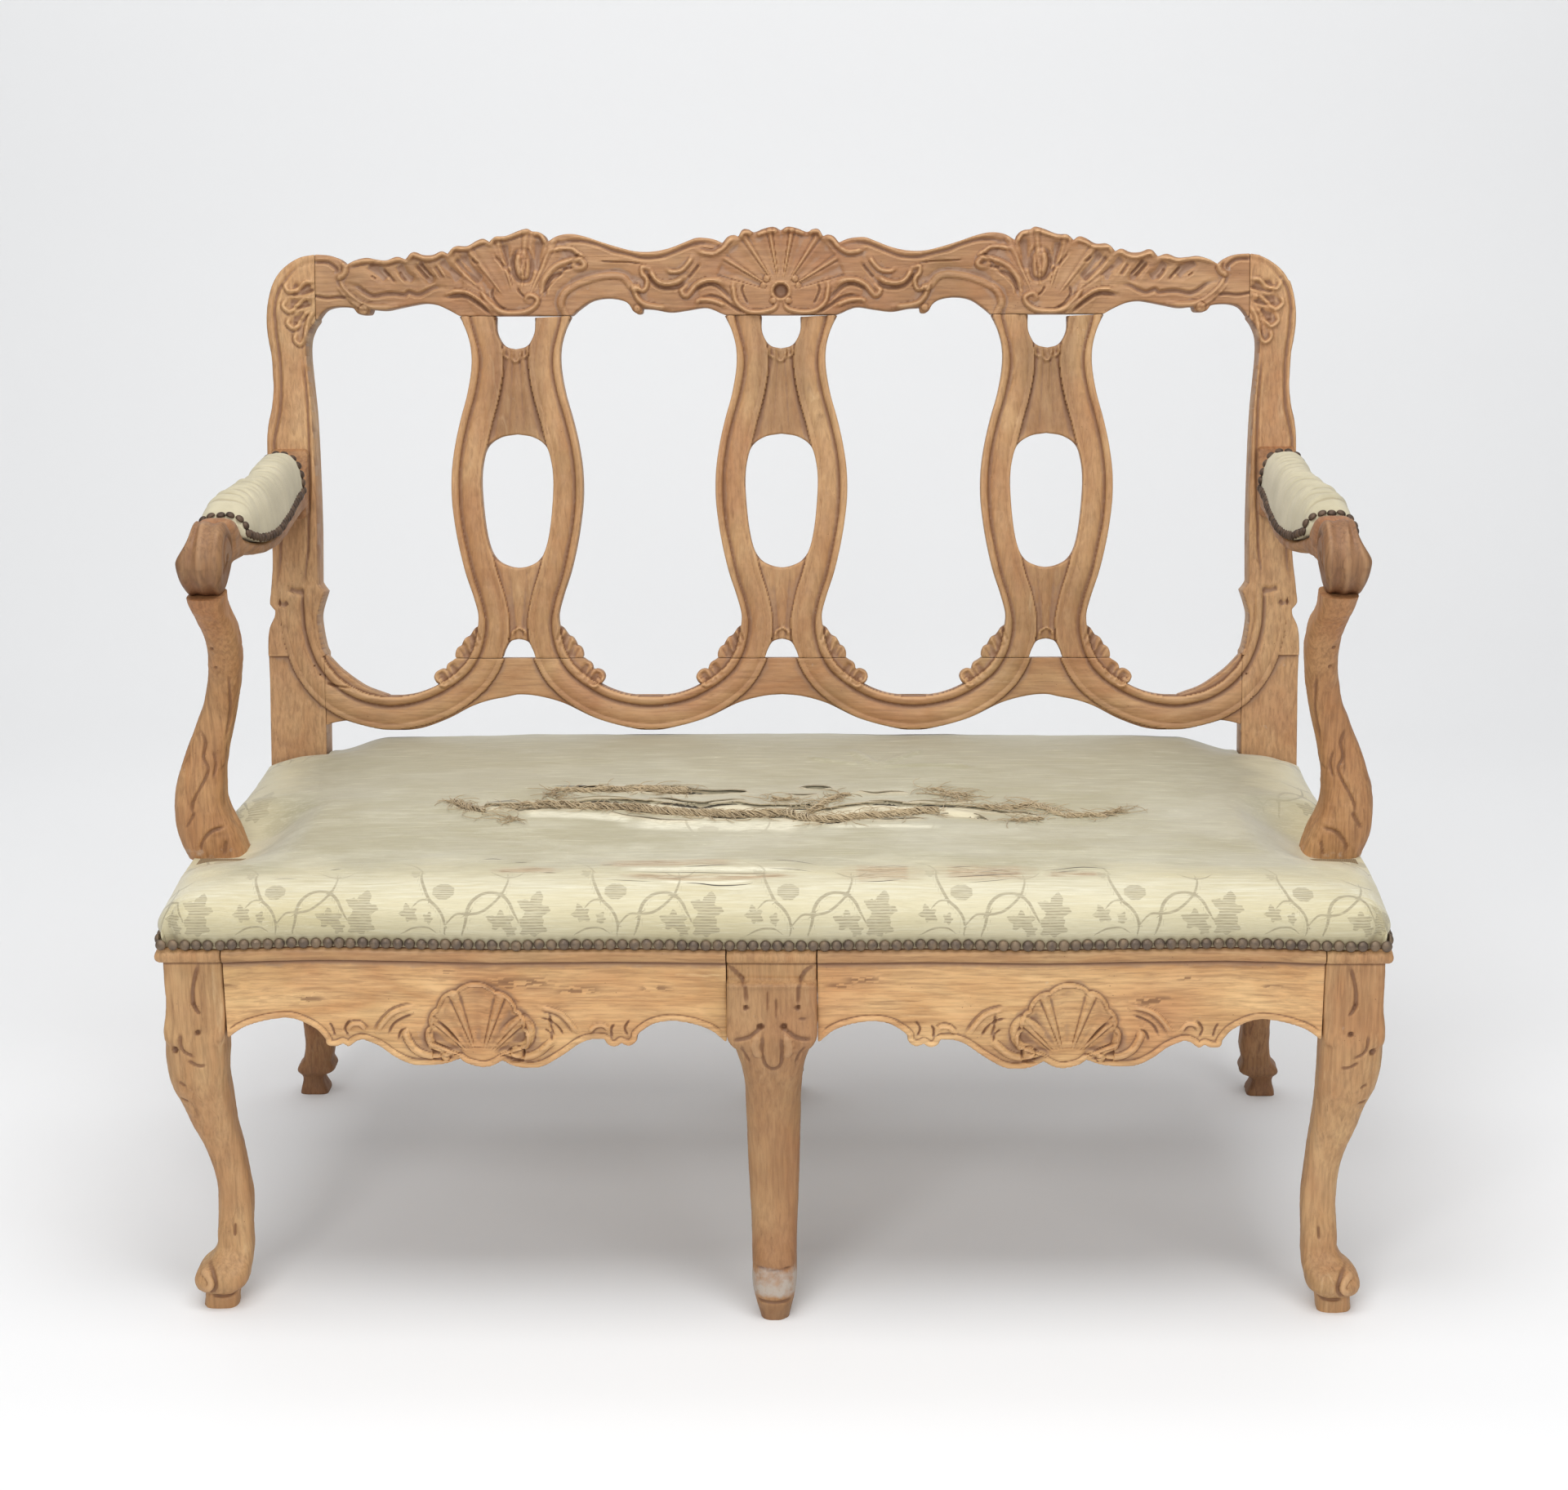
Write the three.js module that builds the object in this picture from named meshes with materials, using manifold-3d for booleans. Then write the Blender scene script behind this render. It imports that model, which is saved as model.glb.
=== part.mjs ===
// Carved cabriole settee: an open back of three splats, padded arms and an upholstered seat.
// Millimetres, +X to the right as seen from the front, +Y to the rear, +Z up.
// Left and right are as seen from the front.

import * as THREE from 'three';
import { mergeVertices } from 'three/addons/utils/BufferGeometryUtils.js';
import Module from 'manifold-3d';

const wasm = await Module();
wasm.setup();

// Facets of round pieces, and the half waves of the lower rail's edge on each side
const knuckleFacets = 20;
const screwFacets = 10;
const halfWaves = 3;
const waveSteps = 8;

// Clearances and cutting allowances
const jointGap = 0.3;
const cutOverrun = 6;
const weldDistance = 0.0005;

// Seat frame
const railTop = 434;
const railHeight = 151;
const seatHalfWidth = 617;
const cornerBlock = 61;
const centreBlockHalf = 46;
const centreBlockDepth = 60;
const centreBlockProud = 10;
const apronThickness = 30;
const apronArchHeight = 51;
const apronSweep = 8;
const sideRailThickness = 42;
const mouldingHeight = 13;
const mouldingDrop = 25;
const mouldingProud = 5;
const rearRailHeight = 84;
const rearRailThickness = 28;
const rearBlockWidth = 60;
const braceWidth = 52;
const braceHeight = 30;
const braceDrop = 34;
const braceHousing = 12;
const cornerBraceLeg = 74;
const cornerBraceHeight = 36;
const cornerBraceDrop = 40;
const screwHeadRadius = 5;
const screwShankRadius = 2.4;
const screwHeadHeight = 3;
const screwSeat = 20;
const screwBite = 16;

// Back, measured up and across the raked board that it lies in
const backRake = THREE.MathUtils.degToRad(13);
const postFront = 492;
const postInset = 27;
const postWidth = 64;
const postDepth = 46;
const boardSetBack = 2;
const boardFootRise = 16;
const postBlockHeight = 106;
const rearLegSplay = 38;
const rearCentreLegSlim = 0.86;
const lowerRailLift = 29;
const lowerRailHeight = 83;
const lowerRailDip = 43;
const lowerRailWave = 41;
const lowerRailThickness = 24;
const splatPitchShare = 0.574;
const splatHeight = 390;
const splatHalf = 75;
const splatThickness = 21;
const crestInset = 4;
const crestEndHeight = 70;
const crestHeight = 99;
const crestThickness = 29;
const crestArchRise = 20;

// Arms
const armJointHeight = 745;
const armRearHeight = 721;
const armBlockHeight = 72;
const armBlockWidth = 43;
const armBlockDepth = 26;
const armInset = 77;
const armWidth = 60;
const knuckleSetBack = 148;
const knuckleRadius = 39;
const knuckleWidth = 57;
const knuckleSeatFront = 113;
const knuckleSeatDepth = 52;
const knuckleSeatWidth = 45;
const armPadOverhang = 1.5;
const supportSetBack = 186;
const supportDepth = 60;
const supportInset = 65;
const supportWidth = 69;

// Upholstery
const webWidth = 50;
const webThickness = 1.5;
const hessianThickness = 1;
const coverThickness = 2;
const webHold = 20;
const seatRollHeight = 60;
const seatRollOut = 6;
const seatCrown = 6;
const sweepFade = 70;
const coverRise = 1.2;
const hessianInset = 5;
const notchEase = 3;
const sideClearance = 1;
const nailStripWidth = 9.5;
const nailStripRise = 3.5;

// Tenons
const tenonThickness = 9;
const tenonDepth = 26;
const slimTenonThickness = 8;
const slimTenonDepth = 14;
const slimTenonWidth = 22;
const tenonMargin = 8;
const tenonRoot = 10;
const railTenonHeight = 84;

// Levels and places that follow from the sizes above
const railLow = railTop - railHeight;
const seatInner = seatHalfWidth - cornerBlock;
const postOuter = seatHalfWidth - postInset;
const postInner = postOuter - postWidth;
const splatPitch = postInner * splatPitchShare;
const armInner = seatHalfWidth - armInset;
const supportInner = seatHalfWidth - supportInset;
const postBack = postFront + postDepth;
const seatBack = postBack - boardSetBack;
const rearRailFront = seatBack - rearRailThickness;
const lowerRailJoint = lowerRailLift + lowerRailHeight;
const crestJoint = lowerRailJoint + splatHeight;
const postTop = crestJoint + crestEndHeight;
const crestHalf = postInner + crestInset;
const mouldingTop = railTop - mouldingDrop;
const mouldingLow = mouldingTop - mouldingHeight;
const coverLow = mouldingTop + coverRise;
const coverStand = coverThickness + jointGap;
const longWebLow = railTop + jointGap;
const crossWebLow = longWebLow + webThickness + jointGap;
const hessianLow = crossWebLow + webThickness + jointGap;
const stuffingLow = hessianLow + hessianThickness + jointGap;
const knuckleCentre = supportInner + knuckleSeatWidth / 2;
const armRearEnd = postFront + (armRearHeight + armBlockHeight - railTop) * Math.tan(backRake);

const boardPlace = new THREE.Matrix4()
  .makeRotationX(Math.PI / 2 - backRake)
  .setPosition(0, postFront + boardSetBack, railTop + boardFootRise);

// Outlines, as shares of the sizes that they follow.
// A row is a place along and a height, and a run is one smooth stretch between two corners.
const crestTopRunShares = [
  [[0, 0.99], [0.036, 0.98], [0.081, 0.95]],
  [[0.081, 0.95], [0.1, 0.89], [0.125, 0.82]],
  [[0.125, 0.82], [0.16, 0.88], [0.2, 0.84], [0.272, 0.73]],
  [[0.272, 0.73], [0.31, 0.73], [0.38, 0.83], [0.45, 0.93], [0.5, 0.84]],
  [[0.5, 0.84], [0.53, 0.95], [0.58, 0.92], [0.64, 0.87]],
  [[0.64, 0.87], [0.68, 0.79], [0.715, 0.71], [0.76, 0.71], [0.804, 0.64]],
  [[0.804, 0.64], [0.86, 0.645], [0.9, 0.65], [0.932, 0.59]],
];
const crestEndRunShares = [[0.932, 0.59], [0.962, 0.68]];
const crestArchRunShares = [
  [[0, 0], [0.08, 0.35], [0.26, 0.5], [0.4, 0.4], [0.56, 0.4]],
  [[0.56, 0.4], [0.61, 0.1], [0.67, 0.55]],
  [[0.67, 0.55], [0.8, 0.9], [0.94, 0.45], [1, 0]],
];
const splatSideRunShares = [
  [
    [0.853, 1], [0.747, 0.956], [0.68, 0.905], [0.68, 0.846], [0.747, 0.772], [0.853, 0.697],
    [0.993, 0.549], [1, 0.474], [0.96, 0.4], [0.8, 0.251], [0.613, 0.131], [0.62, 0.095],
  ],
  [[0.62, 0.095], [0.733, 0.068], [0.88, 0.04], [0.973, 0.015], [0.98, 0]],
];
const splatTopNotchShares = [[0.307, 1], [0.293, 0.956], [0.227, 0.926], [0.14, 0.91], [0, 0.903]];
const splatFootNotchShares = [[0.26, 0], [0.213, 0.026], [0.133, 0.049], [0, 0.056]];
const splatOvalShares = [
  [0, 0.656], [0.253, 0.647], [0.447, 0.62], [0.527, 0.574], [0.553, 0.518], [0.533, 0.444],
  [0.487, 0.369], [0.413, 0.315], [0.3, 0.285], [0.14, 0.269], [0, 0.264],
];
const splatTopShare = 0.853;
const splatFootShare = 0.98;
const splatStrandTopShare = 0.58;
const splatStrandFootShare = 0.62;
const railEarRunShares = [
  [[0, 1], [0.065, 0.84], [0.077, 0.65], [0.142, 0.6]],
  [[0.142, 0.6], [0.13, 0.3], [0.165, 0.21], [0.3, 0.05], [0.5, 0]],
];
const railPostRunShares = [[0.5, 0], [0.58, 0.07], [0.7, 0.26], [0.86, 0.65], [0.96, 1.02], [1, 1.14]];
const railEndWaveShares = [[0, 0], [0.35, 0.1], [0.7, 0.27], [1, 0.15]];
const postOuterShares = [
  [1, 0.215], [0.984, 0.255], [0.875, 0.292], [0.97, 0.309], [0.92, 0.341], [0.875, 0.404],
  [0.84, 0.62], [0.81, 0.7], [0.797, 0.76], [0.81, 0.797], [0.89, 0.848], [0.92, 0.9],
  [0.83, 0.94], [0.6, 0.977], [0.33, 0.995],
];
const postInnerShares = [
  [0.11, 0.855], [0.14, 0.84], [0.11, 0.797], [0.05, 0.7], [0.016, 0.594], [0, 0.463],
  [0.06, 0.346], [-0.03, 0.329], [0.06, 0.278], [-0.06, 0.222], [0, 0.21],
];

// Seat rails: a place along the rail, and the height of the lower edge in the arch
const mouldingEaseShare = 0.2;
const cornerEdgeShare = 0.63;
const centreEdgeShare = 0.57;
const apronEdgeShares = [
  [0, centreEdgeShare], [0.031, 0.8], [0.067, 0.94], [0.108, 1], [0.143, 0.94], [0.176, 0.71], [0.184, 0.55],
  [0.216, 0.49], [0.245, 0.61], [0.27, 0.59], [0.296, 0.49], [0.331, 0.24], [0.375, 0],
  [0.418, 0], [0.451, 0.157], [0.475, 0.02], [0.504, 0], [0.541, 0.157], [0.59, 0.02],
  [0.631, 0.02], [0.667, 0.176], [0.698, 0.41], [0.733, 0.55], [0.759, 0.39], [0.784, 0.39],
  [0.806, 0.55], [0.825, 0.78], [0.867, 1], [0.91, 1], [0.963, 0.86], [1, cornerEdgeShare],
];
// Set back of the apron's face: every place here is also a place in the table above
const apronSweepShares = [
  [0, 0], [0.108, 0.2], [0.216, 0.42], [0.331, 0.25], [0.451, 0], [0.631, 0.6], [0.806, 1],
  [0.91, 0.6], [1, 0],
];
// Side rails: a place from the front, how far out the face stands, and the lower edge's height
const sideRailShares = [
  [0, 1, 0.63], [0.12, 1.02, 0.63], [0.17, 1.03, 0.92], [0.25, 1.035, 1], [0.33, 1, 0.75],
  [0.42, 0.88, 0.38], [0.5, 0.68, 0.2], [0.58, 0.46, 0.16], [0.66, 0.27, 0.24], [0.74, 0.12, 0.55],
  [0.83, 0.02, 0.9], [0.91, -0.03, 1], [1, -0.05, 0.7],
];

// Legs: a height, then the two edges across, then the two edges in depth
const cornerLegShares = [
  [0, 0.672, 0.098], [0.028, 0.656, 0.066], [0.041, 0.672, 0.049], [0.06, 0.77, -0.08],
  [0.09, 0.8, -0.14], [0.118, 0.72, -0.17], [0.134, 0.54, -0.18], [0.187, 0.426, -0.21],
  [0.26, 0.344, -0.238], [0.332, 0.36, -0.21], [0.396, 0.459, -0.17], [0.465, 0.639, -0.1],
  [0.535, 0.8, -0.04], [0.571, 0.93, -0.02], [0.622, 1.016, 0.004], [0.69, 1.066, 0.02],
  [0.753, 1.05, 0.03], [0.857, 0.98, 0.06],
];
const cornerLegDepthShare = 0.9;
const frontLegCornerShare = 0.27;
const rearLegCornerShare = 0.2;
const centreLegShares = [
  [0, 0.304, 0.07, 0.6], [0.025, 0.36, 0.05, 0.63], [0.058, 0.434, 0, 0.72],
  [0.127, 0.456, 0.06, 0.8], [0.21, 0.46, 0.2, 0.88], [0.313, 0.49, 0.28, 0.9],
  [0.415, 0.52, 0.28, 0.92], [0.509, 0.532, 0.2, 0.92], [0.583, 0.55, 0.1, 0.95],
  [0.65, 0.63, -0.03, 0.97], [0.698, 0.8, -0.1, 0.97], [0.733, 0.96, -0.12, 0.97],
  [0.857, 0.96, 0.03, 0.97],
];
const rearLegShares = [
  [0, 0.375, 0.92, 1.34, 0.76], [0.058, 0.375, 0.89, 1.34, 0.74], [0.067, 0.27, 0.94, 1.24, 0.84],
  [0.1, 0.27, 0.83, 1.26, 0.74], [0.14, 0.22, 0.77, 1.2, 0.7], [0.2, 0.23, 0.75, 1.05, 0.72],
  [0.3, 0.25, 0.77, 0.79, 0.78], [0.44, 0.23, 0.8, 0.45, 0.86], [0.576, 0.16, 0.86, 0.21, 0.95],
  [0.69, 0.06, 0.94, 0.08, 0.98], [0.79, 0.02, 0.98, 0.02, 0.98],
];

// Arms: a place from the knuckle to the rear end, the two edges across, then the two edges in height,
// above the straight line from the joint with the support to the foot of the rear block
const armRailShares = [
  [0, 0.17, 1.03, 0.1, 1.02], [0.11, 0.2, 1, 0.19, 1.02], [0.157, 0.22, 1, 0.12, 0.87],
  [0.187, 0.2, 1.02, 0.08, 0.56], [0.215, 0.18, 1.03, 0.07, 0.5], [0.31, 0.08, 1.03, -0.04, 0.31],
  [0.426, -0.03, 0.93, -0.09, 0.24], [0.59, -0.05, 0.8, -0.08, 0.265], [0.777, 0, 0.8, -0.02, 0.355],
  [0.96, 0.03, 0.75, 0.04, 0.445],
];
const armCornerShare = 0.22;
const armTenonShare = 0.55;
const armPadStartShare = 0.2;
const armPadEndShare = 0.9;
const armPadTopShares = [
  [0, 0.755], [0.02, 0.89], [0.06, 0.99], [0.15, 1.08], [0.33, 1.12], [0.55, 1.1], [0.82, 1.065],
  [0.96, 1.035], [0.99, 0.985], [1, 0.865],
];
const armPadFullness = 0.75;
const armPadSteps = 8;
const nailEndShare = 0.01;
const nailFlankShare = 0.3;

// Arm supports: a height, the two edges across, then the two edges in depth
const supportShares = [
  [0, 0, 0.9, 0, 1], [0.087, 0.04, 1, -0.03, 0.97], [0.167, 0.145, 1.04, 0, 0.9],
  [0.267, 0.217, 1, 0.07, 0.87], [0.367, 0.217, 0.87, 0.13, 0.83], [0.467, 0.13, 0.68, 0.15, 0.8],
  [0.566, 0.058, 0.55, 0.1, 0.73], [0.682, -0.03, 0.464, -0.07, 0.55], [0.76, -0.058, 0.435, -0.27, 0.37],
  [0.855, -0.03, 0.507, -0.63, 0.07], [0.949, 0.03, 0.64, -1.07, -0.27], [1, 0, 0.652, -1.217, -0.35],
];
const supportCornerShare = 0.2;

// Upholstery: how far out and how high the cover stands, ring by ring
const seatRollShares = [
  [0.383, 0], [0.383, 0.18], [0.92, 0.3], [1.08, 0.45], [0.67, 0.62], [-1, 0.77], [-3.3, 0.87],
  [-7, 0.94],
];
const seatCrownShares = [[0.3, 0.1], [0.52, 0.6], [0.8, 1]];
const sideNailStartShare = 0.012;
const rearPlanShares = [1, 0.6, 0.2, -0.2, -0.6, -1];
const longWebShares = [0.22, 0.7];
const crossWebShares = [0.2, 0.5, 0.8];

// Mesh helpers
function closedMesh(points, faces) {
  const geometry = new THREE.BufferGeometry();
  const places = points.flatMap((p) => [p.x, p.y, p.z]);
  geometry.setAttribute('position', new THREE.Float32BufferAttribute(places, 3));
  geometry.setIndex(faces.flat());
  return turnedOut(geometry);
}

function turnedOut(geometry) {
  const place = geometry.attributes.position;
  const index = geometry.index.array;
  const [a, b, c] = [new THREE.Vector3(), new THREE.Vector3(), new THREE.Vector3()];
  let volume = 0;
  for (let i = 0; i < index.length; i += 3) {
    a.fromBufferAttribute(place, index[i]);
    b.fromBufferAttribute(place, index[i + 1]);
    c.fromBufferAttribute(place, index[i + 2]);
    volume += a.dot(b.cross(c));
  }
  if (volume < 0) {
    for (let i = 0; i < index.length; i += 3) {
      [index[i + 1], index[i + 2]] = [index[i + 2], index[i + 1]];
    }
  }
  return geometry;
}

function capFaces(ring, first) {
  const normal = new THREE.Vector3();
  ring.forEach((p, i) => {
    const q = ring[(i + 1) % ring.length];
    normal.x += (p.y - q.y) * (p.z + q.z);
    normal.y += (p.z - q.z) * (p.x + q.x);
    normal.z += (p.x - q.x) * (p.y + q.y);
  });
  const [ax, ay, az] = [Math.abs(normal.x), Math.abs(normal.y), Math.abs(normal.z)];
  let flat = (p) => new THREE.Vector2(p.x, p.y);
  let sign = normal.z;
  if (ax >= ay && ax >= az) {
    flat = (p) => new THREE.Vector2(p.y, p.z);
    sign = normal.x;
  } else if (ay >= az) {
    flat = (p) => new THREE.Vector2(p.z, p.x);
    sign = normal.y;
  }
  const outline = ring.map(flat);
  const order = outline.map((_, i) => i);
  if (sign < 0) {
    outline.reverse();
    order.reverse();
  }
  const faces = THREE.ShapeUtils.triangulateShape(outline, []);
  return faces.map((face) => {
    const turned = face.map((i) => order[i] + first);
    return sign < 0 ? turned.reverse() : turned;
  });
}

function loft(rings) {
  const count = rings[0].length;
  const faces = [];
  for (let r = 0; r + 1 < rings.length; r++) {
    for (let i = 0; i < count; i++) {
      const a = r * count + i;
      const b = r * count + (i + 1) % count;
      faces.push([a, b, b + count], [a, b + count, a + count]);
    }
  }
  const last = (rings.length - 1) * count;
  faces.push(...capFaces(rings[0], 0).map(([a, b, c]) => [a, c, b]));
  faces.push(...capFaces(rings[rings.length - 1], last));
  return closedMesh(rings.flat(), faces);
}

function box(low, high) {
  const size = new THREE.Vector3().subVectors(high, low);
  const centre = new THREE.Vector3().addVectors(low, high).multiplyScalar(0.5);
  return new THREE.BoxGeometry(size.x, size.y, size.z).translate(centre.x, centre.y, centre.z);
}

function slab(outline, holes, thickness) {
  const shape = new THREE.Shape(outline);
  shape.holes = holes.map((hole) => new THREE.Path(hole));
  const flat = new THREE.ExtrudeGeometry(shape, { depth: thickness, bevelEnabled: false, steps: 1 });
  return flat.translate(0, 0, -thickness);
}

function mirrored(geometry) {
  const turned = mergeVertices(bare(geometry), weldDistance);
  turned.applyMatrix4(new THREE.Matrix4().makeScale(-1, 1, 1));
  return turnedOut(turned);
}

function bare(geometry) {
  const copy = geometry.clone();
  copy.deleteAttribute('normal');
  copy.deleteAttribute('uv');
  return copy;
}

function toSolid(geometry) {
  const merged = mergeVertices(bare(geometry), weldDistance);
  return new wasm.Manifold(new wasm.Mesh({
    numProp: 3,
    vertProperties: new Float32Array(merged.attributes.position.array),
    triVerts: new Uint32Array(merged.index.array),
  }));
}

function toGeometry(solid) {
  const mesh = solid.getMesh();
  const geometry = new THREE.BufferGeometry();
  geometry.setAttribute('position', new THREE.BufferAttribute(new Float32Array(mesh.vertProperties), 3));
  geometry.setIndex(new THREE.BufferAttribute(new Uint32Array(mesh.triVerts), 1));
  geometry.computeVertexNormals();
  return geometry;
}

// Outline helpers
const lerp = THREE.MathUtils.lerp;

function smoothRun(points, steps) {
  if (points.length === 2) return points;
  return new THREE.SplineCurve(points).getPoints(steps * (points.length - 1));
}

function joinRuns(runs) {
  return runs.flatMap((run, i) => (i === 0 ? run : run.slice(1)));
}

function placed(shares, across, up) {
  return shares.map(([s, t]) => new THREE.Vector2(across(s), up(t)));
}

function flippedAcross(points) {
  return points.map((p) => new THREE.Vector2(-p.x, p.y)).reverse();
}

// The row of a table at a place along it, straight between its rows
function rowAt(rows, t) {
  const found = rows.findIndex(([place]) => place >= t);
  const k = found < 0 ? rows.length - 1 : Math.max(1, found);
  const [low, high] = [rows[k - 1], rows[k]];
  const s = THREE.MathUtils.clamp((t - low[0]) / (high[0] - low[0]), 0, 1);
  return low.map((value, i) => lerp(value, high[i], s));
}

function roundedRing(x0, x1, y0, y1, cornerShare, place) {
  const cutX = (x1 - x0) * cornerShare;
  const cutY = (y1 - y0) * cornerShare;
  return [
    [x0 + cutX, y0], [x1 - cutX, y0], [x1, y0 + cutY], [x1, y1 - cutY],
    [x1 - cutX, y1], [x0 + cutX, y1], [x0, y1 - cutY], [x0, y0 + cutY],
  ].map(([x, y]) => place(x, y));
}

// The pieces, each kept as a solid until its joints are cut
const pieces = new Map();

function piece(name, group, material, geometry) {
  pieces.set(name, { group, material, solid: toSolid(geometry) });
}

function grown(geometry, cut) {
  geometry.computeBoundingBox();
  const { min, max } = geometry.boundingBox;
  return box(min.clone().addScalar(-cut), max.clone().addScalar(cut));
}

function joinByTongue(owner, socketed, tongue, place = new THREE.Matrix4()) {
  const socket = grown(tongue, jointGap).applyMatrix4(place);
  pieces.get(owner).solid = pieces.get(owner).solid.add(toSolid(tongue.clone().applyMatrix4(place)));
  pieces.get(socketed).solid = pieces.get(socketed).solid.subtract(toSolid(socket));
}

function cutFrom(name, geometry) {
  pieces.get(name).solid = pieces.get(name).solid.subtract(toSolid(geometry));
}

// A tongue that lies in the raked board, in the middle of a board of that thickness
function boardTongue(across, width, [low, high], thickness) {
  const middle = -thickness / 2;
  const half = slimTenonThickness / 2;
  return box(
    new THREE.Vector3(across - width / 2, low, middle - half),
    new THREE.Vector3(across + width / 2, high, middle + half),
  );
}

// Pieces are drawn on the right, for a side of +1, and mirrored for the left, at -1
function onSide(geometry, side) {
  return side < 0 ? mirrored(geometry) : geometry;
}

function sideBox(side, low, high) {
  return onSide(box(low, high), side);
}

const wood = { color: 0xb98b5b, roughness: 0.72, metalness: 0 };
const bareWood = { color: 0xa88e6c, roughness: 0.85, metalness: 0 };
const silk = { color: 0xcbc3a2, roughness: 0.6, metalness: 0 };
const cream = { color: 0xd0c8a6, roughness: 0.85, metalness: 0 };
const hair = { color: 0x6f5a43, roughness: 1, metalness: 0 };
const jute = { color: 0x9c8760, roughness: 1, metalness: 0 };
const bronze = { color: 0x4d3a28, roughness: 0.45, metalness: 0.9 };
const steel = { color: 0x77716a, roughness: 0.5, metalness: 0.9 };

const sides = [['left', -1], ['right', 1]];

// Plan of the seat: the front faces of the aprons and the outer faces of the side rails
function apronFront(x) {
  const reach = Math.abs(x);
  if (reach <= centreBlockHalf) return -centreBlockProud;
  const t = (reach - centreBlockHalf) / (seatInner - centreBlockHalf);
  return apronSweep * rowAt(apronSweepShares, t)[1];
}

function sideFace(y) {
  return postOuter + (seatHalfWidth - postOuter) * rowAt(sideRailShares, y / postFront)[1];
}

// The front of the plan: the aprons' sweep, stepping forward round the centre leg
const blockStep = centreBlockHalf + centreBlockProud + notchEase;
const blockCorner = centreBlockHalf + notchEase / 2;
const halfFrontPlan = [
  [blockCorner, -centreBlockProud], [blockStep, 0],
  ...apronSweepShares.map(([t]) => {
    const x = lerp(centreBlockHalf, seatInner, t);
    return [x, apronFront(x)];
  }).filter(([x]) => x > blockStep),
  [seatHalfWidth, 0],
];
const seatFrontPlan = [...halfFrontPlan.map(([x, y]) => [-x, y]).reverse(), ...halfFrontPlan];
const sideSteps = sideRailShares.slice(1).map(([t]) => t * postFront / seatBack);
const sideNailEnd = (postFront - notchEase) / seatBack;

// The inner face of a side rail is straight
function sideInner(y) {
  const t = (y - cornerBlock) / (postFront - cornerBlock);
  return lerp(sideFace(cornerBlock), sideFace(postFront), t) - sideRailThickness;
}

// Front legs
function cornerLeg() {
  const rings = cornerLegShares.map(([up, outer, inner]) => {
    const x0 = seatInner + cornerBlock * inner;
    const x1 = seatInner + cornerBlock * outer;
    const y0 = cornerBlock * (1 - outer) * cornerLegDepthShare;
    const y1 = cornerBlock * (1 - inner) * cornerLegDepthShare;
    return roundedRing(x0, x1, y0, y1, frontLegCornerShare, (x, y) => new THREE.Vector3(x, y, up * railTop));
  });
  const block = box(
    new THREE.Vector3(seatInner, 0, railLow + apronArchHeight * cornerEdgeShare),
    new THREE.Vector3(seatHalfWidth, cornerBlock, railTop),
  );
  const band = box(
    new THREE.Vector3(seatInner, -mouldingProud, mouldingLow),
    new THREE.Vector3(seatHalfWidth + mouldingProud, cornerBlock, mouldingTop),
  );
  return toGeometry(toSolid(loft(rings)).add(toSolid(block)).add(toSolid(band)));
}

function centreLeg() {
  const front = -centreBlockProud;
  const rings = centreLegShares.map(([up, half, near, far]) => roundedRing(
    -centreBlockHalf * half, centreBlockHalf * half,
    front + centreBlockDepth * near, front + centreBlockDepth * far,
    frontLegCornerShare, (x, y) => new THREE.Vector3(x, y, up * railTop),
  ));
  const block = box(
    new THREE.Vector3(-centreBlockHalf, front, railLow + apronArchHeight * centreEdgeShare),
    new THREE.Vector3(centreBlockHalf, front + centreBlockDepth, railTop),
  );
  const band = box(
    new THREE.Vector3(-centreBlockHalf, front - mouldingProud, mouldingLow),
    new THREE.Vector3(centreBlockHalf, front + centreBlockDepth, mouldingTop),
  );
  return toGeometry(toSolid(loft(rings)).add(toSolid(block)).add(toSolid(band)));
}

// Seat rails, as a profile carried along the rail
function railRing(lowEdge, thickness, place) {
  return [
    [0, lowEdge], [0, mouldingLow], [-mouldingProud, mouldingLow + mouldingHeight * mouldingEaseShare],
    [-mouldingProud, mouldingTop - mouldingHeight * mouldingEaseShare], [0, mouldingTop], [0, railTop],
    [thickness, railTop], [thickness, lowEdge],
  ].map(([depth, z]) => place(depth, z));
}

function frontRail() {
  const start = centreBlockHalf + jointGap;
  const end = seatInner - jointGap;
  return loft(apronEdgeShares.map(([t, rise]) => {
    const x = lerp(start, end, t);
    const lowEdge = railLow + apronArchHeight * rise;
    const face = apronFront(x);
    return railRing(lowEdge, apronThickness, (depth, z) => new THREE.Vector3(
      x, depth > 0 ? depth : face + depth, z,
    ));
  }));
}

function sideRail() {
  const start = cornerBlock + jointGap;
  const end = postFront - jointGap;
  const places = sideRailShares.map(([t]) => t * postFront).filter((y) => y > start && y < end);
  return loft([start, ...places, end].map((y) => {
    const lowEdge = railLow + apronArchHeight * rowAt(sideRailShares, y / postFront)[2];
    const face = sideFace(y);
    return railRing(lowEdge, sideRailThickness, (depth, z) => new THREE.Vector3(
      depth > 0 ? sideInner(y) : face - depth, y, z,
    ));
  }));
}

// Rear legs: a post that runs from the floor to the crest
function rearLegRings(across, slim) {
  return rearLegShares.map(([up, x0, x1, splay, depth]) => {
    const near = postFront + rearLegSplay * splay;
    const [left, right] = across(x0, x1);
    return roundedRing(left, right, near, near + postDepth * depth * slim, rearLegCornerShare,
      (x, y) => new THREE.Vector3(x, y, up * railTop));
  });
}

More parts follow.
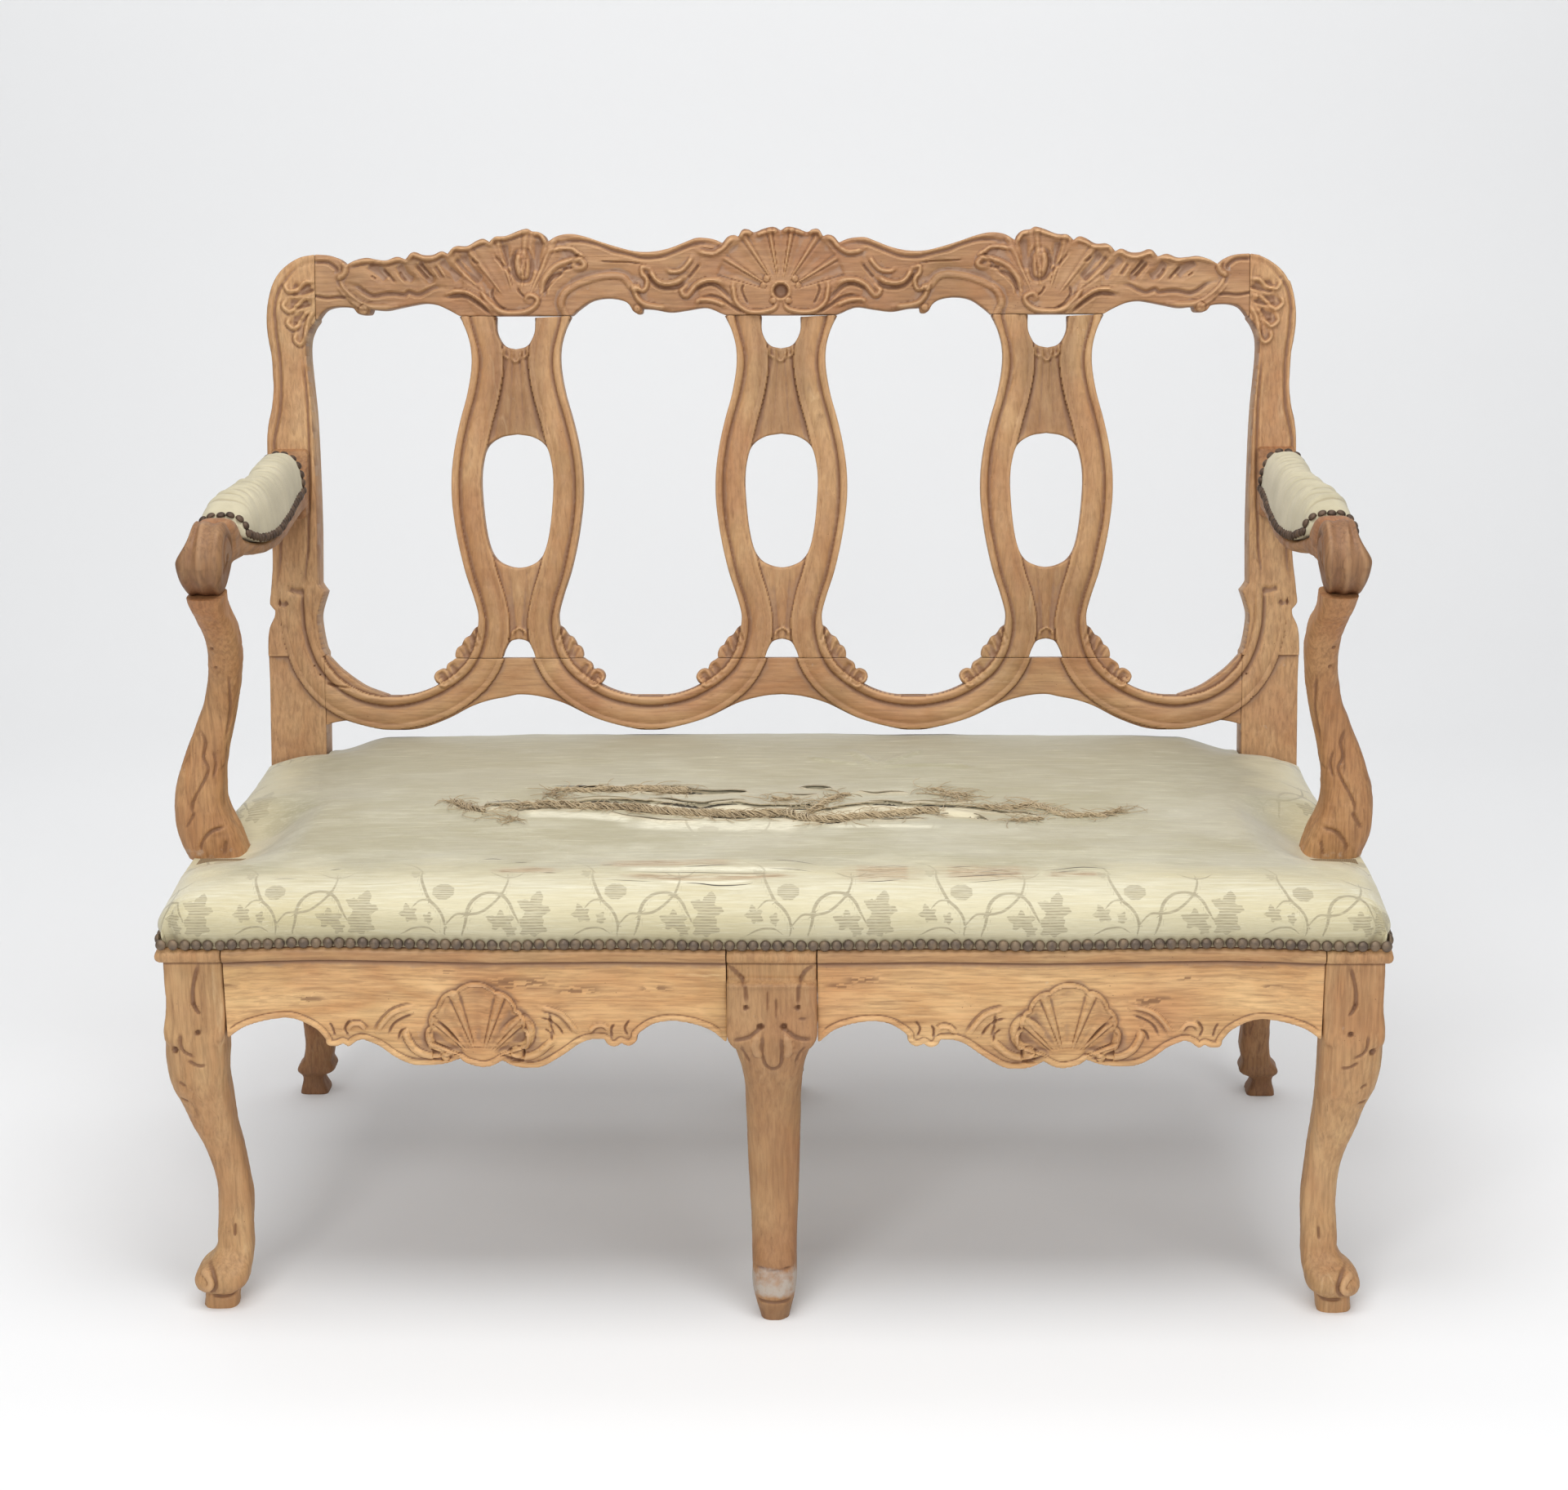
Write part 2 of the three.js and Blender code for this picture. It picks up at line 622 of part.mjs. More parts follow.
function backPost() {
  const across = (s) => postInner + postWidth * s;
  const up = (t) => postTop * t;
  const outer = placed(postOuterShares, across, up);
  const inner = placed(postInnerShares, across, up);
  const outline = [
    new THREE.Vector2(postInner, -boardFootRise), new THREE.Vector2(postOuter, -boardFootRise),
    ...outer,
    new THREE.Vector2(crestHalf, postTop), new THREE.Vector2(crestHalf, crestJoint),
    ...inner,
  ];
  const board = slab(outline, [], postDepth).applyMatrix4(boardPlace);
  const leg = loft(rearLegRings((x0, x1) => [across(x0), across(x1)], 1));
  const block = box(
    new THREE.Vector3(postInner, postFront, railTop - postBlockHeight),
    new THREE.Vector3(postOuter, postBack, railTop + boardFootRise),
  );
  return toGeometry(toSolid(board).add(toSolid(leg)).add(toSolid(block)));
}

function rearCentreLeg() {
  const leg = loft(rearLegRings((x0, x1) => {
    const half = rearBlockWidth * (x1 - x0) / 2;
    return [-half, half];
  }, rearCentreLegSlim));
  const block = box(
    new THREE.Vector3(-rearBlockWidth / 2, postFront, railTop - postBlockHeight),
    new THREE.Vector3(rearBlockWidth / 2, seatBack, railTop),
  );
  return toGeometry(toSolid(leg).add(toSolid(block)));
}

// Back boards: crest, splats and lower rail, drawn in the raked board
function crest() {
  const across = (s) => crestHalf * s;
  const up = (t) => crestJoint + crestHeight * t;
  const halfTop = joinRuns(crestTopRunShares.map((run) => smoothRun(placed(run, across, up), 2)));
  const shoulder = placed(crestEndRunShares, across, up).slice(1);
  const end = crestHalf - jointGap;
  const splatTop = splatHalf * splatTopShare;
  const bays = [[splatTop, splatPitch - splatTop], [splatPitch + splatTop, end]];
  const halfFoot = bays.flatMap(([from, to]) => joinRuns(crestArchRunShares.map((run) => smoothRun(
    placed(run, (s) => lerp(from, to, s), (t) => crestJoint + crestArchRise * t), 2,
  ))));
  const half = [
    ...halfTop, ...shoulder, new THREE.Vector2(end, postTop), ...halfFoot.reverse(),
  ];
  return slab([...half, ...flippedAcross(half.slice(1))], [], crestThickness).applyMatrix4(boardPlace);
}

function splat(centre) {
  const across = (s) => centre + splatHalf * s;
  const low = lowerRailJoint + jointGap;
  const up = (t) => lerp(low, crestJoint - jointGap, t);
  const twoSided = (shares) => {
    const other = shares.map(([s, t]) => [-s, t]).reverse();
    return [...shares, ...other.slice(1)];
  };
  const mirrorAcross = (points) => points.map((p) => new THREE.Vector2(2 * centre - p.x, p.y)).reverse();
  const side = joinRuns(splatSideRunShares.map((run) => smoothRun(placed(run, across, up), 1)));
  const top = smoothRun(placed(twoSided(splatTopNotchShares), across, up), 1);
  const foot = smoothRun(placed(twoSided(splatFootNotchShares), across, up), 1);
  const oval = placed(twoSided(splatOvalShares).slice(0, -1), across, up);
  const outline = [...side, ...foot, ...mirrorAcross(side), ...top.reverse()];
  return slab(outline.reverse(), [oval], splatThickness).applyMatrix4(boardPlace);
}

function lowerRail() {
  const end = postInner - jointGap;
  const splatFoot = splatHalf * splatFootShare;
  const dipLow = lowerRailJoint - lowerRailDip;
  const up = (t) => dipLow + lowerRailDip * t;
  const bayRun = (from, to, runs) => joinRuns(runs.map((run) => smoothRun(
    placed(run, (s) => lerp(from, to, s), up), 1,
  )));
  const farEar = railEarRunShares.map((run) => run.map(([s, t]) => [1 - s, t]).reverse()).reverse();
  const topEdge = [
    new THREE.Vector2(0, lowerRailJoint),
    ...bayRun(splatFoot, splatPitch - splatFoot, [...railEarRunShares, ...farEar]),
    ...bayRun(splatPitch + splatFoot, end, [...railEarRunShares, railPostRunShares]),
  ];
  const wave = (t) => lowerRailLift + lowerRailWave * t;
  const lowEdge = [];
  const lastDip = splatPitch * halfWaves / 2;
  for (let i = 0; i <= halfWaves * waveSteps; i++) {
    const reach = lastDip * i / (halfWaves * waveSteps);
    lowEdge.push(new THREE.Vector2(reach, wave((1 + Math.cos(2 * Math.PI * reach / splatPitch)) / 2)));
  }
  const lastRun = smoothRun(placed(railEndWaveShares, (s) => lerp(lastDip, end, s), wave), 1);
  const half = [...topEdge, ...joinRuns([lowEdge, lastRun]).reverse()];
  const outline = [...half, ...flippedAcross(half.slice(1, -1))];
  return slab(outline, [], lowerRailThickness).applyMatrix4(boardPlace);
}

// Arms: one table of sections serves the rail, its pad, the pad's cover and the nail strips
function armHeight(t, share) {
  return lerp(armJointHeight, armRearHeight, t) + armBlockHeight * share;
}

function armSection(t) {
  const [, x0, x1, z0, z1] = rowAt(armRailShares, t);
  return {
    y: lerp(knuckleSetBack, armRearEnd, t),
    inner: armInner + armWidth * x0,
    outer: armInner + armWidth * x1,
    low: armHeight(t, z0),
    high: armHeight(t, z1),
  };
}

function armRail() {
  const rings = armRailShares.map(([t]) => {
    const { y, inner, outer, low, high } = armSection(t);
    return roundedRing(inner, outer, low, high, armCornerShare, (x, z) => new THREE.Vector3(x, y, z));
  });
  const block = box(
    new THREE.Vector3(armInner, armRearEnd - armBlockDepth, armRearHeight),
    new THREE.Vector3(armInner + armBlockWidth, armRearEnd + cutOverrun, armRearHeight + armBlockHeight),
  );
  const scroll = new THREE.CylinderGeometry(knuckleRadius, knuckleRadius, knuckleWidth, knuckleFacets)
    .rotateZ(Math.PI / 2)
    .translate(knuckleCentre, knuckleSetBack, armJointHeight + knuckleRadius);
  const seat = box(
    new THREE.Vector3(supportInner, knuckleSeatFront, armJointHeight + jointGap),
    new THREE.Vector3(supportInner + knuckleSeatWidth, knuckleSeatFront + knuckleSeatDepth,
      armJointHeight + knuckleRadius),
  );
  const postFace = box(
    new THREE.Vector3(0, 0, -2 * postDepth),
    new THREE.Vector3(2 * postOuter, 2 * postTop, jointGap),
  ).applyMatrix4(boardPlace);
  const whole = toSolid(loft(rings)).add(toSolid(block)).add(toSolid(scroll)).add(toSolid(seat));
  return toGeometry(whole.subtract(toSolid(postFace)));
}

function armSupport() {
  const low = railTop + jointGap;
  return loft(supportShares.map(([t, x0, x1, y0, y1]) => roundedRing(
    supportInner + supportWidth * x0, supportInner + supportWidth * x1,
    supportSetBack + supportDepth * y0, supportSetBack + supportDepth * y1,
    supportCornerShare, (x, y) => new THREE.Vector3(x, y, lerp(low, armJointHeight, t)),
  )));
}

// A domed section over the arm rail: out moves its skin, drop lowers its flat underside
function armPadRing(t, out, drop) {
  const { y, inner, outer, high } = armSection(t);
  const [, top] = rowAt(armPadTopShares, (t - armPadStartShare) / (armPadEndShare - armPadStartShare));
  const base = high + jointGap;
  const middle = (inner + outer) / 2;
  const half = (outer - inner) / 2 + armPadOverhang + out;
  const rise = armHeight(t, top) + out - base;
  const ring = [];
  for (let i = 0; i <= armPadSteps; i++) {
    const turn = Math.PI * i / armPadSteps;
    const across = Math.sign(Math.cos(turn)) * Math.abs(Math.cos(turn)) ** armPadFullness;
    ring.push(new THREE.Vector3(middle + half * across, y, base + rise * Math.sin(turn) ** armPadFullness));
  }
  const left = new THREE.Vector3(middle - half, y, base - drop);
  const right = new THREE.Vector3(middle + half, y, base - drop);
  return drop > 0 ? [...ring, left, right] : ring;
}

function armPadLoft(inset, out, drop) {
  const span = armRearEnd - knuckleSetBack;
  const start = armPadStartShare + inset / span;
  const end = armPadEndShare - inset / span;
  const own = armPadTopShares.map(([s]) => lerp(armPadStartShare, armPadEndShare, s));
  const stations = [...own, ...armRailShares.map(([t]) => t)].filter((t) => t > start && t < end);
  const places = [start, ...stations, end].sort((a, b) => a - b);
  return loft(places.map((t) => armPadRing(t, out, drop)));
}

function armCover() {
  const inside = armPadLoft(coverThickness, -coverThickness, cutOverrun);
  return toGeometry(toSolid(armPadLoft(0, 0, 0)).subtract(toSolid(inside)));
}

function armStuffing() {
  const inset = coverThickness + jointGap;
  return armPadLoft(inset, -inset, 0);
}

function armNailStrip(edge) {
  const start = armPadStartShare + nailEndShare;
  const end = armPadEndShare - nailEndShare;
  const inside = armRailShares.map(([t]) => t).filter((t) => t > start && t < end);
  return loft([start, ...inside, end].map((t) => {
    const { y, inner, outer, high } = armSection(t);
    const face = edge > 0 ? outer : inner;
    const near = face + edge * (armPadOverhang + jointGap);
    const far = near + edge * nailStripRise;
    const base = high + jointGap;
    return [
      [near, base], [far, base + nailStripWidth * nailFlankShare],
      [far, base + nailStripWidth * (1 - nailFlankShare)], [near, base + nailStripWidth],
    ].map(([x, z]) => new THREE.Vector3(x, y, z));
  }));
}

// Seat: rings of its plan, moved outward and placed at a height
function seatRing(outward, height) {
  const widen = (seatHalfWidth + outward) / seatHalfWidth;
  const fade = THREE.MathUtils.clamp(1 + outward / sweepFade, 0, 1);
  const front = seatFrontPlan.map(([x, y]) => new THREE.Vector3(x * widen, y * fade - outward, height));
  const right = sideSteps.map((t) => new THREE.Vector3(
    sideFace(seatBack * t) + outward, lerp(-outward, seatBack + outward, t), height,
  ));
  const rearHalf = sideFace(seatBack) + outward;
  const rear = rearPlanShares.map((s) => new THREE.Vector3(rearHalf * s, seatBack + outward, height));
  const left = right.map((p) => new THREE.Vector3(-p.x, p.y, height)).reverse();
  return [...front, ...right, ...rear, ...left];
}

function seatProfile() {
  const crownLow = coverLow + seatRollHeight;
  const halfDepth = seatBack / 2;
  const roll = seatRollShares.map(([out, up]) => [seatRollOut * out, coverLow + seatRollHeight * up]);
  const crown = seatCrownShares.map(([inset, up]) => [-halfDepth * inset, crownLow + seatCrown * up]);
  return [...roll, ...crown].map(([out, z]) => new THREE.Vector2(out, z));
}

// The same profile, moved inward square to itself
function insetProfile(points, distance) {
  return points.map((p, i) => {
    const before = points[Math.max(0, i - 1)];
    const after = points[Math.min(points.length - 1, i + 1)];
    const along = new THREE.Vector2().subVectors(after, before).normalize();
    return new THREE.Vector2(p.x - along.y * distance, p.y + along.x * distance);
  });
}

function seatDome(profile, low) {
  const kept = profile.filter((p) => p.y > low + coverThickness);
  return loft([seatRing(kept[0].x, low), ...kept.map((p) => seatRing(p.x, p.y))]);
}

function seatCover() {
  const profile = seatProfile();
  const inside = seatDome(insetProfile(profile, coverThickness), coverLow - cutOverrun);
  const outside = loft(profile.map((p) => seatRing(p.x, p.y)));
  return toGeometry(toSolid(outside).subtract(toSolid(inside)));
}

function seatStuffing() {
  return seatDome(insetProfile(seatProfile(), coverStand), stuffingLow);
}

function hessian() {
  return loft([hessianLow, hessianLow + hessianThickness].map((z) => seatRing(-hessianInset, z)));
}

function notchSeat(name) {
  const high = railTop + 4 * seatRollHeight;
  for (const [, side] of sides) {
    cutFrom(name, onSide(box(
      new THREE.Vector3(postInner - notchEase, postFront - notchEase, 0),
      new THREE.Vector3(2 * postOuter, 2 * postBack, high),
    ), side));
    cutFrom(name, onSide(box(
      new THREE.Vector3(supportInner - notchEase, supportSetBack - notchEase, railTop + jointGap),
      new THREE.Vector3(2 * seatHalfWidth, supportSetBack + supportDepth + notchEase, high),
    ), side));
  }
}

// Half-round nail strips on the cover, along the front, the sides and the rear
function nailRing(place) {
  const inner = coverStand + jointGap;
  const outer = inner + nailStripRise;
  const low = coverLow + jointGap;
  return [
    place(inner, low), place(outer, low + nailStripWidth * nailFlankShare),
    place(outer, low + nailStripWidth * (1 - nailFlankShare)), place(inner, low + nailStripWidth),
  ];
}

function frontNails() {
  return loft(seatFrontPlan.map(([x, y]) => nailRing((out, z) => new THREE.Vector3(
    x * (seatHalfWidth + out) / seatHalfWidth, y - out, z,
  ))));
}

function sideNails() {
  const steps = sideSteps.filter((t) => t < sideNailEnd);
  return loft([sideNailStartShare, ...steps, sideNailEnd].map((t) => nailRing((out, z) => new THREE.Vector3(
    sideFace(seatBack * t) + out, lerp(-out, seatBack + out, t), z,
  ))));
}

function rearNails() {
  const reach = postInner - 2 * notchEase;
  return loft([-reach, reach].map((x) => nailRing((out, z) => new THREE.Vector3(x, seatBack + out, z))));
}

// Braces between the legs, and the screws that hold the corner ones
function cornerBrace(corner, railFace, toRear) {
  const gap = toRear * jointGap;
  const y0 = railFace + gap;
  const y1 = corner.y + gap;
  const far = corner.y + toRear * cornerBraceLeg;
  const outline = [
    [corner.x - cornerBraceLeg, y0], [corner.x - jointGap, y0], [corner.x - jointGap, y1],
    [sideInner(corner.y) - sideClearance, y1], [sideInner(far) - sideClearance, far],
  ];
  const high = railTop - cornerBraceDrop;
  const ring = (z) => outline.map(([x, y]) => new THREE.Vector3(x, y, z));
  return loft([high - cornerBraceHeight, high].map(ring));
}

// A solid of revolution from the corner inward, level, at the middle of the brace's height
function alongScrew(profile, corner, toRear) {
  const turned = new THREE.LatheGeometry(profile, screwFacets);
  const aim = new THREE.Vector3(-1, toRear, 0).normalize();
  const turn = new THREE.Quaternion().setFromUnitVectors(new THREE.Vector3(0, 1, 0), aim);
  const height = railTop - cornerBraceDrop - cornerBraceHeight / 2;
  return turned.applyQuaternion(turn).translate(corner.x, corner.y, height);
}

function screwProfile(ease, headReach) {
  const shank = screwShankRadius + ease;
  const head = screwHeadRadius + ease;
  const seat = screwSeat - ease;
  return [
    [0, -screwBite - ease], [shank, -screwBite - ease], [shank, seat], [head, seat], [head, headReach],
    [0, headReach],
  ].map(([x, y]) => new THREE.Vector2(x, y));
}

// Assembly: first every piece, then the joints between them
piece('front_leg_centre', 'frame', wood, centreLeg());
piece('rear_leg_centre', 'frame', bareWood, rearCentreLeg());
const brace = box(
  new THREE.Vector3(-braceWidth / 2, centreBlockDepth - centreBlockProud - braceHousing,
    railTop - braceDrop - braceHeight),
  new THREE.Vector3(braceWidth / 2, postFront + braceHousing, railTop - braceDrop),
);
piece('cross_brace', 'frame', bareWood, brace);
cutFrom('front_leg_centre', grown(brace, jointGap));
cutFrom('rear_leg_centre', grown(brace, jointGap));

piece('crest_rail', 'back', wood, crest());
piece('lower_back_rail', 'back', wood, lowerRail());

const splats = [['left', -splatPitch], ['centre', 0], ['right', splatPitch]];
for (const [place, centre] of splats) {
  const name = `back_splat_${place}`;
  piece(name, 'back', wood, splat(centre));
  for (const edge of [-1, 1]) {
    const top = centre + edge * splatHalf * splatStrandTopShare;
    const foot = centre + edge * splatHalf * splatStrandFootShare;
    joinByTongue(name, 'crest_rail', boardTongue(top, slimTenonWidth, [
      crestJoint - slimTenonDepth, crestJoint + slimTenonDepth], splatThickness), boardPlace);
    joinByTongue(name, 'lower_back_rail', boardTongue(foot, slimTenonWidth, [
      lowerRailJoint - slimTenonDepth, lowerRailJoint + slimTenonDepth], splatThickness), boardPlace);
  }
}

for (const [place, side] of sides) {
  const leg = `front_leg_${place}`;
  const post = `back_post_${place}`;
  const apron = `front_rail_${place}`;
  const flank = `side_rail_${place}`;
  const rear = `rear_rail_${place}`;
  piece(leg, 'frame', wood, onSide(cornerLeg(), side));
  piece(post, 'back', wood, onSide(backPost(), side));
  piece(apron, 'frame', wood, onSide(frontRail(), side));
  piece(flank, 'frame', wood, onSide(sideRail(), side));
  piece(rear, 'frame', bareWood, onSide(box(
    new THREE.Vector3(rearBlockWidth / 2 + jointGap, rearRailFront, railTop - rearRailHeight),
    new THREE.Vector3(postInner - jointGap, seatBack, railTop),
  ), side));

  // Tenons of the seat rails
  const apronMiddle = apronThickness / 2;
  const flankMiddle = sideRailThickness / 2;
  const rearMiddle = (rearRailFront + seatBack) / 2;
  const half = tenonThickness / 2;
  const highZ = railTop - tenonMargin;
  const lowZ = highZ - railTenonHeight;
  const legFlank = sideInner(cornerBlock) + flankMiddle;
  const postFlank = sideInner(postFront) + flankMiddle;
  joinByTongue(apron, leg, sideBox(side,
    new THREE.Vector3(seatInner - tenonRoot, apronMiddle - half, lowZ),
    new THREE.Vector3(seatInner + tenonDepth, apronMiddle + half, highZ)));
  joinByTongue(apron, 'front_leg_centre', sideBox(side,
    new THREE.Vector3(centreBlockHalf - tenonDepth, apronMiddle - half, lowZ),
    new THREE.Vector3(centreBlockHalf + tenonRoot, apronMiddle + half, highZ)));
  joinByTongue(flank, leg, sideBox(side,
    new THREE.Vector3(legFlank - half, cornerBlock - tenonDepth, lowZ),
    new THREE.Vector3(legFlank + half, cornerBlock + tenonRoot, highZ)));
  joinByTongue(flank, post, sideBox(side,
    new THREE.Vector3(postFlank - half, postFront - tenonRoot, lowZ),
    new THREE.Vector3(postFlank + half, postFront + tenonDepth, highZ)));
  joinByTongue(rear, post, sideBox(side,
    new THREE.Vector3(postInner - tenonRoot, rearMiddle - half, railTop - rearRailHeight + tenonMargin),
    new THREE.Vector3(postInner + tenonDepth, rearMiddle + half, highZ)));
  joinByTongue(rear, 'rear_leg_centre', sideBox(side,
    new THREE.Vector3(rearBlockWidth / 2 - slimTenonDepth, rearMiddle - half,
      railTop - rearRailHeight + tenonMargin),
    new THREE.Vector3(rearBlockWidth / 2 + tenonRoot, rearMiddle + half, highZ)));

  // Tenons of the back boards
  joinByTongue('crest_rail', post, boardTongue(
    side * (crestHalf + (tenonDepth - tenonRoot) / 2), tenonDepth + tenonRoot,
    [crestJoint + tenonMargin, postTop - 2 * tenonMargin], crestThickness), boardPlace);
  joinByTongue('lower_back_rail', post, boardTongue(
    side * (postInner + (tenonDepth - tenonRoot) / 2), tenonDepth + tenonRoot,
    [lowerRailLift + 2 * tenonMargin, lowerRailJoint - tenonMargin], lowerRailThickness), boardPlace);

  // Corner braces and their screws
  const corners = [
    ['front', leg, new THREE.Vector2(seatInner, cornerBlock), apronThickness, 1],
    ['rear', post, new THREE.Vector2(postInner, postFront), rearRailFront, -1],
  ];
  for (const [end, held, corner, railFace, toRear] of corners) {
    const block = `corner_brace_${end}_${place}`;
    piece(block, 'frame', bareWood, onSide(cornerBrace(corner, railFace, toRear), side));
    const hole = onSide(alongScrew(screwProfile(jointGap, 2 * cornerBraceLeg), corner, toRear), side);
    const screw = onSide(alongScrew(screwProfile(0, screwSeat + screwHeadHeight), corner, toRear), side);
    cutFrom(block, hole);
    cutFrom(held, hole);
    piece(`brace_screw_${end}_${place}`, 'frame', steel, screw);
  }

  // Arms and their tenons
  const rail = `arm_rail_${place}`;
  const support = `arm_support_${place}`;
  piece(rail, 'arms', wood, onSide(armRail(), side));
  piece(support, 'arms', wood, onSide(armSupport(), side));
  const armMiddle = armInner + armBlockWidth / 2;
  const armMiddleHeight = armRearHeight + armBlockHeight / 2;
  const armTenonHalf = armBlockHeight * armTenonShare / 2;
  joinByTongue(rail, post, sideBox(side,
    new THREE.Vector3(armMiddle - half, armRearEnd - armBlockDepth, armMiddleHeight - armTenonHalf),
    new THREE.Vector3(armMiddle + half, armRearEnd + tenonDepth / 2, armMiddleHeight + armTenonHalf)));
  const headY = knuckleSeatFront + knuckleSeatDepth / 2;
  joinByTongue(support, rail, sideBox(side,
    new THREE.Vector3(knuckleCentre - tenonThickness, headY - tenonThickness, armJointHeight - tenonMargin),
    new THREE.Vector3(knuckleCentre + tenonThickness, headY + tenonThickness, armJointHeight + tenonDepth)));
  const footX = sideInner(supportSetBack) + sideRailThickness / 2;
  const footY = supportSetBack + supportDepth / 2;
  joinByTongue(support, flank, sideBox(side,
    new THREE.Vector3(footX - tenonThickness, footY - 2 * tenonThickness, railTop - tenonDepth),
    new THREE.Vector3(footX + tenonThickness, footY + 2 * tenonThickness, railTop + tenonMargin)));
  piece(`arm_stuffing_${place}`, 'upholstery', hair, onSide(armStuffing(), side));
  piece(`arm_cover_${place}`, 'upholstery', cream, onSide(armCover(), side));
  piece(`arm_nails_inner_${place}`, 'upholstery', bronze, onSide(armNailStrip(-1), side));
  piece(`arm_nails_outer_${place}`, 'upholstery', bronze, onSide(armNailStrip(1), side));

  piece(`seat_nails_${place}`, 'upholstery', bronze, onSide(sideNails(), side));
}

// Webbing: two long straps under six cross straps
longWebShares.forEach((share, i) => {
  const y = seatBack * share;
  const reach = sideInner(y) + webHold;
  piece(`webbing_long_${i + 1}`, 'upholstery', jute, box(
    new THREE.Vector3(-reach, y - webWidth / 2, longWebLow),
    new THREE.Vector3(reach, y + webWidth / 2, longWebLow + webThickness),
  ));
});
[...crossWebShares].reverse().map((s) => -s).concat(crossWebShares).forEach((share, i) => {
  const x = seatInner * share;
  piece(`webbing_cross_${i + 1}`, 'upholstery', jute, box(
    new THREE.Vector3(x - webWidth / 2, apronThickness - webHold, crossWebLow),
    new THREE.Vector3(x + webWidth / 2, rearRailFront + webHold, crossWebLow + webThickness),
  ));
});

piece('hessian', 'upholstery', jute, hessian());
piece('seat_stuffing', 'upholstery', hair, seatStuffing());
piece('seat_cover', 'upholstery', silk, seatCover());
piece('seat_nails_front', 'upholstery', bronze, frontNails());
piece('seat_nails_rear', 'upholstery', bronze, rearNails());
['hessian', 'seat_stuffing', 'seat_cover'].forEach(notchSeat);

// Each mesh is placed by its own middle, in the group that it belongs to
const settee = new THREE.Group();
const groups = new Map();
for (const [name, { group, material, solid }] of pieces) {
  if (!groups.has(group)) {
    groups.set(group, new THREE.Group());
    settee.add(groups.get(group));
  }
  const geometry = toGeometry(solid);
  geometry.computeBoundingBox();
  const middle = geometry.boundingBox.getCenter(new THREE.Vector3());
  geometry.translate(-middle.x, -middle.y, -middle.z);
  const mesh = new THREE.Mesh(geometry, new THREE.MeshStandardMaterial(material));
  mesh.name = name;
  mesh.position.copy(middle);
  groups.get(group).add(mesh);
}

// The origin is on the floor, under the middle of the whole settee
const whole = new THREE.Box3().setFromObject(settee).getCenter(new THREE.Vector3());
settee.position.set(-whole.x, -whole.y, 0);

export default settee;
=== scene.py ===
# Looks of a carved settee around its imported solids.
# Sizes are in millimetres on the drawing boards and metres in the scene.
import math

import bpy
import numpy as np
from mathutils import Matrix, Vector
from mathutils.geometry import tessellate_polygon


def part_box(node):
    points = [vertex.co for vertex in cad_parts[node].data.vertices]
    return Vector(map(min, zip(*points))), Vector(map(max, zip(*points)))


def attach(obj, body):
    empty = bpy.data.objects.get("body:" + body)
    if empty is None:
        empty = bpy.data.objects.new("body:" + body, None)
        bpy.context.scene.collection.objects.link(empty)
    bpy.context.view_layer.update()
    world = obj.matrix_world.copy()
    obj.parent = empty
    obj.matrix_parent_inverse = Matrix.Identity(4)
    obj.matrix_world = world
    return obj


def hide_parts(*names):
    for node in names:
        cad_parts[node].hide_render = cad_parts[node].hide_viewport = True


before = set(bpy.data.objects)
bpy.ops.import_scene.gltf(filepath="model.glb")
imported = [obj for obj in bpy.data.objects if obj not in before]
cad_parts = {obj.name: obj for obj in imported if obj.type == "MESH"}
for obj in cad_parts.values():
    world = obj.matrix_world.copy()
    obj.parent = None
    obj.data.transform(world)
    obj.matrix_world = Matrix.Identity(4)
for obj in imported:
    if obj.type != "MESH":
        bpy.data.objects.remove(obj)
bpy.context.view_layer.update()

# The drawing's origin is the front face of the aprons, on the floor, midway across
MM = 0.001
MOULDING_PROUD = 5.0
APRON_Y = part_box("front_rail_left")[0].y + MOULDING_PROUD * MM
SHIFT = np.array([0.0, APRON_Y, 0.0])
SIDES = (("left", -1), ("right", 1))

# Sizes that the boards and the lofts are drawn from
CARVE_STEP, RAIL_STEP = 1.3, 2.0
RAKE = math.radians(13.0)
BOARD_ORIGIN = np.array([0.0, 494.0, 450.0])
CREST_THICK, SPLAT_THICK, RAIL_THICK, POST_THICK = 29.0, 21.0, 24.0, 46.0
APRON_THICK, SIDE_THICK = 30.0, 42.0
SPLAT_PITCH = 302.0
SEAT_HALF, SEAT_BACK = 617.0, 536.0
RAIL_TOP, RAIL_LID = 434.0, 433.7

# Joints: heights on the raked board, and places across
CREST_FACE, SPLAT_HEAD, SPLAT_END, RAIL_HEAD = 502.3, 501.7, 112.3, 111.7
CREST_END, POST_NECK = 529.7, 530.3
RAIL_CHEEK, POST_CHEEK = 525.7, 526.0
CREST_END_LOW, CREST_END_HIGH = 497.0, 572.0
APRON_ENDS, SIDE_ENDS = (46.3, 555.7), (61.3, 491.7)


# Number helpers
TINY = 1e-9
LATTICE = 64
NOISE_SHIFT = 1000.0


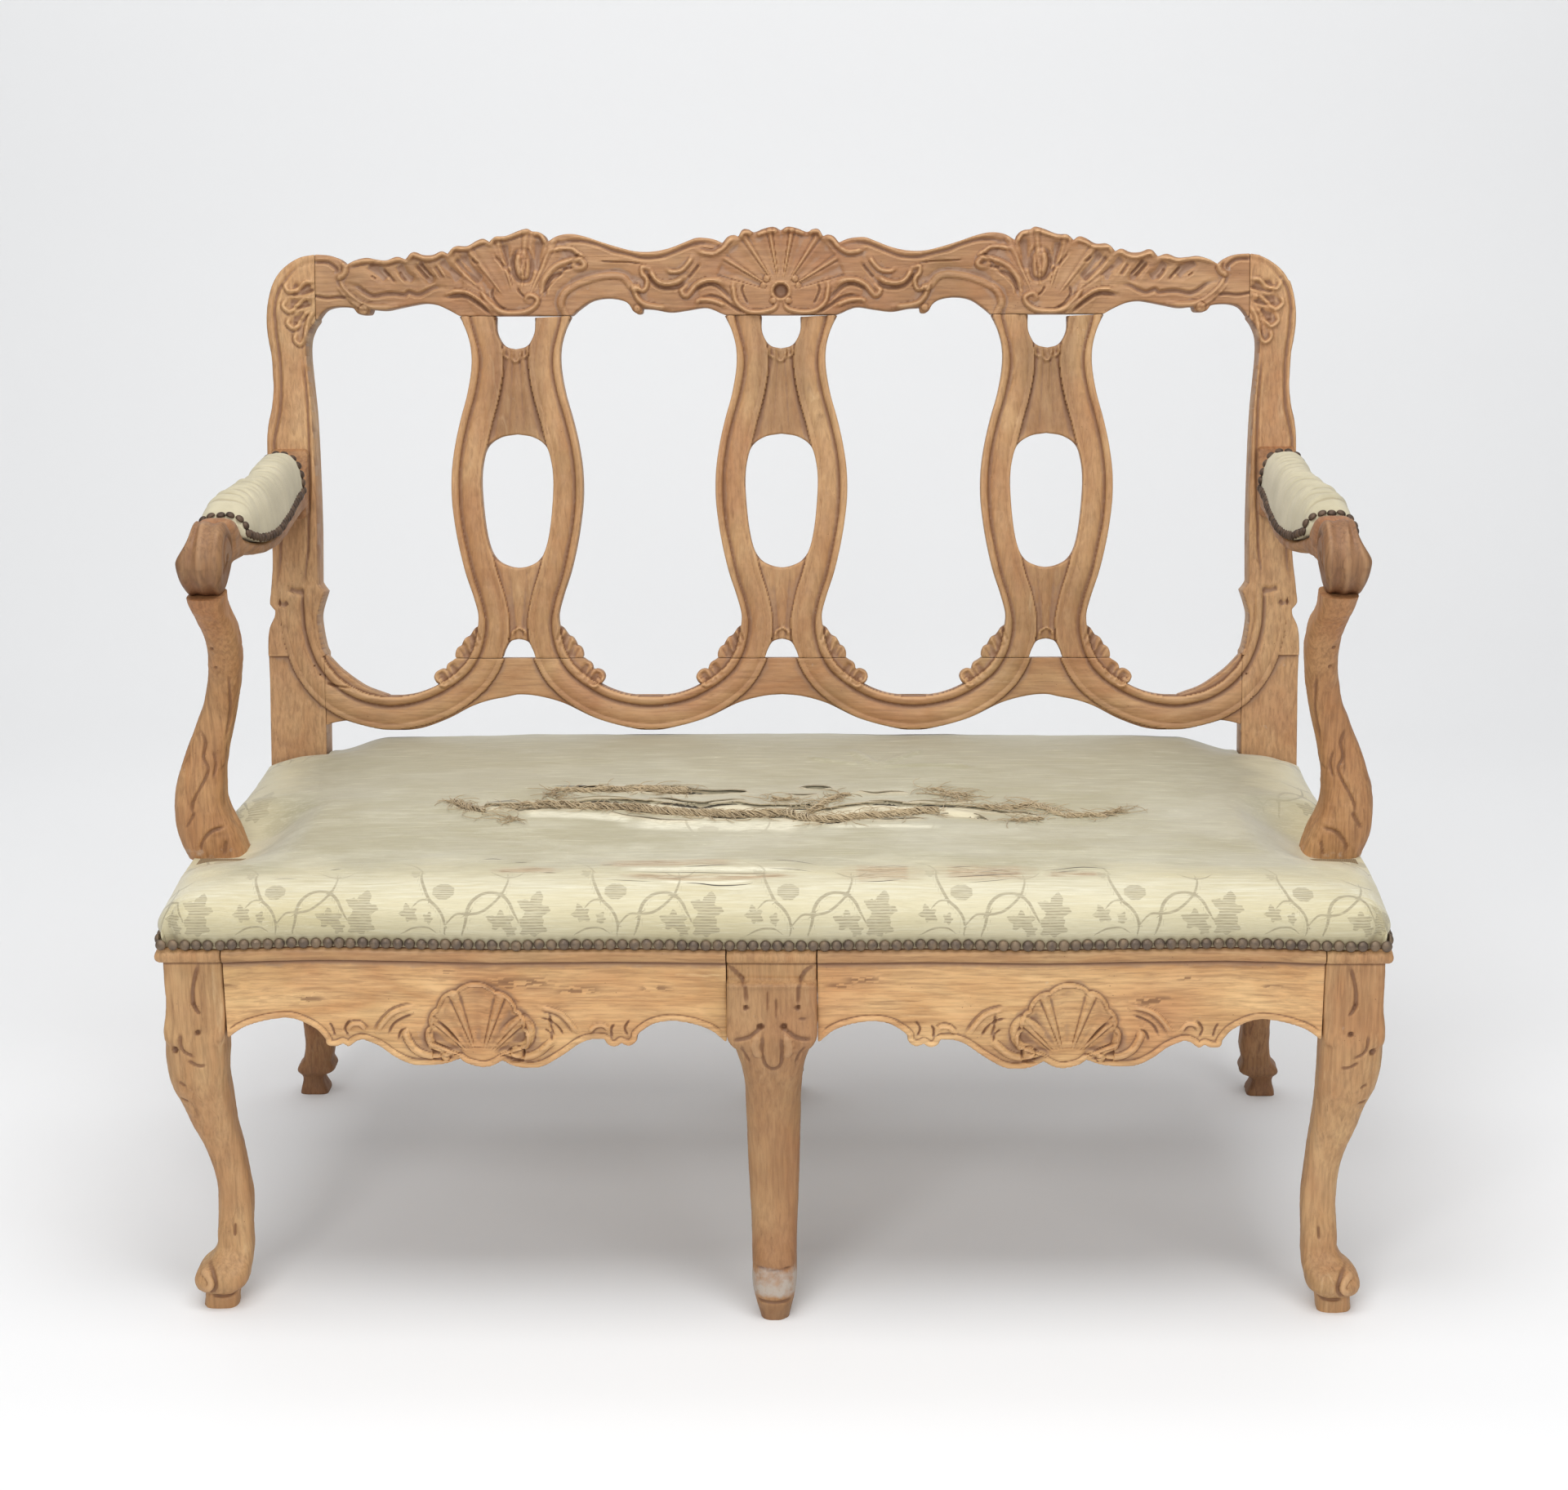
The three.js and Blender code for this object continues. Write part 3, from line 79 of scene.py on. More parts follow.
def noise2(x, y, size, seed):
    """Smooth noise from -1 to 1, with features about size across."""
    grid = np.random.default_rng(seed).random((LATTICE, LATTICE))
    fx, fy = np.asarray(x) / size + NOISE_SHIFT, np.asarray(y) / size + NOISE_SHIFT
    ix, iy = np.floor(fx).astype(int), np.floor(fy).astype(int)
    tx, ty = fx - ix, fy - iy
    tx, ty = tx * tx * (3 - 2 * tx), ty * ty * (3 - 2 * ty)
    i0, i1, j0, j1 = ix % LATTICE, (ix + 1) % LATTICE, iy % LATTICE, (iy + 1) % LATTICE
    a = grid[i0, j0] * (1 - tx) + grid[i1, j0] * tx
    b = grid[i0, j1] * (1 - tx) + grid[i1, j1] * tx
    return 2 * (a * (1 - ty) + b * ty) - 1


def hand_cut(x, y, size, seed, amount):
    """Unevenness of hand-cut wood: broad waves with smaller ones on them."""
    return amount * noise2(x, y, size, seed) + 0.4 * amount * noise2(x, y, size / 4, seed + 1)


def smoothstep(low, high, x):
    t = np.clip((x - low) / (high - low), 0, 1)
    return t * t * (3 - 2 * t)


def unit(v):
    return v / np.maximum(np.linalg.norm(v, axis=-1, keepdims=True), TINY)


def lengths(line):
    """Length along a line up to each of its points."""
    return np.concatenate([[0], np.cumsum(np.linalg.norm(np.diff(line, axis=0), axis=1))])


def window(X, Y, low, high):
    """The slices of a grid that lie in a box."""
    i, j = np.searchsorted(X[:, 0], [low[0], high[0]]), np.searchsorted(Y[0], [low[1], high[1]])
    return slice(i[0], i[1]), slice(j[0], j[1])


def smooth(points, step=2.0, closed=False):
    """A curve through the points, with samples about step apart."""
    p = np.asarray(points, float)
    if len(p) < 3:
        n = max(1, int(np.linalg.norm(p[-1] - p[0]) / step))
        t = np.linspace(0, 1, n + 1)[:, None]
        return p[0] * (1 - t) + p[-1] * t
    if closed:
        q = np.vstack([p[-1], p, p[0], p[1]])
    else:
        q = np.vstack([2 * p[0] - p[1], p, 2 * p[-1] - p[-2]])
    out = []
    for k in range(1, len(q) - 2):
        a, b, c, d = q[k - 1], q[k], q[k + 1], q[k + 2]
        n = max(1, int(math.ceil(np.linalg.norm(c - b) / step)))
        t = (np.arange(n) / n)[:, None]
        out.append(0.5 * (2 * b + (c - a) * t + (2 * a - 5 * b + 4 * c - d) * t ** 2
                          + (3 * b - a - 3 * c + d) * t ** 3))
    if not closed:
        out.append(p[-1:])
    return np.vstack(out)


def joined(*runs):
    """Smooth runs that meet at corners."""
    parts = [smooth(runs[0])]
    parts += [smooth(run)[1:] for run in runs[1:]]
    return np.vstack(parts)


def flipped(points, middle=0):
    """The mirror image of a run about an upright line, in reverse order."""
    p = np.asarray(points, float)[::-1].copy()
    p[:, 0] = 2 * middle - p[:, 0]
    return p


def moved(points, du):
    return np.asarray(points, float) + [du, 0.0]


def rows_at(table, t):
    """Columns of a table at places t along its first column, on smooth curves."""
    table = np.asarray(table, float)
    x, y = table[:, 0], table[:, 1:]
    slope = np.gradient(y, x, axis=0)
    t = np.clip(np.asarray(t, float), x[0], x[-1])
    k = np.clip(np.searchsorted(x, t, side="right") - 1, 0, len(x) - 2)
    h = (x[k + 1] - x[k])[:, None]
    s = ((t - x[k])[:, None]) / h
    return (y[k] * (2 * s ** 3 - 3 * s ** 2 + 1) + y[k + 1] * (3 * s ** 2 - 2 * s ** 3)
            + slope[k] * h * (s ** 3 - 2 * s ** 2 + s) + slope[k + 1] * h * (s ** 3 - s ** 2))


def blurred(a, reach):
    """A box blur on a grid, run twice."""
    n = max(1, int(reach))
    for axis in (0, 1, 0, 1):
        pad = [(0, 0), (0, 0)]
        pad[axis] = (n + 1, n)
        c = np.cumsum(np.pad(a, pad, mode="edge"), axis=axis)
        if axis == 0:
            a = (c[2 * n + 1:] - c[:-2 * n - 1]) / (2 * n + 1)
        else:
            a = (c[:, 2 * n + 1:] - c[:, :-2 * n - 1]) / (2 * n + 1)
    return a


# Meshes
def new_object(name, points, faces, material, sharp=None, **attributes):
    """An object from points in metres and arrays of faces, each array with one number of corners."""
    mesh = bpy.data.meshes.new(name)
    faces = [np.asarray(f, np.int32) for f in faces if len(f)]
    corners = np.concatenate([f.ravel() for f in faces])
    sizes = np.concatenate([np.full(len(f), f.shape[1], np.int32) for f in faces])
    mesh.vertices.add(len(points))
    mesh.vertices.foreach_set("co", np.asarray(points, np.float32).ravel())
    mesh.loops.add(len(corners))
    mesh.loops.foreach_set("vertex_index", corners)
    mesh.polygons.add(len(sizes))
    mesh.polygons.foreach_set("loop_start", np.concatenate([[0], np.cumsum(sizes)[:-1]]).astype(np.int32))
    mesh.update(calc_edges=True)
    mesh.validate()
    for key, value in attributes.items():
        layer = mesh.attributes.new(key, "FLOAT", "POINT")
        layer.data.foreach_set("value", np.asarray(value, np.float32))
    mesh.shade_smooth()
    if sharp is not None:
        mesh.set_sharp_from_angle(angle=math.radians(sharp))
    mesh.materials.append(material)
    made = bpy.data.objects.new(name, mesh)
    bpy.context.scene.collection.objects.link(made)
    return made


def in_frame(points):
    return points * MM + SHIFT


def on_back(u, v, w):
    """Points of the raked back board: across, up and towards the viewer."""
    u, v, w = np.broadcast_arrays(u, v, w)
    depth = BOARD_ORIGIN[1] + v * math.sin(RAKE) - w * math.cos(RAKE)
    height = BOARD_ORIGIN[2] + v * math.cos(RAKE) + w * math.sin(RAKE)
    return np.stack([u, depth, height], -1)


def near_line(px, py, line):
    """Distance to a line, its sign (left of the line positive) and the share of the line's length there."""
    a, b = line[:-1], line[1:]
    along = b - a
    size2 = np.maximum((along ** 2).sum(1), TINY)
    reach = np.concatenate([[0], np.cumsum(np.sqrt(size2))])
    best = np.full(px.shape, np.inf)
    side = np.zeros(px.shape)
    share = np.zeros(px.shape)
    for k in range(len(a)):
        dx, dy = px - a[k, 0], py - a[k, 1]
        t = np.clip((dx * along[k, 0] + dy * along[k, 1]) / size2[k], 0, 1)
        ex, ey = dx - t * along[k, 0], dy - t * along[k, 1]
        d = ex * ex + ey * ey
        hit = d < best
        best[hit] = d[hit]
        side[hit] = (along[k, 0] * ey - along[k, 1] * ex)[hit]
        share[hit] = ((reach[k] + t * math.sqrt(size2[k])) / reach[-1])[hit]
    return np.sqrt(best), np.where(side >= 0, 1.0, -1.0), share


def near_on(X, Y, line, reach):
    """Window of a grid about a line, with near_line's three values in it."""
    win = window(X, Y, line.min(0) - reach, line.max(0) + reach)
    return (win, *near_line(X[win], Y[win], line))


# Cross sections of the carver's strokes: places across in millimetres, then heights
STROKES = {
    "groove": ([-3.4, -1.9, -0.7, 0.7, 1.9, 3.4], [0.4, -0.3, -1.8, -1.8, -0.3, 0.4], 4.0),
    "rib": ([-3.6, -2.6, -1.2, 0, 1.2, 2.6, 3.6], [-0.5, 0.8, 2.2, 2.7, 2.2, 0.8, -0.5], 4.2),
    "lip": ([-4.5, -2.2, -0.6, 1.4, 3.2], [-0.8, -0.2, 2.4, 2.8, 0.4], 5.0),
    "scoop": ([-9, -6, -3, 0, 3, 6, 9], [0.3, -0.7, -2.3, -3.0, -2.3, -0.7, 0.3], 10.0),
    "bead": ([-3.2, -2.6, -1.4, 0, 1.4, 2.6, 3.2], [-0.6, 0.7, 1.7, 2.1, 1.7, 0.7, -0.6], 3.8),
}
BLOB_RADIUS, BLOB_HEIGHT = 4.2, 2.6
PIT_RADIUS, PIT_DEPTH = 3.0, 5.0
STROKE_TAPER, STROKE_END = 0.16, 0.25
STROKE_STEP = 2.5


def cut_height(kind, size, d, side, share):
    """Height that a stroke leaves at a distance from its line: its ends run out."""
    places, heights, _ = STROKES[kind]
    ends = smoothstep(0, STROKE_TAPER, share) * smoothstep(0, STROKE_TAPER, 1 - share)
    ends = STROKE_END + (1 - STROKE_END) * ends
    return np.interp(d * side / size, places, heights) * math.sqrt(size) * ends


def dome(d):
    """A half ball's height at a distance from its middle, both in radii."""
    return np.sqrt(np.maximum(0, 1 - d * d))


class Relief:
    """A board's front as heights on a grid, inside an outline with holes."""

    def __init__(self, outline, holes=(), step=CARVE_STEP):
        self.loops = [np.asarray(loop, float) for loop in (outline, *holes)]
        self.step = step
        low, high = self.loops[0].min(0) - 2 * step, self.loops[0].max(0) + 2 * step
        u = np.arange(low[0], high[0] + step, step)
        v = np.arange(low[1], high[1] + step, step)
        self.U, self.V = np.meshgrid(u, v, indexing="ij")
        self.h = np.zeros(self.U.shape)
        self.ease = np.ones(self.U.shape)
        self.tone = np.zeros(self.U.shape)
        self.edge = self._edge(u, v)

    def _edge(self, us, vs, reach=12.0):
        """Distance from the outline, positive inside, known up to reach."""
        far = np.full(self.U.shape, reach)
        cross = np.zeros(self.U.shape, int)
        for loop in self.loops:
            ends = np.roll(loop, -1, axis=0)
            for (ax, ay), (bx, by) in zip(loop, ends):
                win = window(self.U, self.V, (min(ax, bx) - reach, min(ay, by) - reach),
                             (max(ax, bx) + reach, max(ay, by) + reach))
                dx, dy = self.U[win] - ax, self.V[win] - ay
                lx, ly = bx - ax, by - ay
                t = np.clip((dx * lx + dy * ly) / max(lx * lx + ly * ly, TINY), 0, 1)
                d = np.hypot(dx - t * lx, dy - t * ly)
                far[win] = np.minimum(far[win], d)
                if ay != by:
                    rows = np.nonzero((vs >= min(ay, by)) & (vs < max(ay, by)))[0]
                    at = np.searchsorted(us, ax + (vs[rows] - ay) * lx / ly)
                    np.add.at(cross, (np.minimum(at, len(us) - 1), rows), 1)
        inside = np.cumsum(cross, axis=0) % 2 == 1
        return np.where(inside, far, -far)

    def near(self, line, reach):
        return near_on(self.U, self.V, np.asarray(line, float), reach)

    def strokes(self, table, mirror=False, du=0.0, turn=1, depth=1.0):
        """Strokes of the carver's tool along smooth lines, and round knobs."""
        for kind, size, points in table:
            for sign in ((1, -1) if mirror else (turn,)):
                line = np.asarray(points, float) * [sign, 1] + [du, 0]
                if kind == "blob":
                    self.blob(line[0], BLOB_RADIUS * size, BLOB_HEIGHT * size)
                    continue
                reach = STROKES[kind][2] * size
                win, d, side, share = self.near(smooth(line, STROKE_STEP), reach)
                fade = 1 - smoothstep(0.8 * reach, reach, d)
                self.h[win] += depth * cut_height(kind, size, d, side, share) * fade

    def blob(self, centre, radius, height):
        """A round knob with a cut about it."""
        centre = np.asarray(centre, float)
        win = window(self.U, self.V, centre - 2 * radius, centre + 2 * radius)
        d = np.hypot(self.U[win] - centre[0], self.V[win] - centre[1]) / radius
        self.h[win] += height * dome(d) - 0.9 * np.exp(-((d - 1.12) / 0.14) ** 2)

    def band(self, line, half, places, heights):
        """A moulding laid along a line: half is its half width, places run from -1 to 1 across it."""
        win, d, side, _ = self.near(line, half + 3)
        q = -d * side / half
        self.h[win] = np.where(np.abs(q) <= 1, np.interp(q, places, heights), self.h[win])

    def fan(self, centre, bounds, inner, reach, depth, squash=1.0):
        """Scooped lobes between ridges that spread from a centre: bounds are degrees from upright."""
        dx, dy = self.U - centre[0], (self.V - centre[1]) / squash
        angle, far = np.degrees(np.arctan2(dx, dy)), np.hypot(dx, dy)
        k = np.interp(angle, bounds, np.arange(len(bounds)), left=-1, right=-1)
        share = k - np.floor(k)
        ridge = (np.minimum(share, 1 - share) - 0.13) / 0.05
        lobe = 1.25 * np.abs(2 * share - 1) ** 1.6 - 1.0 - 0.7 * np.exp(-ridge ** 2)
        held = (k >= 0) & (k < len(bounds) - 1)
        ends = smoothstep(inner, inner + 16, far) * smoothstep(reach, reach - 5, far)
        self.h += np.where(held, depth * lobe, 0) * ends

    def wear(self, seed, amount):
        self.h += hand_cut(self.U, self.V, 14.0, seed, amount)

    def joint(self, *points):
        """A joint with another piece, where the edge is hardly rounded."""
        win, d, _, _ = self.near(points, 5)
        self.ease[win] = np.minimum(self.ease[win], np.interp(d, [2.5, 5], [0.3, 1]))

    def build(self, name, place, thickness, material, round_edge=2.0, back_edge=0.8, sharp=50):
        """The board as an object: its carved front, its walls and its flat back with eased edges."""
        r = round_edge * self.ease
        h = self.h - r + np.sqrt(np.maximum(0, r ** 2 - (r - np.clip(self.edge, 0, r)) ** 2))
        near, wide = (h - blurred(h, reach / self.step) for reach in (2.2, 7.0))
        fields = [self.U, self.V, h, near, wide, self.tone]
        faces, loops, (u, v, w, cavity, dip, tone) = marched(self.edge, fields)
        count = len(u)
        rim = np.concatenate(loops)
        order = np.full(count, -1)
        order[rim] = np.arange(len(rim))
        out = np.concatenate([rim_normals(np.stack([u[loop], v[loop]], 1)) for loop in loops])
        points = [place(u, v, w)]
        for inset, depth in ((0.0, back_edge - thickness), (-back_edge, -thickness)):
            across, up = u[rim] + out[:, 0] * inset, v[rim] + out[:, 1] * inset
            points.append(place(across, up, np.full(len(rim), depth)))
        after = np.concatenate([np.roll(loop, -1) for loop in loops])
        oa, ob = order[rim], order[after]
        middle, back = count, count + len(rim)
        walls = np.concatenate([np.stack([after, rim, middle + oa, middle + ob], 1),
                                np.stack([middle + ob, middle + oa, back + oa, back + ob], 1)])
        flat = [[Vector((u[k], v[k], 0)) for k in loop] for loop in loops]
        lid = back + np.asarray(tessellate_polygon(flat), int)
        pts = np.concatenate(points)
        p, f = pts[lid], pts[faces[0][:1]][0]
        normal = np.cross(p[:, 1] - p[:, 0], p[:, 2] - p[:, 0])
        wrong = normal @ np.cross(f[1] - f[0], f[2] - f[0]) > 0
        lid[wrong] = lid[wrong][:, ::-1]
        plain = np.zeros(2 * len(rim))
        return new_object(name, in_frame(pts), [*faces, walls, lid], material, sharp,
                          cavity=np.concatenate([cavity, plain]), dip=np.concatenate([dip, plain]),
                          stain=np.concatenate([tone, plain]))


def rim_normals(loop):
    """Normals of a closed loop, in its plane and pointing out of the board."""
    t = np.roll(loop, -1, 0) - np.roll(loop, 1, 0)
    t = t + np.roll(t, 1, 0) + np.roll(t, -1, 0)
    return unit(np.stack([t[:, 1], -t[:, 0]], 1))


def marched(s, fields):
    """The part of a grid where s is above 0: its faces, its rims as loops, and the fields at its points."""
    inside = s > 0
    ids = np.full(s.shape, -1)
    ids[inside] = np.arange(inside.sum())
    columns = [f[inside] for f in fields]
    count = int(inside.sum())

    def crossing(first, second):
        nonlocal count
        a, b = s[first], s[second]
        cut = (a > 0) != (b > 0)
        t = np.clip(a[cut] / (a[cut] - b[cut]), 0.03, 0.97)
        number = np.full(a.shape, -1)
        number[cut] = count + np.arange(cut.sum())
        count += int(cut.sum())
        for k, f in enumerate(fields):
            p, q = f[first][cut], f[second][cut]
            columns[k] = np.concatenate([columns[k], p + (q - p) * t])
        return number

    along_u = crossing((slice(0, -1), slice(None)), (slice(1, None), slice(None)))
    along_v = crossing((slice(None), slice(0, -1)), (slice(None), slice(1, None)))
    ring = [ids[:-1, :-1], along_u[:, :-1], ids[1:, :-1], along_v[1:, :],
            ids[1:, 1:], along_u[:, 1:], ids[:-1, 1:], along_v[:-1, :]]
    bits = [inside[:-1, :-1], inside[1:, :-1], inside[1:, 1:], inside[:-1, 1:]]
    case = sum(b.astype(int) << k for k, b in enumerate(bits))
    faces, rims = {}, []
    for c in range(1, 16):
        at = case == c
        if not at.any():
            continue
        if c in (5, 10):
            for k in ((0, 4) if c == 5 else (2, 6)):
                before, here, after = (ring[(k + step) % 8][at] for step in (-1, 0, 1))
                faces.setdefault(3, []).append(np.stack([before, here, after], 1))
                rims.append(np.stack([after, before], 1))
            continue
        held = [c >> k & 1 for k in range(4)]
        crossed = [held[k] != held[(k + 1) % 4] for k in range(4)]
        keep = [k for k in range(8) if (crossed if k % 2 else held)[k // 2]]
        faces.setdefault(len(keep), []).append(np.stack([ring[k][at] for k in keep], 1))
        if c != 15:
            odd = [k for k in keep if k % 2 == 1]
            leave = next(k for k in odd if held[k // 2])
            back = next(k for k in odd if k != leave)
            rims.append(np.stack([ring[leave][at], ring[back][at]], 1))
    left = dict(np.concatenate(rims).tolist())
    loops = []
    while left:
        k = next(iter(left))
        loop = []
        while k in left:
            loop.append(k)
            k = left.pop(k)
        loops.append(np.array(loop))
    faces = [np.concatenate(faces[n]) for n in sorted(faces, key=lambda n: n != 4)]
    return faces, loops, columns


def tube_rings(rings, name, material, sharp=None, **attributes):
    """A closed body from rings of points: an array of ring, point, axis."""
    n, m, _ = rings.shape
    k = np.arange(m)
    i = np.arange(n - 1)[:, None] * m
    a, b = i + k, i + (k + 1) % m
    quads = np.stack([a, b, b + m, a + m], -1).reshape(-1, 4)
    points = rings.reshape(-1, 3)
    ends = np.stack([rings[0].mean(0), rings[-1].mean(0)])
    low, high = n * m, n * m + 1
    caps = np.concatenate([
        np.stack([np.full(m, low), (k + 1) % m, k], 1),
        np.stack([np.full(m, high), (n - 1) * m + k, (n - 1) * m + (k + 1) % m], 1)])
    points = np.concatenate([points, ends])
    v0, v1, v2 = (points[quads[:, corner]] for corner in range(3))
    if np.einsum("ij,ij->i", v0, np.cross(v1, v2)).sum() < 0:
        quads, caps = quads[:, ::-1], caps[:, ::-1]
    padded = {key: np.concatenate([np.asarray(x).ravel(), [0.0, 0.0]]) for key, x in attributes.items()}
    return new_object(name, in_frame(points), [quads, caps], material, sharp, **padded)


def squircle(count, power):
    """A ring from a circle towards a square, in shares of -1 to 1."""
    a = np.linspace(0, 2 * math.pi, count, endpoint=False)
    c, s = np.cos(a), np.sin(a)
    r = (np.abs(c) ** power + np.abs(s) ** power) ** (-1 / power)
    return np.stack([c * r, s * r], 1)


def ring_normals(rings):
    """Outward normals on a grid of rings."""
    around = np.roll(rings, -1, 1) - np.roll(rings, 1, 1)
    along = np.gradient(rings, axis=0)
    n = unit(np.cross(around, along))
    outward = rings - rings.mean(1, keepdims=True)
    return n * np.sign((n * outward).sum(2).mean())


# Materials
class Nodes:
    """A small writer of shader nodes."""

    def __init__(self, name):
        self.material = bpy.data.materials.new(name)
        self.material.use_nodes = True
        self.tree = self.material.node_tree
        self.shader = self.tree.nodes["Principled BSDF"]
        self.place = self.tree.nodes.new("ShaderNodeTexCoord").outputs["Object"]

    def link(self, value, socket):
        if isinstance(value, bpy.types.NodeSocket):
            self.tree.links.new(value, socket)
        else:
            socket.default_value = value

    def node(self, kind, inputs=(), **settings):
        made = self.tree.nodes.new(kind)
        for key, value in settings.items():
            setattr(made, key, value)
        for key, value in dict(inputs).items():
            self.link(value, made.inputs[key])
        return made

    def math(self, operation, a, b=0.0, c=0.0):
        made = self.node("ShaderNodeMath", {0: a, 1: b, 2: c}, operation=operation)
        return made.outputs[0]

    def added(self, value, times, base):
        return self.math("MULTIPLY_ADD", value, times, base)

    def attribute(self, name):
        return self.node("ShaderNodeAttribute", attribute_name=name).outputs["Fac"]

    def scaled(self, scale, offset=(0, 0, 0)):
        inputs = {"Vector": self.place, "Scale": scale, "Location": offset}
        return self.node("ShaderNodeMapping", inputs).outputs[0]

    def noise(self, vector, scale, detail=3.0, rough=0.55, distortion=0.0):
        made = self.node("ShaderNodeTexNoise", {"Vector": vector, "Scale": scale, "Detail": detail,
                                                "Roughness": rough, "Distortion": distortion})
        return made.outputs["Fac"]

    def voronoi(self, scale):
        inputs = {"Vector": self.place, "Scale": scale}
        return self.node("ShaderNodeTexVoronoi", inputs).outputs["Distance"]

    def weave(self, scale, distortion, **inputs):
        """Warp and weft threads."""
        inputs = {"Vector": self.place, "Scale": scale, "Distortion": distortion, **inputs}
        return [self.node("ShaderNodeTexWave", inputs, bands_direction=axis).outputs["Fac"] for axis in "XY"]

    def spread(self, value, low, high, to_low=0.0, to_high=1.0):
        made = self.node("ShaderNodeMapRange", {"Value": value, "From Min": low, "From Max": high,
                                                "To Min": to_low, "To Max": to_high})
        return made.outputs[0]

    def mix(self, share, a, b, blend="MIX"):
        made = self.node("ShaderNodeMix", data_type="RGBA", blend_type=blend)
        self.link(share, made.inputs[0])
        self.link(a if isinstance(a, bpy.types.NodeSocket) else (*a, 1), made.inputs[6])
        self.link(b if isinstance(b, bpy.types.NodeSocket) else (*b, 1), made.inputs[7])
        return made.outputs[2]

    def bump(self, height, distance, strength):
        inputs = {"Height": height, "Distance": distance, "Strength": strength}
        return self.node("ShaderNodeBump", inputs).outputs[0]

    def finish(self, **sockets):
        for key, value in sockets.items():
            self.link(value, self.shader.inputs[key.replace("_", " ")])
        return self.material


TAN, TAN_LIGHT, TAN_DARK = (0.50, 0.255, 0.112), (0.64, 0.385, 0.195), (0.135, 0.055, 0.022)
TAN_RED, TAN_OLIVE, TAN_ROSE = (0.44, 0.185, 0.080), (0.37, 0.235, 0.105), (0.62, 0.36, 0.19)
TAN_PALE, HOLLOW, DEEP_HOLLOW = (0.74, 0.50, 0.29), (0.24, 0.105, 0.042), (0.185, 0.080, 0.034)
CHALK, LIME = (0.40, 0.33, 0.27), (0.56, 0.52, 0.46)
BARE_DARK, BARE_LIGHT, BARE_PORE = (0.36, 0.22, 0.12), (0.46, 0.31, 0.18), (0.15, 0.08, 0.04)
JUTE_DARK, JUTE_LIGHT, JUTE_GAP = (0.30, 0.21, 0.11), (0.43, 0.32, 0.19), (0.12, 0.08, 0.04)


def stretched(grain, along, across):
    """The scales of a noise that is drawn out along one axis."""
    return tuple(along if k == grain else across for k in range(3))


def wood(name, grain, tint=(1, 1, 1), residue=1.0, streaky=0.6):
    """Stripped, waxed wood: grain is the axis that its fibres follow."""
    n = Nodes(name)
    fibre = n.noise(n.scaled(stretched(grain, 5.0, 75.0)), 4.0, 5.0, 0.62, 0.4)
    veins = n.noise(n.scaled(stretched(grain, 1.6, 26.0), (4, 2, 7)), 3.0, 5.0, 0.66, 0.9)
    figure = n.noise(n.scaled(stretched(grain, 2.2, 9.0)), 2.6, 3.0, 0.55, 1.2)
    cloud = n.noise(n.place, 9.0, 3.0, 0.5)
    grime = n.noise(n.place, 70.0, 4.0, 0.6)
    colour = n.mix(n.spread(figure, 0.32, 0.68), TAN, TAN_LIGHT)
    colour = n.mix(n.spread(cloud, 0.45, 0.72, 0.0, 0.6), colour, TAN_RED)
    patina = n.noise(n.scaled((6.0, 6.0, 6.0), (2, 9, 4)), 1.0, 4.0, 0.65)
    colour = n.mix(n.spread(patina, 0.52, 0.70, 0.0, 0.5), colour, TAN_OLIVE)
    colour = n.mix(n.spread(patina, 0.46, 0.30, 0.0, 0.35), colour, TAN_ROSE)
    colour = n.mix(n.spread(fibre, 0.30, 0.60, streaky, 0.0), colour, TAN_DARK)
    colour = n.mix(n.spread(veins, 0.38, 0.30, 0.0, 0.9 * streaky), colour, TAN_DARK)
    colour = n.mix(n.spread(veins, 0.62, 0.72, 0.0, 0.35), colour, TAN_PALE)
    colour = n.mix(1.0, colour, tint, "MULTIPLY")
    cavity, dip = n.attribute("cavity"), n.attribute("dip")
    hollow = n.spread(n.added(grime, 0.5, n.math("MULTIPLY", cavity, -1.0)), 0.38, 1.05)
    chalk = n.added(grime, 1.2, n.math("MULTIPLY", dip, -0.5))
    colour = n.mix(n.spread(chalk, 0.95, 1.45, 0.0, 0.5 * residue), colour, CHALK)
    low = n.added(cloud, 0.6, n.math("MULTIPLY", dip, -0.6))
    colour = n.mix(n.spread(low, 0.5, 1.4, 0.0, 0.7), colour, HOLLOW)
    colour = n.mix(n.math("MULTIPLY", hollow, 0.66), colour, DEEP_HOLLOW)
    colour = n.mix(n.spread(cavity, 0.25, 0.95, 0.0, 0.5), colour, TAN_LIGHT)
    lime = n.spread(n.added(grime, 1.5, n.attribute("lime")), 1.05, 1.5, 0.0, 0.85)
    colour = n.mix(lime, colour, LIME)
    # this attribute holds real stains and also painted shade, under the moulding and under the arm scrolls
    colour = n.mix(n.math("MULTIPLY", n.attribute("stain"), 0.75), colour, TAN_DARK)
    speck = n.spread(n.voronoi(150.0), 0.10, 0.04)
    speck = n.math("MULTIPLY", speck, n.spread(n.noise(n.place, 22.0), 0.55, 0.6))
    colour = n.mix(n.math("MULTIPLY", speck, 0.8), colour, TAN_DARK)
    height = n.math("ADD", fibre, n.spread(veins, 0.3, 0.4))
    height = n.math("SUBTRACT", n.added(n.noise(n.place, 120.0), 0.6, height), speck)
    return n.finish(Base_Color=colour, Roughness=n.spread(grime, 0.3, 0.7, 0.50, 0.72),
                    Normal=n.bump(height, 0.0006, 0.55))


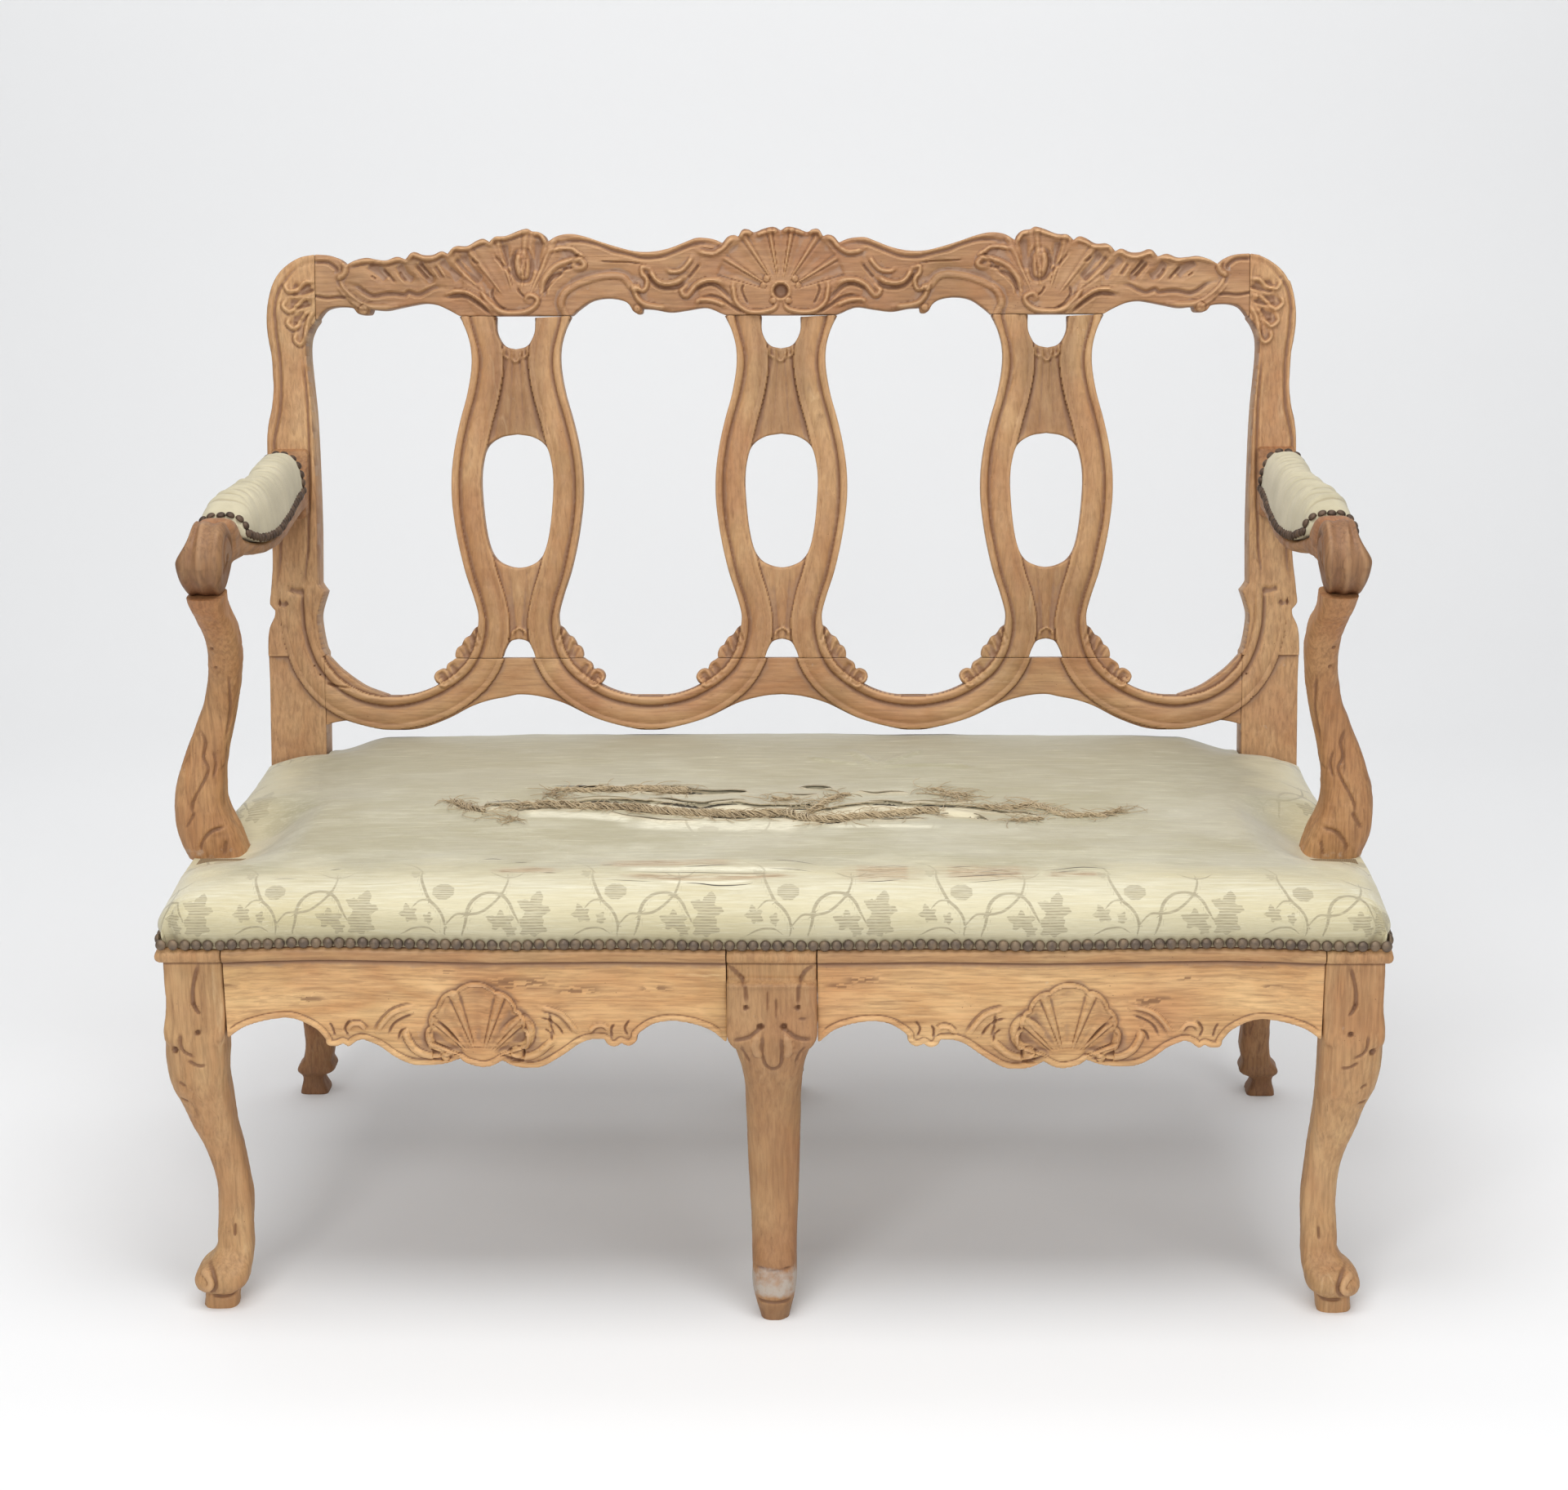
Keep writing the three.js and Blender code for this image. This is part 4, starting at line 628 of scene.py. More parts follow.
def bare_wood(name, grain):
    n = Nodes(name)
    fibre = n.noise(n.scaled(stretched(grain, 4.0, 55.0)), 5.0, 5.0, 0.6, 0.4)
    figure = n.noise(n.place, 6.0, 3.0, 0.5)
    colour = n.mix(n.spread(figure, 0.35, 0.7), BARE_DARK, BARE_LIGHT)
    colour = n.mix(n.spread(fibre, 0.3, 0.62, 0.5, 0.0), colour, BARE_PORE)
    return n.finish(Base_Color=colour, Roughness=0.78, Normal=n.bump(fibre, 0.0008, 0.6))


def jute_cloth(name):
    n = Nodes(name)
    weave = n.math("MULTIPLY", *n.weave(160.0, 1.5, Detail=1.0))
    colour = n.mix(n.spread(n.noise(n.place, 12.0), 0.3, 0.7), JUTE_DARK, JUTE_LIGHT)
    colour = n.mix(n.spread(weave, 0.05, 0.4, 0.6, 0.0), colour, JUTE_GAP)
    return n.finish(Base_Color=colour, Roughness=0.95, Normal=n.bump(weave, 0.001, 0.7))


def metal(name, colour, worn, rough):
    n = Nodes(name)
    patchy = n.noise(n.place, 90.0)
    base = n.mix(n.spread(patchy, 0.42, 0.68), colour, worn)
    base = n.mix(n.attribute("shine"), base, worn)
    return n.finish(Base_Color=base, Metallic=0.6, Roughness=n.spread(patchy, 0.3, 0.7, rough, rough + 0.2),
                    Normal=n.bump(patchy, 0.0004, 0.4))


CREAM, CREAM_DEEP = (0.62, 0.56, 0.37), (0.55, 0.48, 0.28)
GREYED, OLIVE = (0.445, 0.415, 0.30), (0.385, 0.35, 0.22)
VINE_TONE, STRAW, GAP_SHADOW = (0.27, 0.225, 0.135), (0.50, 0.37, 0.23), (0.045, 0.033, 0.02)
SILK_WARM, SILK_DIM, SILK_PAINTED_SHEEN = (0.57, 0.54, 0.40), (0.315, 0.285, 0.180), (0.70, 0.665, 0.51)
SILK_STREAK, SILK_FLASH, PALE_SILK = (0.72, 0.685, 0.52), (0.87, 0.83, 0.66), (0.76, 0.72, 0.55)
THREAD_GAP, BARE_GAP, SOILED_AND_SHADOWED = (0.33, 0.28, 0.17), (0.27, 0.185, 0.10), (0.30, 0.23, 0.13)
FOLD_SHADE = (0.34, 0.28, 0.17)


def line_mask(n, across, half, soft=0.45):
    """1 on a line that is stored as a place across it and half its width."""
    depth = n.math("SUBTRACT", n.attribute(half), n.math("ABSOLUTE", n.attribute(across)))
    return n.spread(depth, 0.02, soft)


def level_threads(n, across, up, offset=(0, 0, 0), detail=3.0):
    return n.noise(n.scaled((across, up, up), offset), 3.0, detail, 0.6)


def silk_cloth(name):
    """Worn silk: cream on the rolls, greyer on the top, with level threads and a woven vine."""
    n = Nodes(name)
    streaks = level_threads(n, 6.0, 150.0, detail=4.0)
    slub = level_threads(n, 26.0, 260.0, (3, 1, 2))
    threads = level_threads(n, 9.0, 330.0, (8, 1, 5))
    fine = n.noise(n.scaled((14.0, 500.0, 500.0)), 3.0, 2.0, 0.5)
    cloud = n.noise(n.scaled((2.6, 6.0, 6.0)), 1.6, 4.0, 0.6)
    blot = n.noise(n.scaled((7.0, 14.0, 14.0)), 1.7, 4.0, 0.6)
    face, weft, bare, pale = (n.attribute(key) for key in ("face", "weft", "bare", "pale"))

    def both(a, b):
        return n.math("MULTIPLY", a, b)

    # the greyed top and the cream rolls
    top = n.mix(n.spread(cloud, 0.40, 0.60), OLIVE, GREYED)
    top = n.mix(n.spread(blot, 0.48, 0.70, 0.0, 0.5), top, SILK_WARM)
    top = n.mix(n.spread(weft, 270.0, 480.0, 0.0, 0.80), top, SILK_DIM)
    front = n.mix(n.spread(cloud, 0.36, 0.66), CREAM, CREAM_DEEP)
    colour = n.mix(n.spread(n.added(blot, 0.5, face), 0.35, 1.2), top, front)
    # painted sheen along the front roll, a painted highlight; then threads, bare and pale patches
    shine = both(n.spread(weft, 42.0, 70.0), n.spread(weft, 104.0, 78.0))
    colour = n.mix(both(shine, n.spread(streaks, 0.36, 0.62, 0.1, 0.75)), colour, SILK_PAINTED_SHEEN)
    colour = n.mix(n.spread(streaks, 0.50, 0.72, 0.0, 0.42), colour, SILK_STREAK)
    colour = n.mix(n.spread(fine, 0.25, 0.5, 0.30, 0.0), colour, THREAD_GAP)
    colour = n.mix(both(bare, n.spread(streaks, 0.36, 0.60, 1.0, 0.15)), colour, STRAW)
    colour = n.mix(both(bare, n.spread(threads, 0.50, 0.42, 0.0, 0.85)), colour, BARE_GAP)
    colour = n.mix(both(pale, n.spread(slub, 0.36, 0.56, 0.35, 0.95)), colour, PALE_SILK)
    # the woven vine, whose leaves are hatched
    hatch = n.spread(n.math("SINE", both(weft, 2.1)), -0.5, 0.5)
    leaf = both(n.spread(n.attribute("leaf"), -0.4, 0.6), n.added(hatch, 0.6, 0.4))
    woven = n.math("MAXIMUM", line_mask(n, "vine", "vine_half", 0.8), leaf)
    woven = both(woven, n.spread(slub, 0.30, 0.55, 0.35, 1.0))
    shown = n.math("MAXIMUM", face, both(pale, 0.6))
    woven = both(woven, n.added(shown, 0.70, 0.07))
    colour = n.mix(woven, colour, VINE_TONE)
    # bright slubs, dirt and a painted shadow line above the nails, frayed edges, and painted shadow in the
    # slits
    flash = both(n.spread(slub, 0.66, 0.74), n.spread(blot, 0.45, 0.6))
    colour = n.mix(both(flash, 0.7), colour, SILK_FLASH)
    colour = n.mix(n.spread(weft, 13.0, 6.0, 0.0, 0.7), colour, SOILED_AND_SHADOWED)
    colour = n.mix(both(n.attribute("frayed"), n.spread(fine, 0.3, 0.6, 0.1, 0.55)), colour, STRAW)
    colour = n.mix(line_mask(n, "slit", "gape"), colour, GAP_SHADOW)
    height = n.added(woven, -0.8, n.math("ADD", fine, streaks))
    return n.finish(Base_Color=colour, Roughness=n.spread(streaks, 0.3, 0.7, 0.40, 0.58),
                    Sheen_Weight=0.25, Normal=n.bump(height, 0.0006, 0.5))


def plain_cloth(name, light, dark):
    n = Nodes(name)
    cloud = n.noise(n.place, 18.0, 4.0, 0.6)
    colour = n.mix(n.spread(cloud, 0.35, 0.68), dark, light)
    # painted shade in the creases and folds
    colour = n.mix(n.spread(n.attribute("crease"), -0.1, -0.9, 0.0, 0.6), colour, FOLD_SHADE)
    # painted shadow in the slits
    colour = n.mix(n.math("MULTIPLY", line_mask(n, "slit", "gape"), 0.97), colour, GAP_SHADOW)
    weave = n.math("ADD", *n.weave(420.0, 2.0))
    return n.finish(Base_Color=colour, Roughness=0.85, Sheen_Weight=0.2, Normal=n.bump(weave, 0.0003, 0.35))


LEG_WOOD = wood("leg wood", 2, (0.92, 0.95, 0.88), 1.2, 0.42)
CENTRE_WOOD = wood("centre leg wood", 2, (0.90, 0.90, 0.82), 1.2, 0.4)
SPLAT_WOOD = wood("splat wood", 2, (0.83, 0.83, 0.78), 0.8, 0.32)
POST_WOOD = wood("post wood", 2, (0.88, 0.89, 0.84), 1.0, 0.45)
# the rear legs' wood is painted darker for the shade they stand in
SHADED_REAR_WOOD = wood("shaded rear leg wood", 2, (0.64, 0.56, 0.46), 0.7)
SUPPORT_WOOD = wood("support wood", 2, (0.84, 0.78, 0.68), 1.0, 0.5)
SCROLL_WOOD = wood("scroll wood", 2, (0.50, 0.46, 0.41), 1.8, 0.5)
CREST_WOOD = wood("crest wood", 0, (0.70, 0.66, 0.62), 1.3, 0.4)
ACROSS_WOOD = wood("lower rail wood", 0, (0.83, 0.83, 0.78), 0.8, 0.35)
APRON_WOOD = wood("apron wood", 0, (1.26, 1.34, 1.24), 0.8, 0.5)
DEEP_WOOD = wood("fore and aft wood", 1)
ARM_WOOD = wood("arm wood", 1, (0.66, 0.58, 0.50), 1.6, 0.5)
PLAIN_UP = bare_wood("plain wood up", 2)
PLAIN_X = bare_wood("plain wood across", 0)
PLAIN_Y = bare_wood("plain wood fore and aft", 1)
JUTE = jute_cloth("jute")
BRONZE = metal("bronze nails", (0.135, 0.100, 0.075), (0.25, 0.18, 0.115), 0.42)
DARK_BRONZE = metal("arm nails", (0.070, 0.045, 0.032), (0.16, 0.105, 0.070), 0.5)
STEEL = metal("steel", (0.25, 0.23, 0.21), (0.4, 0.38, 0.35), 0.4)
SILK = silk_cloth("damask silk")
ARM_CLOTH = plain_cloth("arm cloth", (0.58, 0.52, 0.36), (0.46, 0.41, 0.275))
UNDER_CLOTH = plain_cloth("under cloth", (0.72, 0.65, 0.46), (0.60, 0.53, 0.36))
TOW = plain_cloth("frayed jute", (0.52, 0.41, 0.25), (0.36, 0.265, 0.15))


def settle(piece, slot, *nodes):
    """A finished piece: it rides on the frame and stands for its solids."""
    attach(piece, "root")
    if nodes:
        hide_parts(*nodes)


# Back: outlines, right half, on the raked board
CREST_TOP = joined(
    [(0, 597), (8, 601), (19, 599), (30, 595), (36, 598), (43, 598), (48, 590)],
    [(48, 590), (53, 592), (60, 590), (66, 583)],
    [(66, 583), (75, 587), (86, 589), (96, 589), (107, 585), (125, 578), (144, 574), (163, 574), (181, 578),
     (201, 584), (222, 591), (238, 594), (253, 592), (265, 585)],
    [(265, 585), (268, 592), (274, 596), (282, 597)],
    [(282, 597), (288, 600), (299, 597), (312, 592), (324, 591), (331, 585)],
    [(331, 585), (337, 589), (345, 587), (356, 581), (367, 581), (373, 578), (378, 572)],
    [(378, 572), (385, 575), (395, 571), (406, 571), (414, 574), (420, 573), (426, 566)],
    [(426, 566), (436, 569), (448, 565), (459, 566), (471, 568), (484, 565), (494, 560)],
    [(494, 560), (502, 567), (514, 571), (529.7, 572)])
CREST_FOOT = joined(
    [(529.7, 497), (520, 509), (508, 513), (494, 513), (486, 511)],
    [(486, 511), (481, 505), (474, 504), (468, 505), (466, 510)],
    [(466, 510), (451, 509), (435, 512), (420, 515), (406, 517), (392, 515), (378, 509), (366, 502.3)],
    [(366, 502.3), (238, 502.3)],
    [(238, 502.3), (229, 510), (215, 519), (198, 522), (182, 520), (173, 515), (168, 507)],
    [(168, 507), (163, 504), (158, 505), (157, 510)],
    [(157, 510), (144, 509), (126, 506), (108, 508), (88, 511), (78, 509), (69, 505), (62, 502.3)],
    [(62, 502.3), (0, 502.3)])
SPLAT_SIDE = joined(
    [(64, 501.7), (56, 485), (51, 465), (51, 442), (56, 413), (64, 384), (70.5, 355), (74.5, 326), (75, 297),
     (72, 268), (67, 239), (60, 210), (51.5, 184), (46, 163), (46.5, 149)],
    [(46.5, 149), (51, 146), (55, 140), (57, 137.5)],
    [(57, 137.5), (62, 135), (65.5, 129), (66.5, 126.5)],
    [(66.5, 126.5), (71, 124), (73.5, 118), (73.5, 112.3)])
SPLAT_TOP = smooth([(22, 501.7), (22, 485), (17, 473), (10.5, 467), (0, 464.5)])
SPLAT_FOOT = smooth([(19.5, 112.3), (16, 122), (10, 131), (0, 134)])
SPLAT_OVAL = smooth([(0, 368), (19, 364.5), (33.5, 354), (39.5, 336), (41.5, 314), (40, 285), (36.5, 256),
                     (31, 235), (22.5, 223), (10.5, 217), (0, 215)])
RAIL_EAR = joined(
    [(73.5, 111.7), (77, 109), (82, 106), (84, 102), (84.5, 98)],
    [(84.5, 98), (90, 99), (96, 96), (98.5, 90), (96, 84), (93, 82)],
    [(93, 82), (104, 76.5), (120, 71), (136, 68.5), (151, 68)])
RAIL_END = smooth([(453, 69), (462, 72), (482, 80), (506, 97), (519, 110), (525.7, 117.5)])
RAIL_LOW = smooth([(0, 70), (22, 68), (51, 60), (87, 43), (130, 31), (151, 29), (172, 31), (215, 43),
                   (251, 60),
                   (280, 68), (302, 70), (318, 67), (338, 63), (358, 56), (383, 43), (409, 33), (427, 29.5),
                   (443, 29), (463, 30), (485, 35), (503, 40)])
POST_OUTER = joined(
    [(590, -16), (590, 33), (590, 87), (591, 123), (589, 146), (583, 160), (582, 167)],
    [(582, 167), (587, 173), (588, 178), (586, 195), (584, 231), (587, 300), (588, 355), (586, 380),
     (582, 398),
     (579.5, 420), (580, 435), (581, 456), (584, 474), (586, 492), (585, 514), (579, 538), (568, 555),
     (549, 568),
     (530.3, 572)])
POST_INNER = joined(
    [(530.3, 497), (536, 489), (541, 475), (541.5, 455), (539, 425), (536, 390), (534, 340), (532.5, 265),
     (533, 198)],
    [(533, 198), (530, 193), (526, 188)],
    [(526, 188), (531, 173), (534, 159), (532.5, 142), (529, 124), (526, 117.5)],
    [(526, 117.5), (526, 35), (526, -16)])

# The strands of the back, as the middle lines of their mouldings
STRAND = [(43, 520), (43, 502), (39, 485), (34, 465), (33, 442), (38, 413), (46, 384), (53, 355), (57, 326),
          (57.5, 297), (55, 268), (49.5, 239), (43, 210), (34.5, 183), (29.5, 160), (29, 148), (30.5, 134),
          (37, 112), (51, 90), (76, 70), (108, 55), (151, 48.5)]
STRAND_HALF = 18.5
STRAND_PLACES = [-1, -0.93, -0.82, -0.66, -0.56, -0.49, -0.42, -0.2, 0.1, 0.36, 0.54, 0.62, 0.70, 0.84, 0.96,
                 1]
STRAND_HEIGHTS = [0.3, 2.3, 3.1, 2.8, 1.4, -1.9, -1.6, 0.9, 2.3, 2.0, 1.2, 0.3, 0.9, 1.2, 0.5, -1.0]
POST_STRAND = [(555, 205), (558, 184), (558, 168), (556, 144), (549, 117), (537, 93), (519, 73), (495, 58),
               (468, 50), (443, 48.5)]


def bay_lines():
    """The strands round the four bays, each with its bay on the left."""
    half = np.asarray(STRAND[:-1], float)
    middle = SPLAT_PITCH / 2
    inner = np.vstack([half, [(middle, 48.5)], flipped(half, middle)])
    outer = np.vstack([moved(half, SPLAT_PITCH), np.asarray(POST_STRAND, float)[::-1]])
    return [smooth(line, 4.0) for line in (flipped(outer), moved(inner, -SPLAT_PITCH), inner, outer)]


def lay_strands(relief, du=0.0):
    """The moulded strands where they pass over a board."""
    low, high = relief.loops[0].min(0) - 30, relief.loops[0].max(0) + 30
    for line in bay_lines():
        line = moved(line, du)
        near = ((line > low) & (line < high)).all(1)
        if near.any():
            for run in np.split(line, np.nonzero(np.diff(near.astype(int)))[0] + 1):
                if len(run) > 2 and ((run > low) & (run < high)).all(1)[len(run) // 2]:
                    relief.band(run, STRAND_HALF, STRAND_PLACES, STRAND_HEIGHTS)


CREST_CENTRE = [
    ("lip", 1.0, [(3, 594), (8, 597), (19, 595), (28, 592)]),
    ("lip", 1.0, [(32, 592), (37, 595), (43, 594), (46, 588)]),
    ("lip", 1.2, [(50, 587), (56, 587), (60, 584), (63, 580), (68, 576), (75, 572), (83, 572), (91, 574),
                  (95, 576)]),
    ("rib", 1.0, [(8, 519), (5, 515), (7, 510), (13, 507), (24, 505), (36, 506), (45, 511), (51, 518),
                  (53, 527),
                  (54, 536), (51, 542)]),
    ("groove", 0.8, [(41, 538), (44, 531), (41, 522), (37, 514)]),
    ("groove", 1.3, [(56, 520), (62, 527), (72, 535), (81, 537), (91, 534), (97, 529)]),
    ("rib", 1.2, [(60, 536), (72, 541), (85, 541), (96, 536), (102, 529), (107, 524), (111, 526), (112, 531),
                  (108, 535)]),
    ("groove", 1.0, [(43, 505), (55, 512), (68, 521), (79, 524), (87, 523)]),
    ("rib", 1.0, [(62, 512), (77, 518), (92, 519), (97, 514)]),
    ("groove", 1.5, [(108, 541), (114, 535), (123, 533), (132, 533), (141, 536), (147, 543), (151, 551)]),
    ("rib", 1.0, [(100, 568), (106, 559), (114, 552), (124, 551), (130, 554)]),
    ("rib", 1.2, [(109, 545), (121, 539), (134, 538), (143, 543), (149, 554)]),
    ("groove", 1.0, [(92, 560), (99, 551), (106, 543)]),
    ("rib", 1.0, [(149, 555), (157, 556), (157, 549), (152, 542), (153, 533), (158, 530), (163, 534),
                  (162, 539)]),
    ("rib", 1.2, [(167, 540), (166, 530), (162, 521), (155, 515), (143, 512), (128, 511)]),
    ("groove", 1.3, [(68, 578), (75, 581), (87, 583), (98, 582), (109, 578), (121, 573), (132, 569),
                     (143, 567),
                     (157, 567), (170, 570), (183, 573), (191, 575), (203, 580), (216, 584), (227, 586),
                     (239, 586),
                     (251, 584), (261, 581)]),
    ("groove", 0.6, [(157, 560), (175, 562), (207, 563)]),
    ("blob", 0.9, [(16, 543)]), ("blob", 0.8, [(20, 535)]), ("blob", 0.9, [(9, 518)]),
    ("blob", 1.0, [(163, 510)]),
]
CREST_SIDE = [
    ("lip", 1.0, [(423, 564), (418, 570), (413, 569), (403, 566), (393, 567), (385, 571), (379, 570)]),
    ("lip", 1.0, [(376, 569), (371, 577), (362, 577), (354, 578), (344, 583), (337, 585), (332, 583)]),
    ("lip", 1.0, [(329, 582), (324, 588), (312, 589), (300, 593), (290, 596), (284, 595)]),
    ("lip", 1.0, [(281, 594), (274, 593), (270, 589), (267, 583)]),
    ("groove", 1.3, [(370, 569), (364, 560), (356, 551), (342, 538)]),
    ("groove", 1.0, [(351, 567), (347, 563), (343, 561)]),
    ("groove", 1.2, [(393, 559), (389, 553), (384, 545)]),
    ("groove", 0.9, [(410, 563), (402, 553), (395, 546)]),
    ("groove", 1.0, [(434, 553), (430, 546), (425, 541)]),
    ("groove", 1.0, [(325, 571), (317, 561), (309, 553), (304, 547)]),
    ("scoop", 1.0, [(362, 572), (349, 553), (339, 541)]),
    ("scoop", 1.0, [(387, 566), (375, 553), (364, 541)]),
    ("scoop", 1.0, [(412, 563), (402, 548), (394, 538)]),
    ("scoop", 1.0, [(315, 584), (311, 567), (307, 555)]),
    ("scoop", 1.0, [(274, 588), (276, 570), (278, 550)]),
    ("groove", 1.5, [(294, 577), (301, 573), (304, 562), (303, 551), (298, 543), (291, 541), (285, 544),
                     (283, 554),
                     (284, 567), (287, 575), (294, 577)]),
    ("rib", 1.5, [(296, 572), (298, 560), (294, 547)]),
    ("rib", 1.1, [(282, 520), (286, 518), (289, 521), (286, 525), (280, 524), (276, 520), (279, 513),
                  (288, 507),
                  (300, 505), (311, 505), (321, 508), (329, 515), (336, 523), (340, 533), (342, 538)]),
    ("groove", 0.9, [(326, 535), (328, 526), (324, 518), (318, 512), (310, 508)]),
    ("groove", 0.8, [(299, 534), (296, 528), (291, 523)]),
    ("groove", 1.4, [(382, 523), (369, 525), (359, 525), (349, 520), (339, 513), (329, 505)]),
    ("rib", 1.0, [(379, 527), (369, 530), (359, 529), (351, 526), (341, 519), (333, 512), (325, 504)]),
    ("groove", 1.4, [(268, 523), (267, 531), (264, 539), (258, 546), (246, 551)]),
    ("rib", 1.2, [(271, 529), (270, 539), (264, 549), (256, 557), (246, 562), (236, 565), (228, 565),
                  (223, 560),
                  (225, 556), (231, 555), (235, 558)]),
    ("groove", 1.0, [(248, 555), (243, 555), (236, 557)]),
    ("rib", 0.9, [(262, 575), (247, 578), (237, 577), (231, 573), (225, 569), (228, 567)]),
]
CREST_CORNER = [
    ("lip", 1.0, [(492, 559), (482, 562), (471, 564), (460, 563), (448, 562), (440, 564), (432, 565),
                  (427, 563)]),
    ("groove", 1.3, [(532, 563), (517, 563), (510, 560), (505, 555), (507, 550)]),
    ("rib", 1.3, [(499, 563), (495, 559), (496, 551), (501, 547), (505, 548)]),
    ("rib", 1.4, [(504, 543), (499, 533), (490, 524), (480, 516), (470, 513), (452, 512), (438, 513)]),
    ("groove", 1.3, [(506, 545), (501, 535), (493, 526), (483, 518), (473, 512), (468, 511)]),
    ("groove", 1.5, [(491, 538), (481, 535), (474, 530), (467, 526), (460, 525), (449, 527), (437, 527),
                     (427, 526),
                     (423, 529), (413, 526), (404, 529), (394, 534), (382, 534)]),
    ("groove", 1.1, [(534, 526), (517, 523), (503, 524), (492, 523)]),
    ("groove", 1.0, [(414, 559), (407, 551), (400, 543)]),
    ("groove", 1.0, [(452, 556), (444, 547), (438, 540)]),
    ("groove", 0.8, [(466, 548), (463, 546), (460, 544)]),
    ("scoop", 1.2, [(468, 562), (457, 553), (446, 543)]),
    ("scoop", 1.0, [(435, 561), (426, 549), (416, 541)]),
    ("blob", 1.3, [(475, 509)]),
]
ARCH_RIB = [(251, 496), (258, 512), (257, 524), (250, 535), (236, 544.5), (219, 551), (203, 554.5),
            (187, 555.5),
            (176, 553), (168, 547), (164, 541)]
POST_TOP = [
    ("groove", 1.4, [(529, 563), (542, 561), (554, 554), (564, 543), (571, 533), (575, 522), (577, 507),
                     (576, 493),
                     (575, 479), (573, 465), (571, 440), (572, 400), (579, 365), (580, 350), (577, 300),
                     (574, 258),
                     (575, 235), (576, 218), (579, 201), (582, 186)]),
    ("groove", 1.2, [(545, 473), (544, 444), (541, 400), (540, 340), (541, 290), (542, 265), (543, 235),
                     (546, 213),
                     (547, 196)]),
    ("rib", 1.0, [(540, 473), (541, 485), (539, 493), (536, 502), (530, 509)]),
    ("lip", 1.0, [(566, 540), (560, 530), (549, 533), (541, 540), (531, 541)]),
    ("groove", 1.3, [(558, 528), (548, 527), (538, 530), (529, 533)]),
    ("lip", 1.0, [(562, 523), (567, 514), (559, 507), (551, 514), (543, 521), (532, 523)]),
    ("groove", 1.2, [(560, 513), (551, 512), (541, 514), (533, 517)]),
    ("lip", 1.0, [(559, 503), (562, 494), (554, 488), (547, 496), (541, 505), (535, 508)]),
    ("groove", 1.2, [(556, 495), (549, 494), (543, 500)]),
    ("lip", 0.9, [(553, 484), (554, 475), (547, 470), (541, 480), (539, 490)]),
    ("scoop", 0.9, [(556, 538), (545, 533), (533, 536)]),
    ("scoop", 0.9, [(560, 518), (549, 518), (537, 520)]),
    ("scoop", 0.8, [(556, 499), (549, 500), (541, 506)]),
    ("scoop", 0.7, [(566, 192), (557, 189), (548, 190)]),
    ("scoop", 0.6, [(579, 177), (572, 174), (566, 177)]),
]


ARCH_HALF = 13.0
ARCH_PLACES = np.array([-1, -0.9, -0.72, -0.5, -0.36, -0.2, 0.1, 0.6, 1])
ARCH_HEIGHTS = [0.6, 2.8, 3.6, 2.6, 0.2, -1.2, 0.2, 1.2, 1.0]
CREST_DROP, CARVED_ABOVE = 3.0, 540
SPLAT_PLACES = (-SPLAT_PITCH, 0.0, SPLAT_PITCH)
HEAD_HALF, TOE_HALF, EAR_HALF = 66, 75, 74


def crest_piece():
    """The crest rail, whose right end sags a little."""
    outline = np.vstack([CREST_TOP, CREST_FOOT, flipped(CREST_FOOT)[1:], flipped(CREST_TOP)[:-1]])
    outline[:, 1] -= CREST_DROP * smoothstep(440, 500, outline[:, 0]) * (outline[:, 1] > CARVED_ABOVE)
    r = Relief(outline)
    r.h += 1.0
    for turn in (1, -1):
        line = smooth(np.asarray(ARCH_RIB) * [turn, 1], 3.0)
        r.band(line, ARCH_HALF, turn * ARCH_PLACES[::turn], ARCH_HEIGHTS[::turn])
        # a swelling of the whole carved shell over each outer splat, and of the wing beside it
        r.blob((turn * 300, 545), 62, 3.4)
        r.blob((turn * 420, 545), 75, 2.2)
    r.blob((0, 545), 95, 3.4)
    r.fan((0, 526), [-76, -58, -33, -10, 10, 33, 58, 76], 12, 78, 2.6)
    for turn in (1, -1):
        bounds = sorted(turn * angle for angle in (-46, -24, -4, 16, 37, 58))
        r.fan((turn * 296, 500), bounds, 26, 100, 2.0)
    for table in (CREST_CENTRE, CREST_SIDE, CREST_CORNER):
        r.strokes(table, mirror=True, depth=1.5)
    # the drilled eye of the middle shell
    d = np.hypot(r.U, r.V - 529)
    r.h += np.interp(d, [0, 6.5, 8.2, 9.6, 11.5, 13], [-9, -8, -1.5, 2.2, 1.0, 0])
    r.wear(11, 0.3)
    for x in SPLAT_PLACES:
        r.joint((x - HEAD_HALF, CREST_FACE), (x + HEAD_HALF, CREST_FACE))
    for x in (-CREST_END, CREST_END):
        r.joint((x, CREST_END_LOW), (x, CREST_END_HIGH))
    settle(r.build("crest_carved", on_back, CREST_THICK, CREST_WOOD), "carved_wood", "crest_rail")


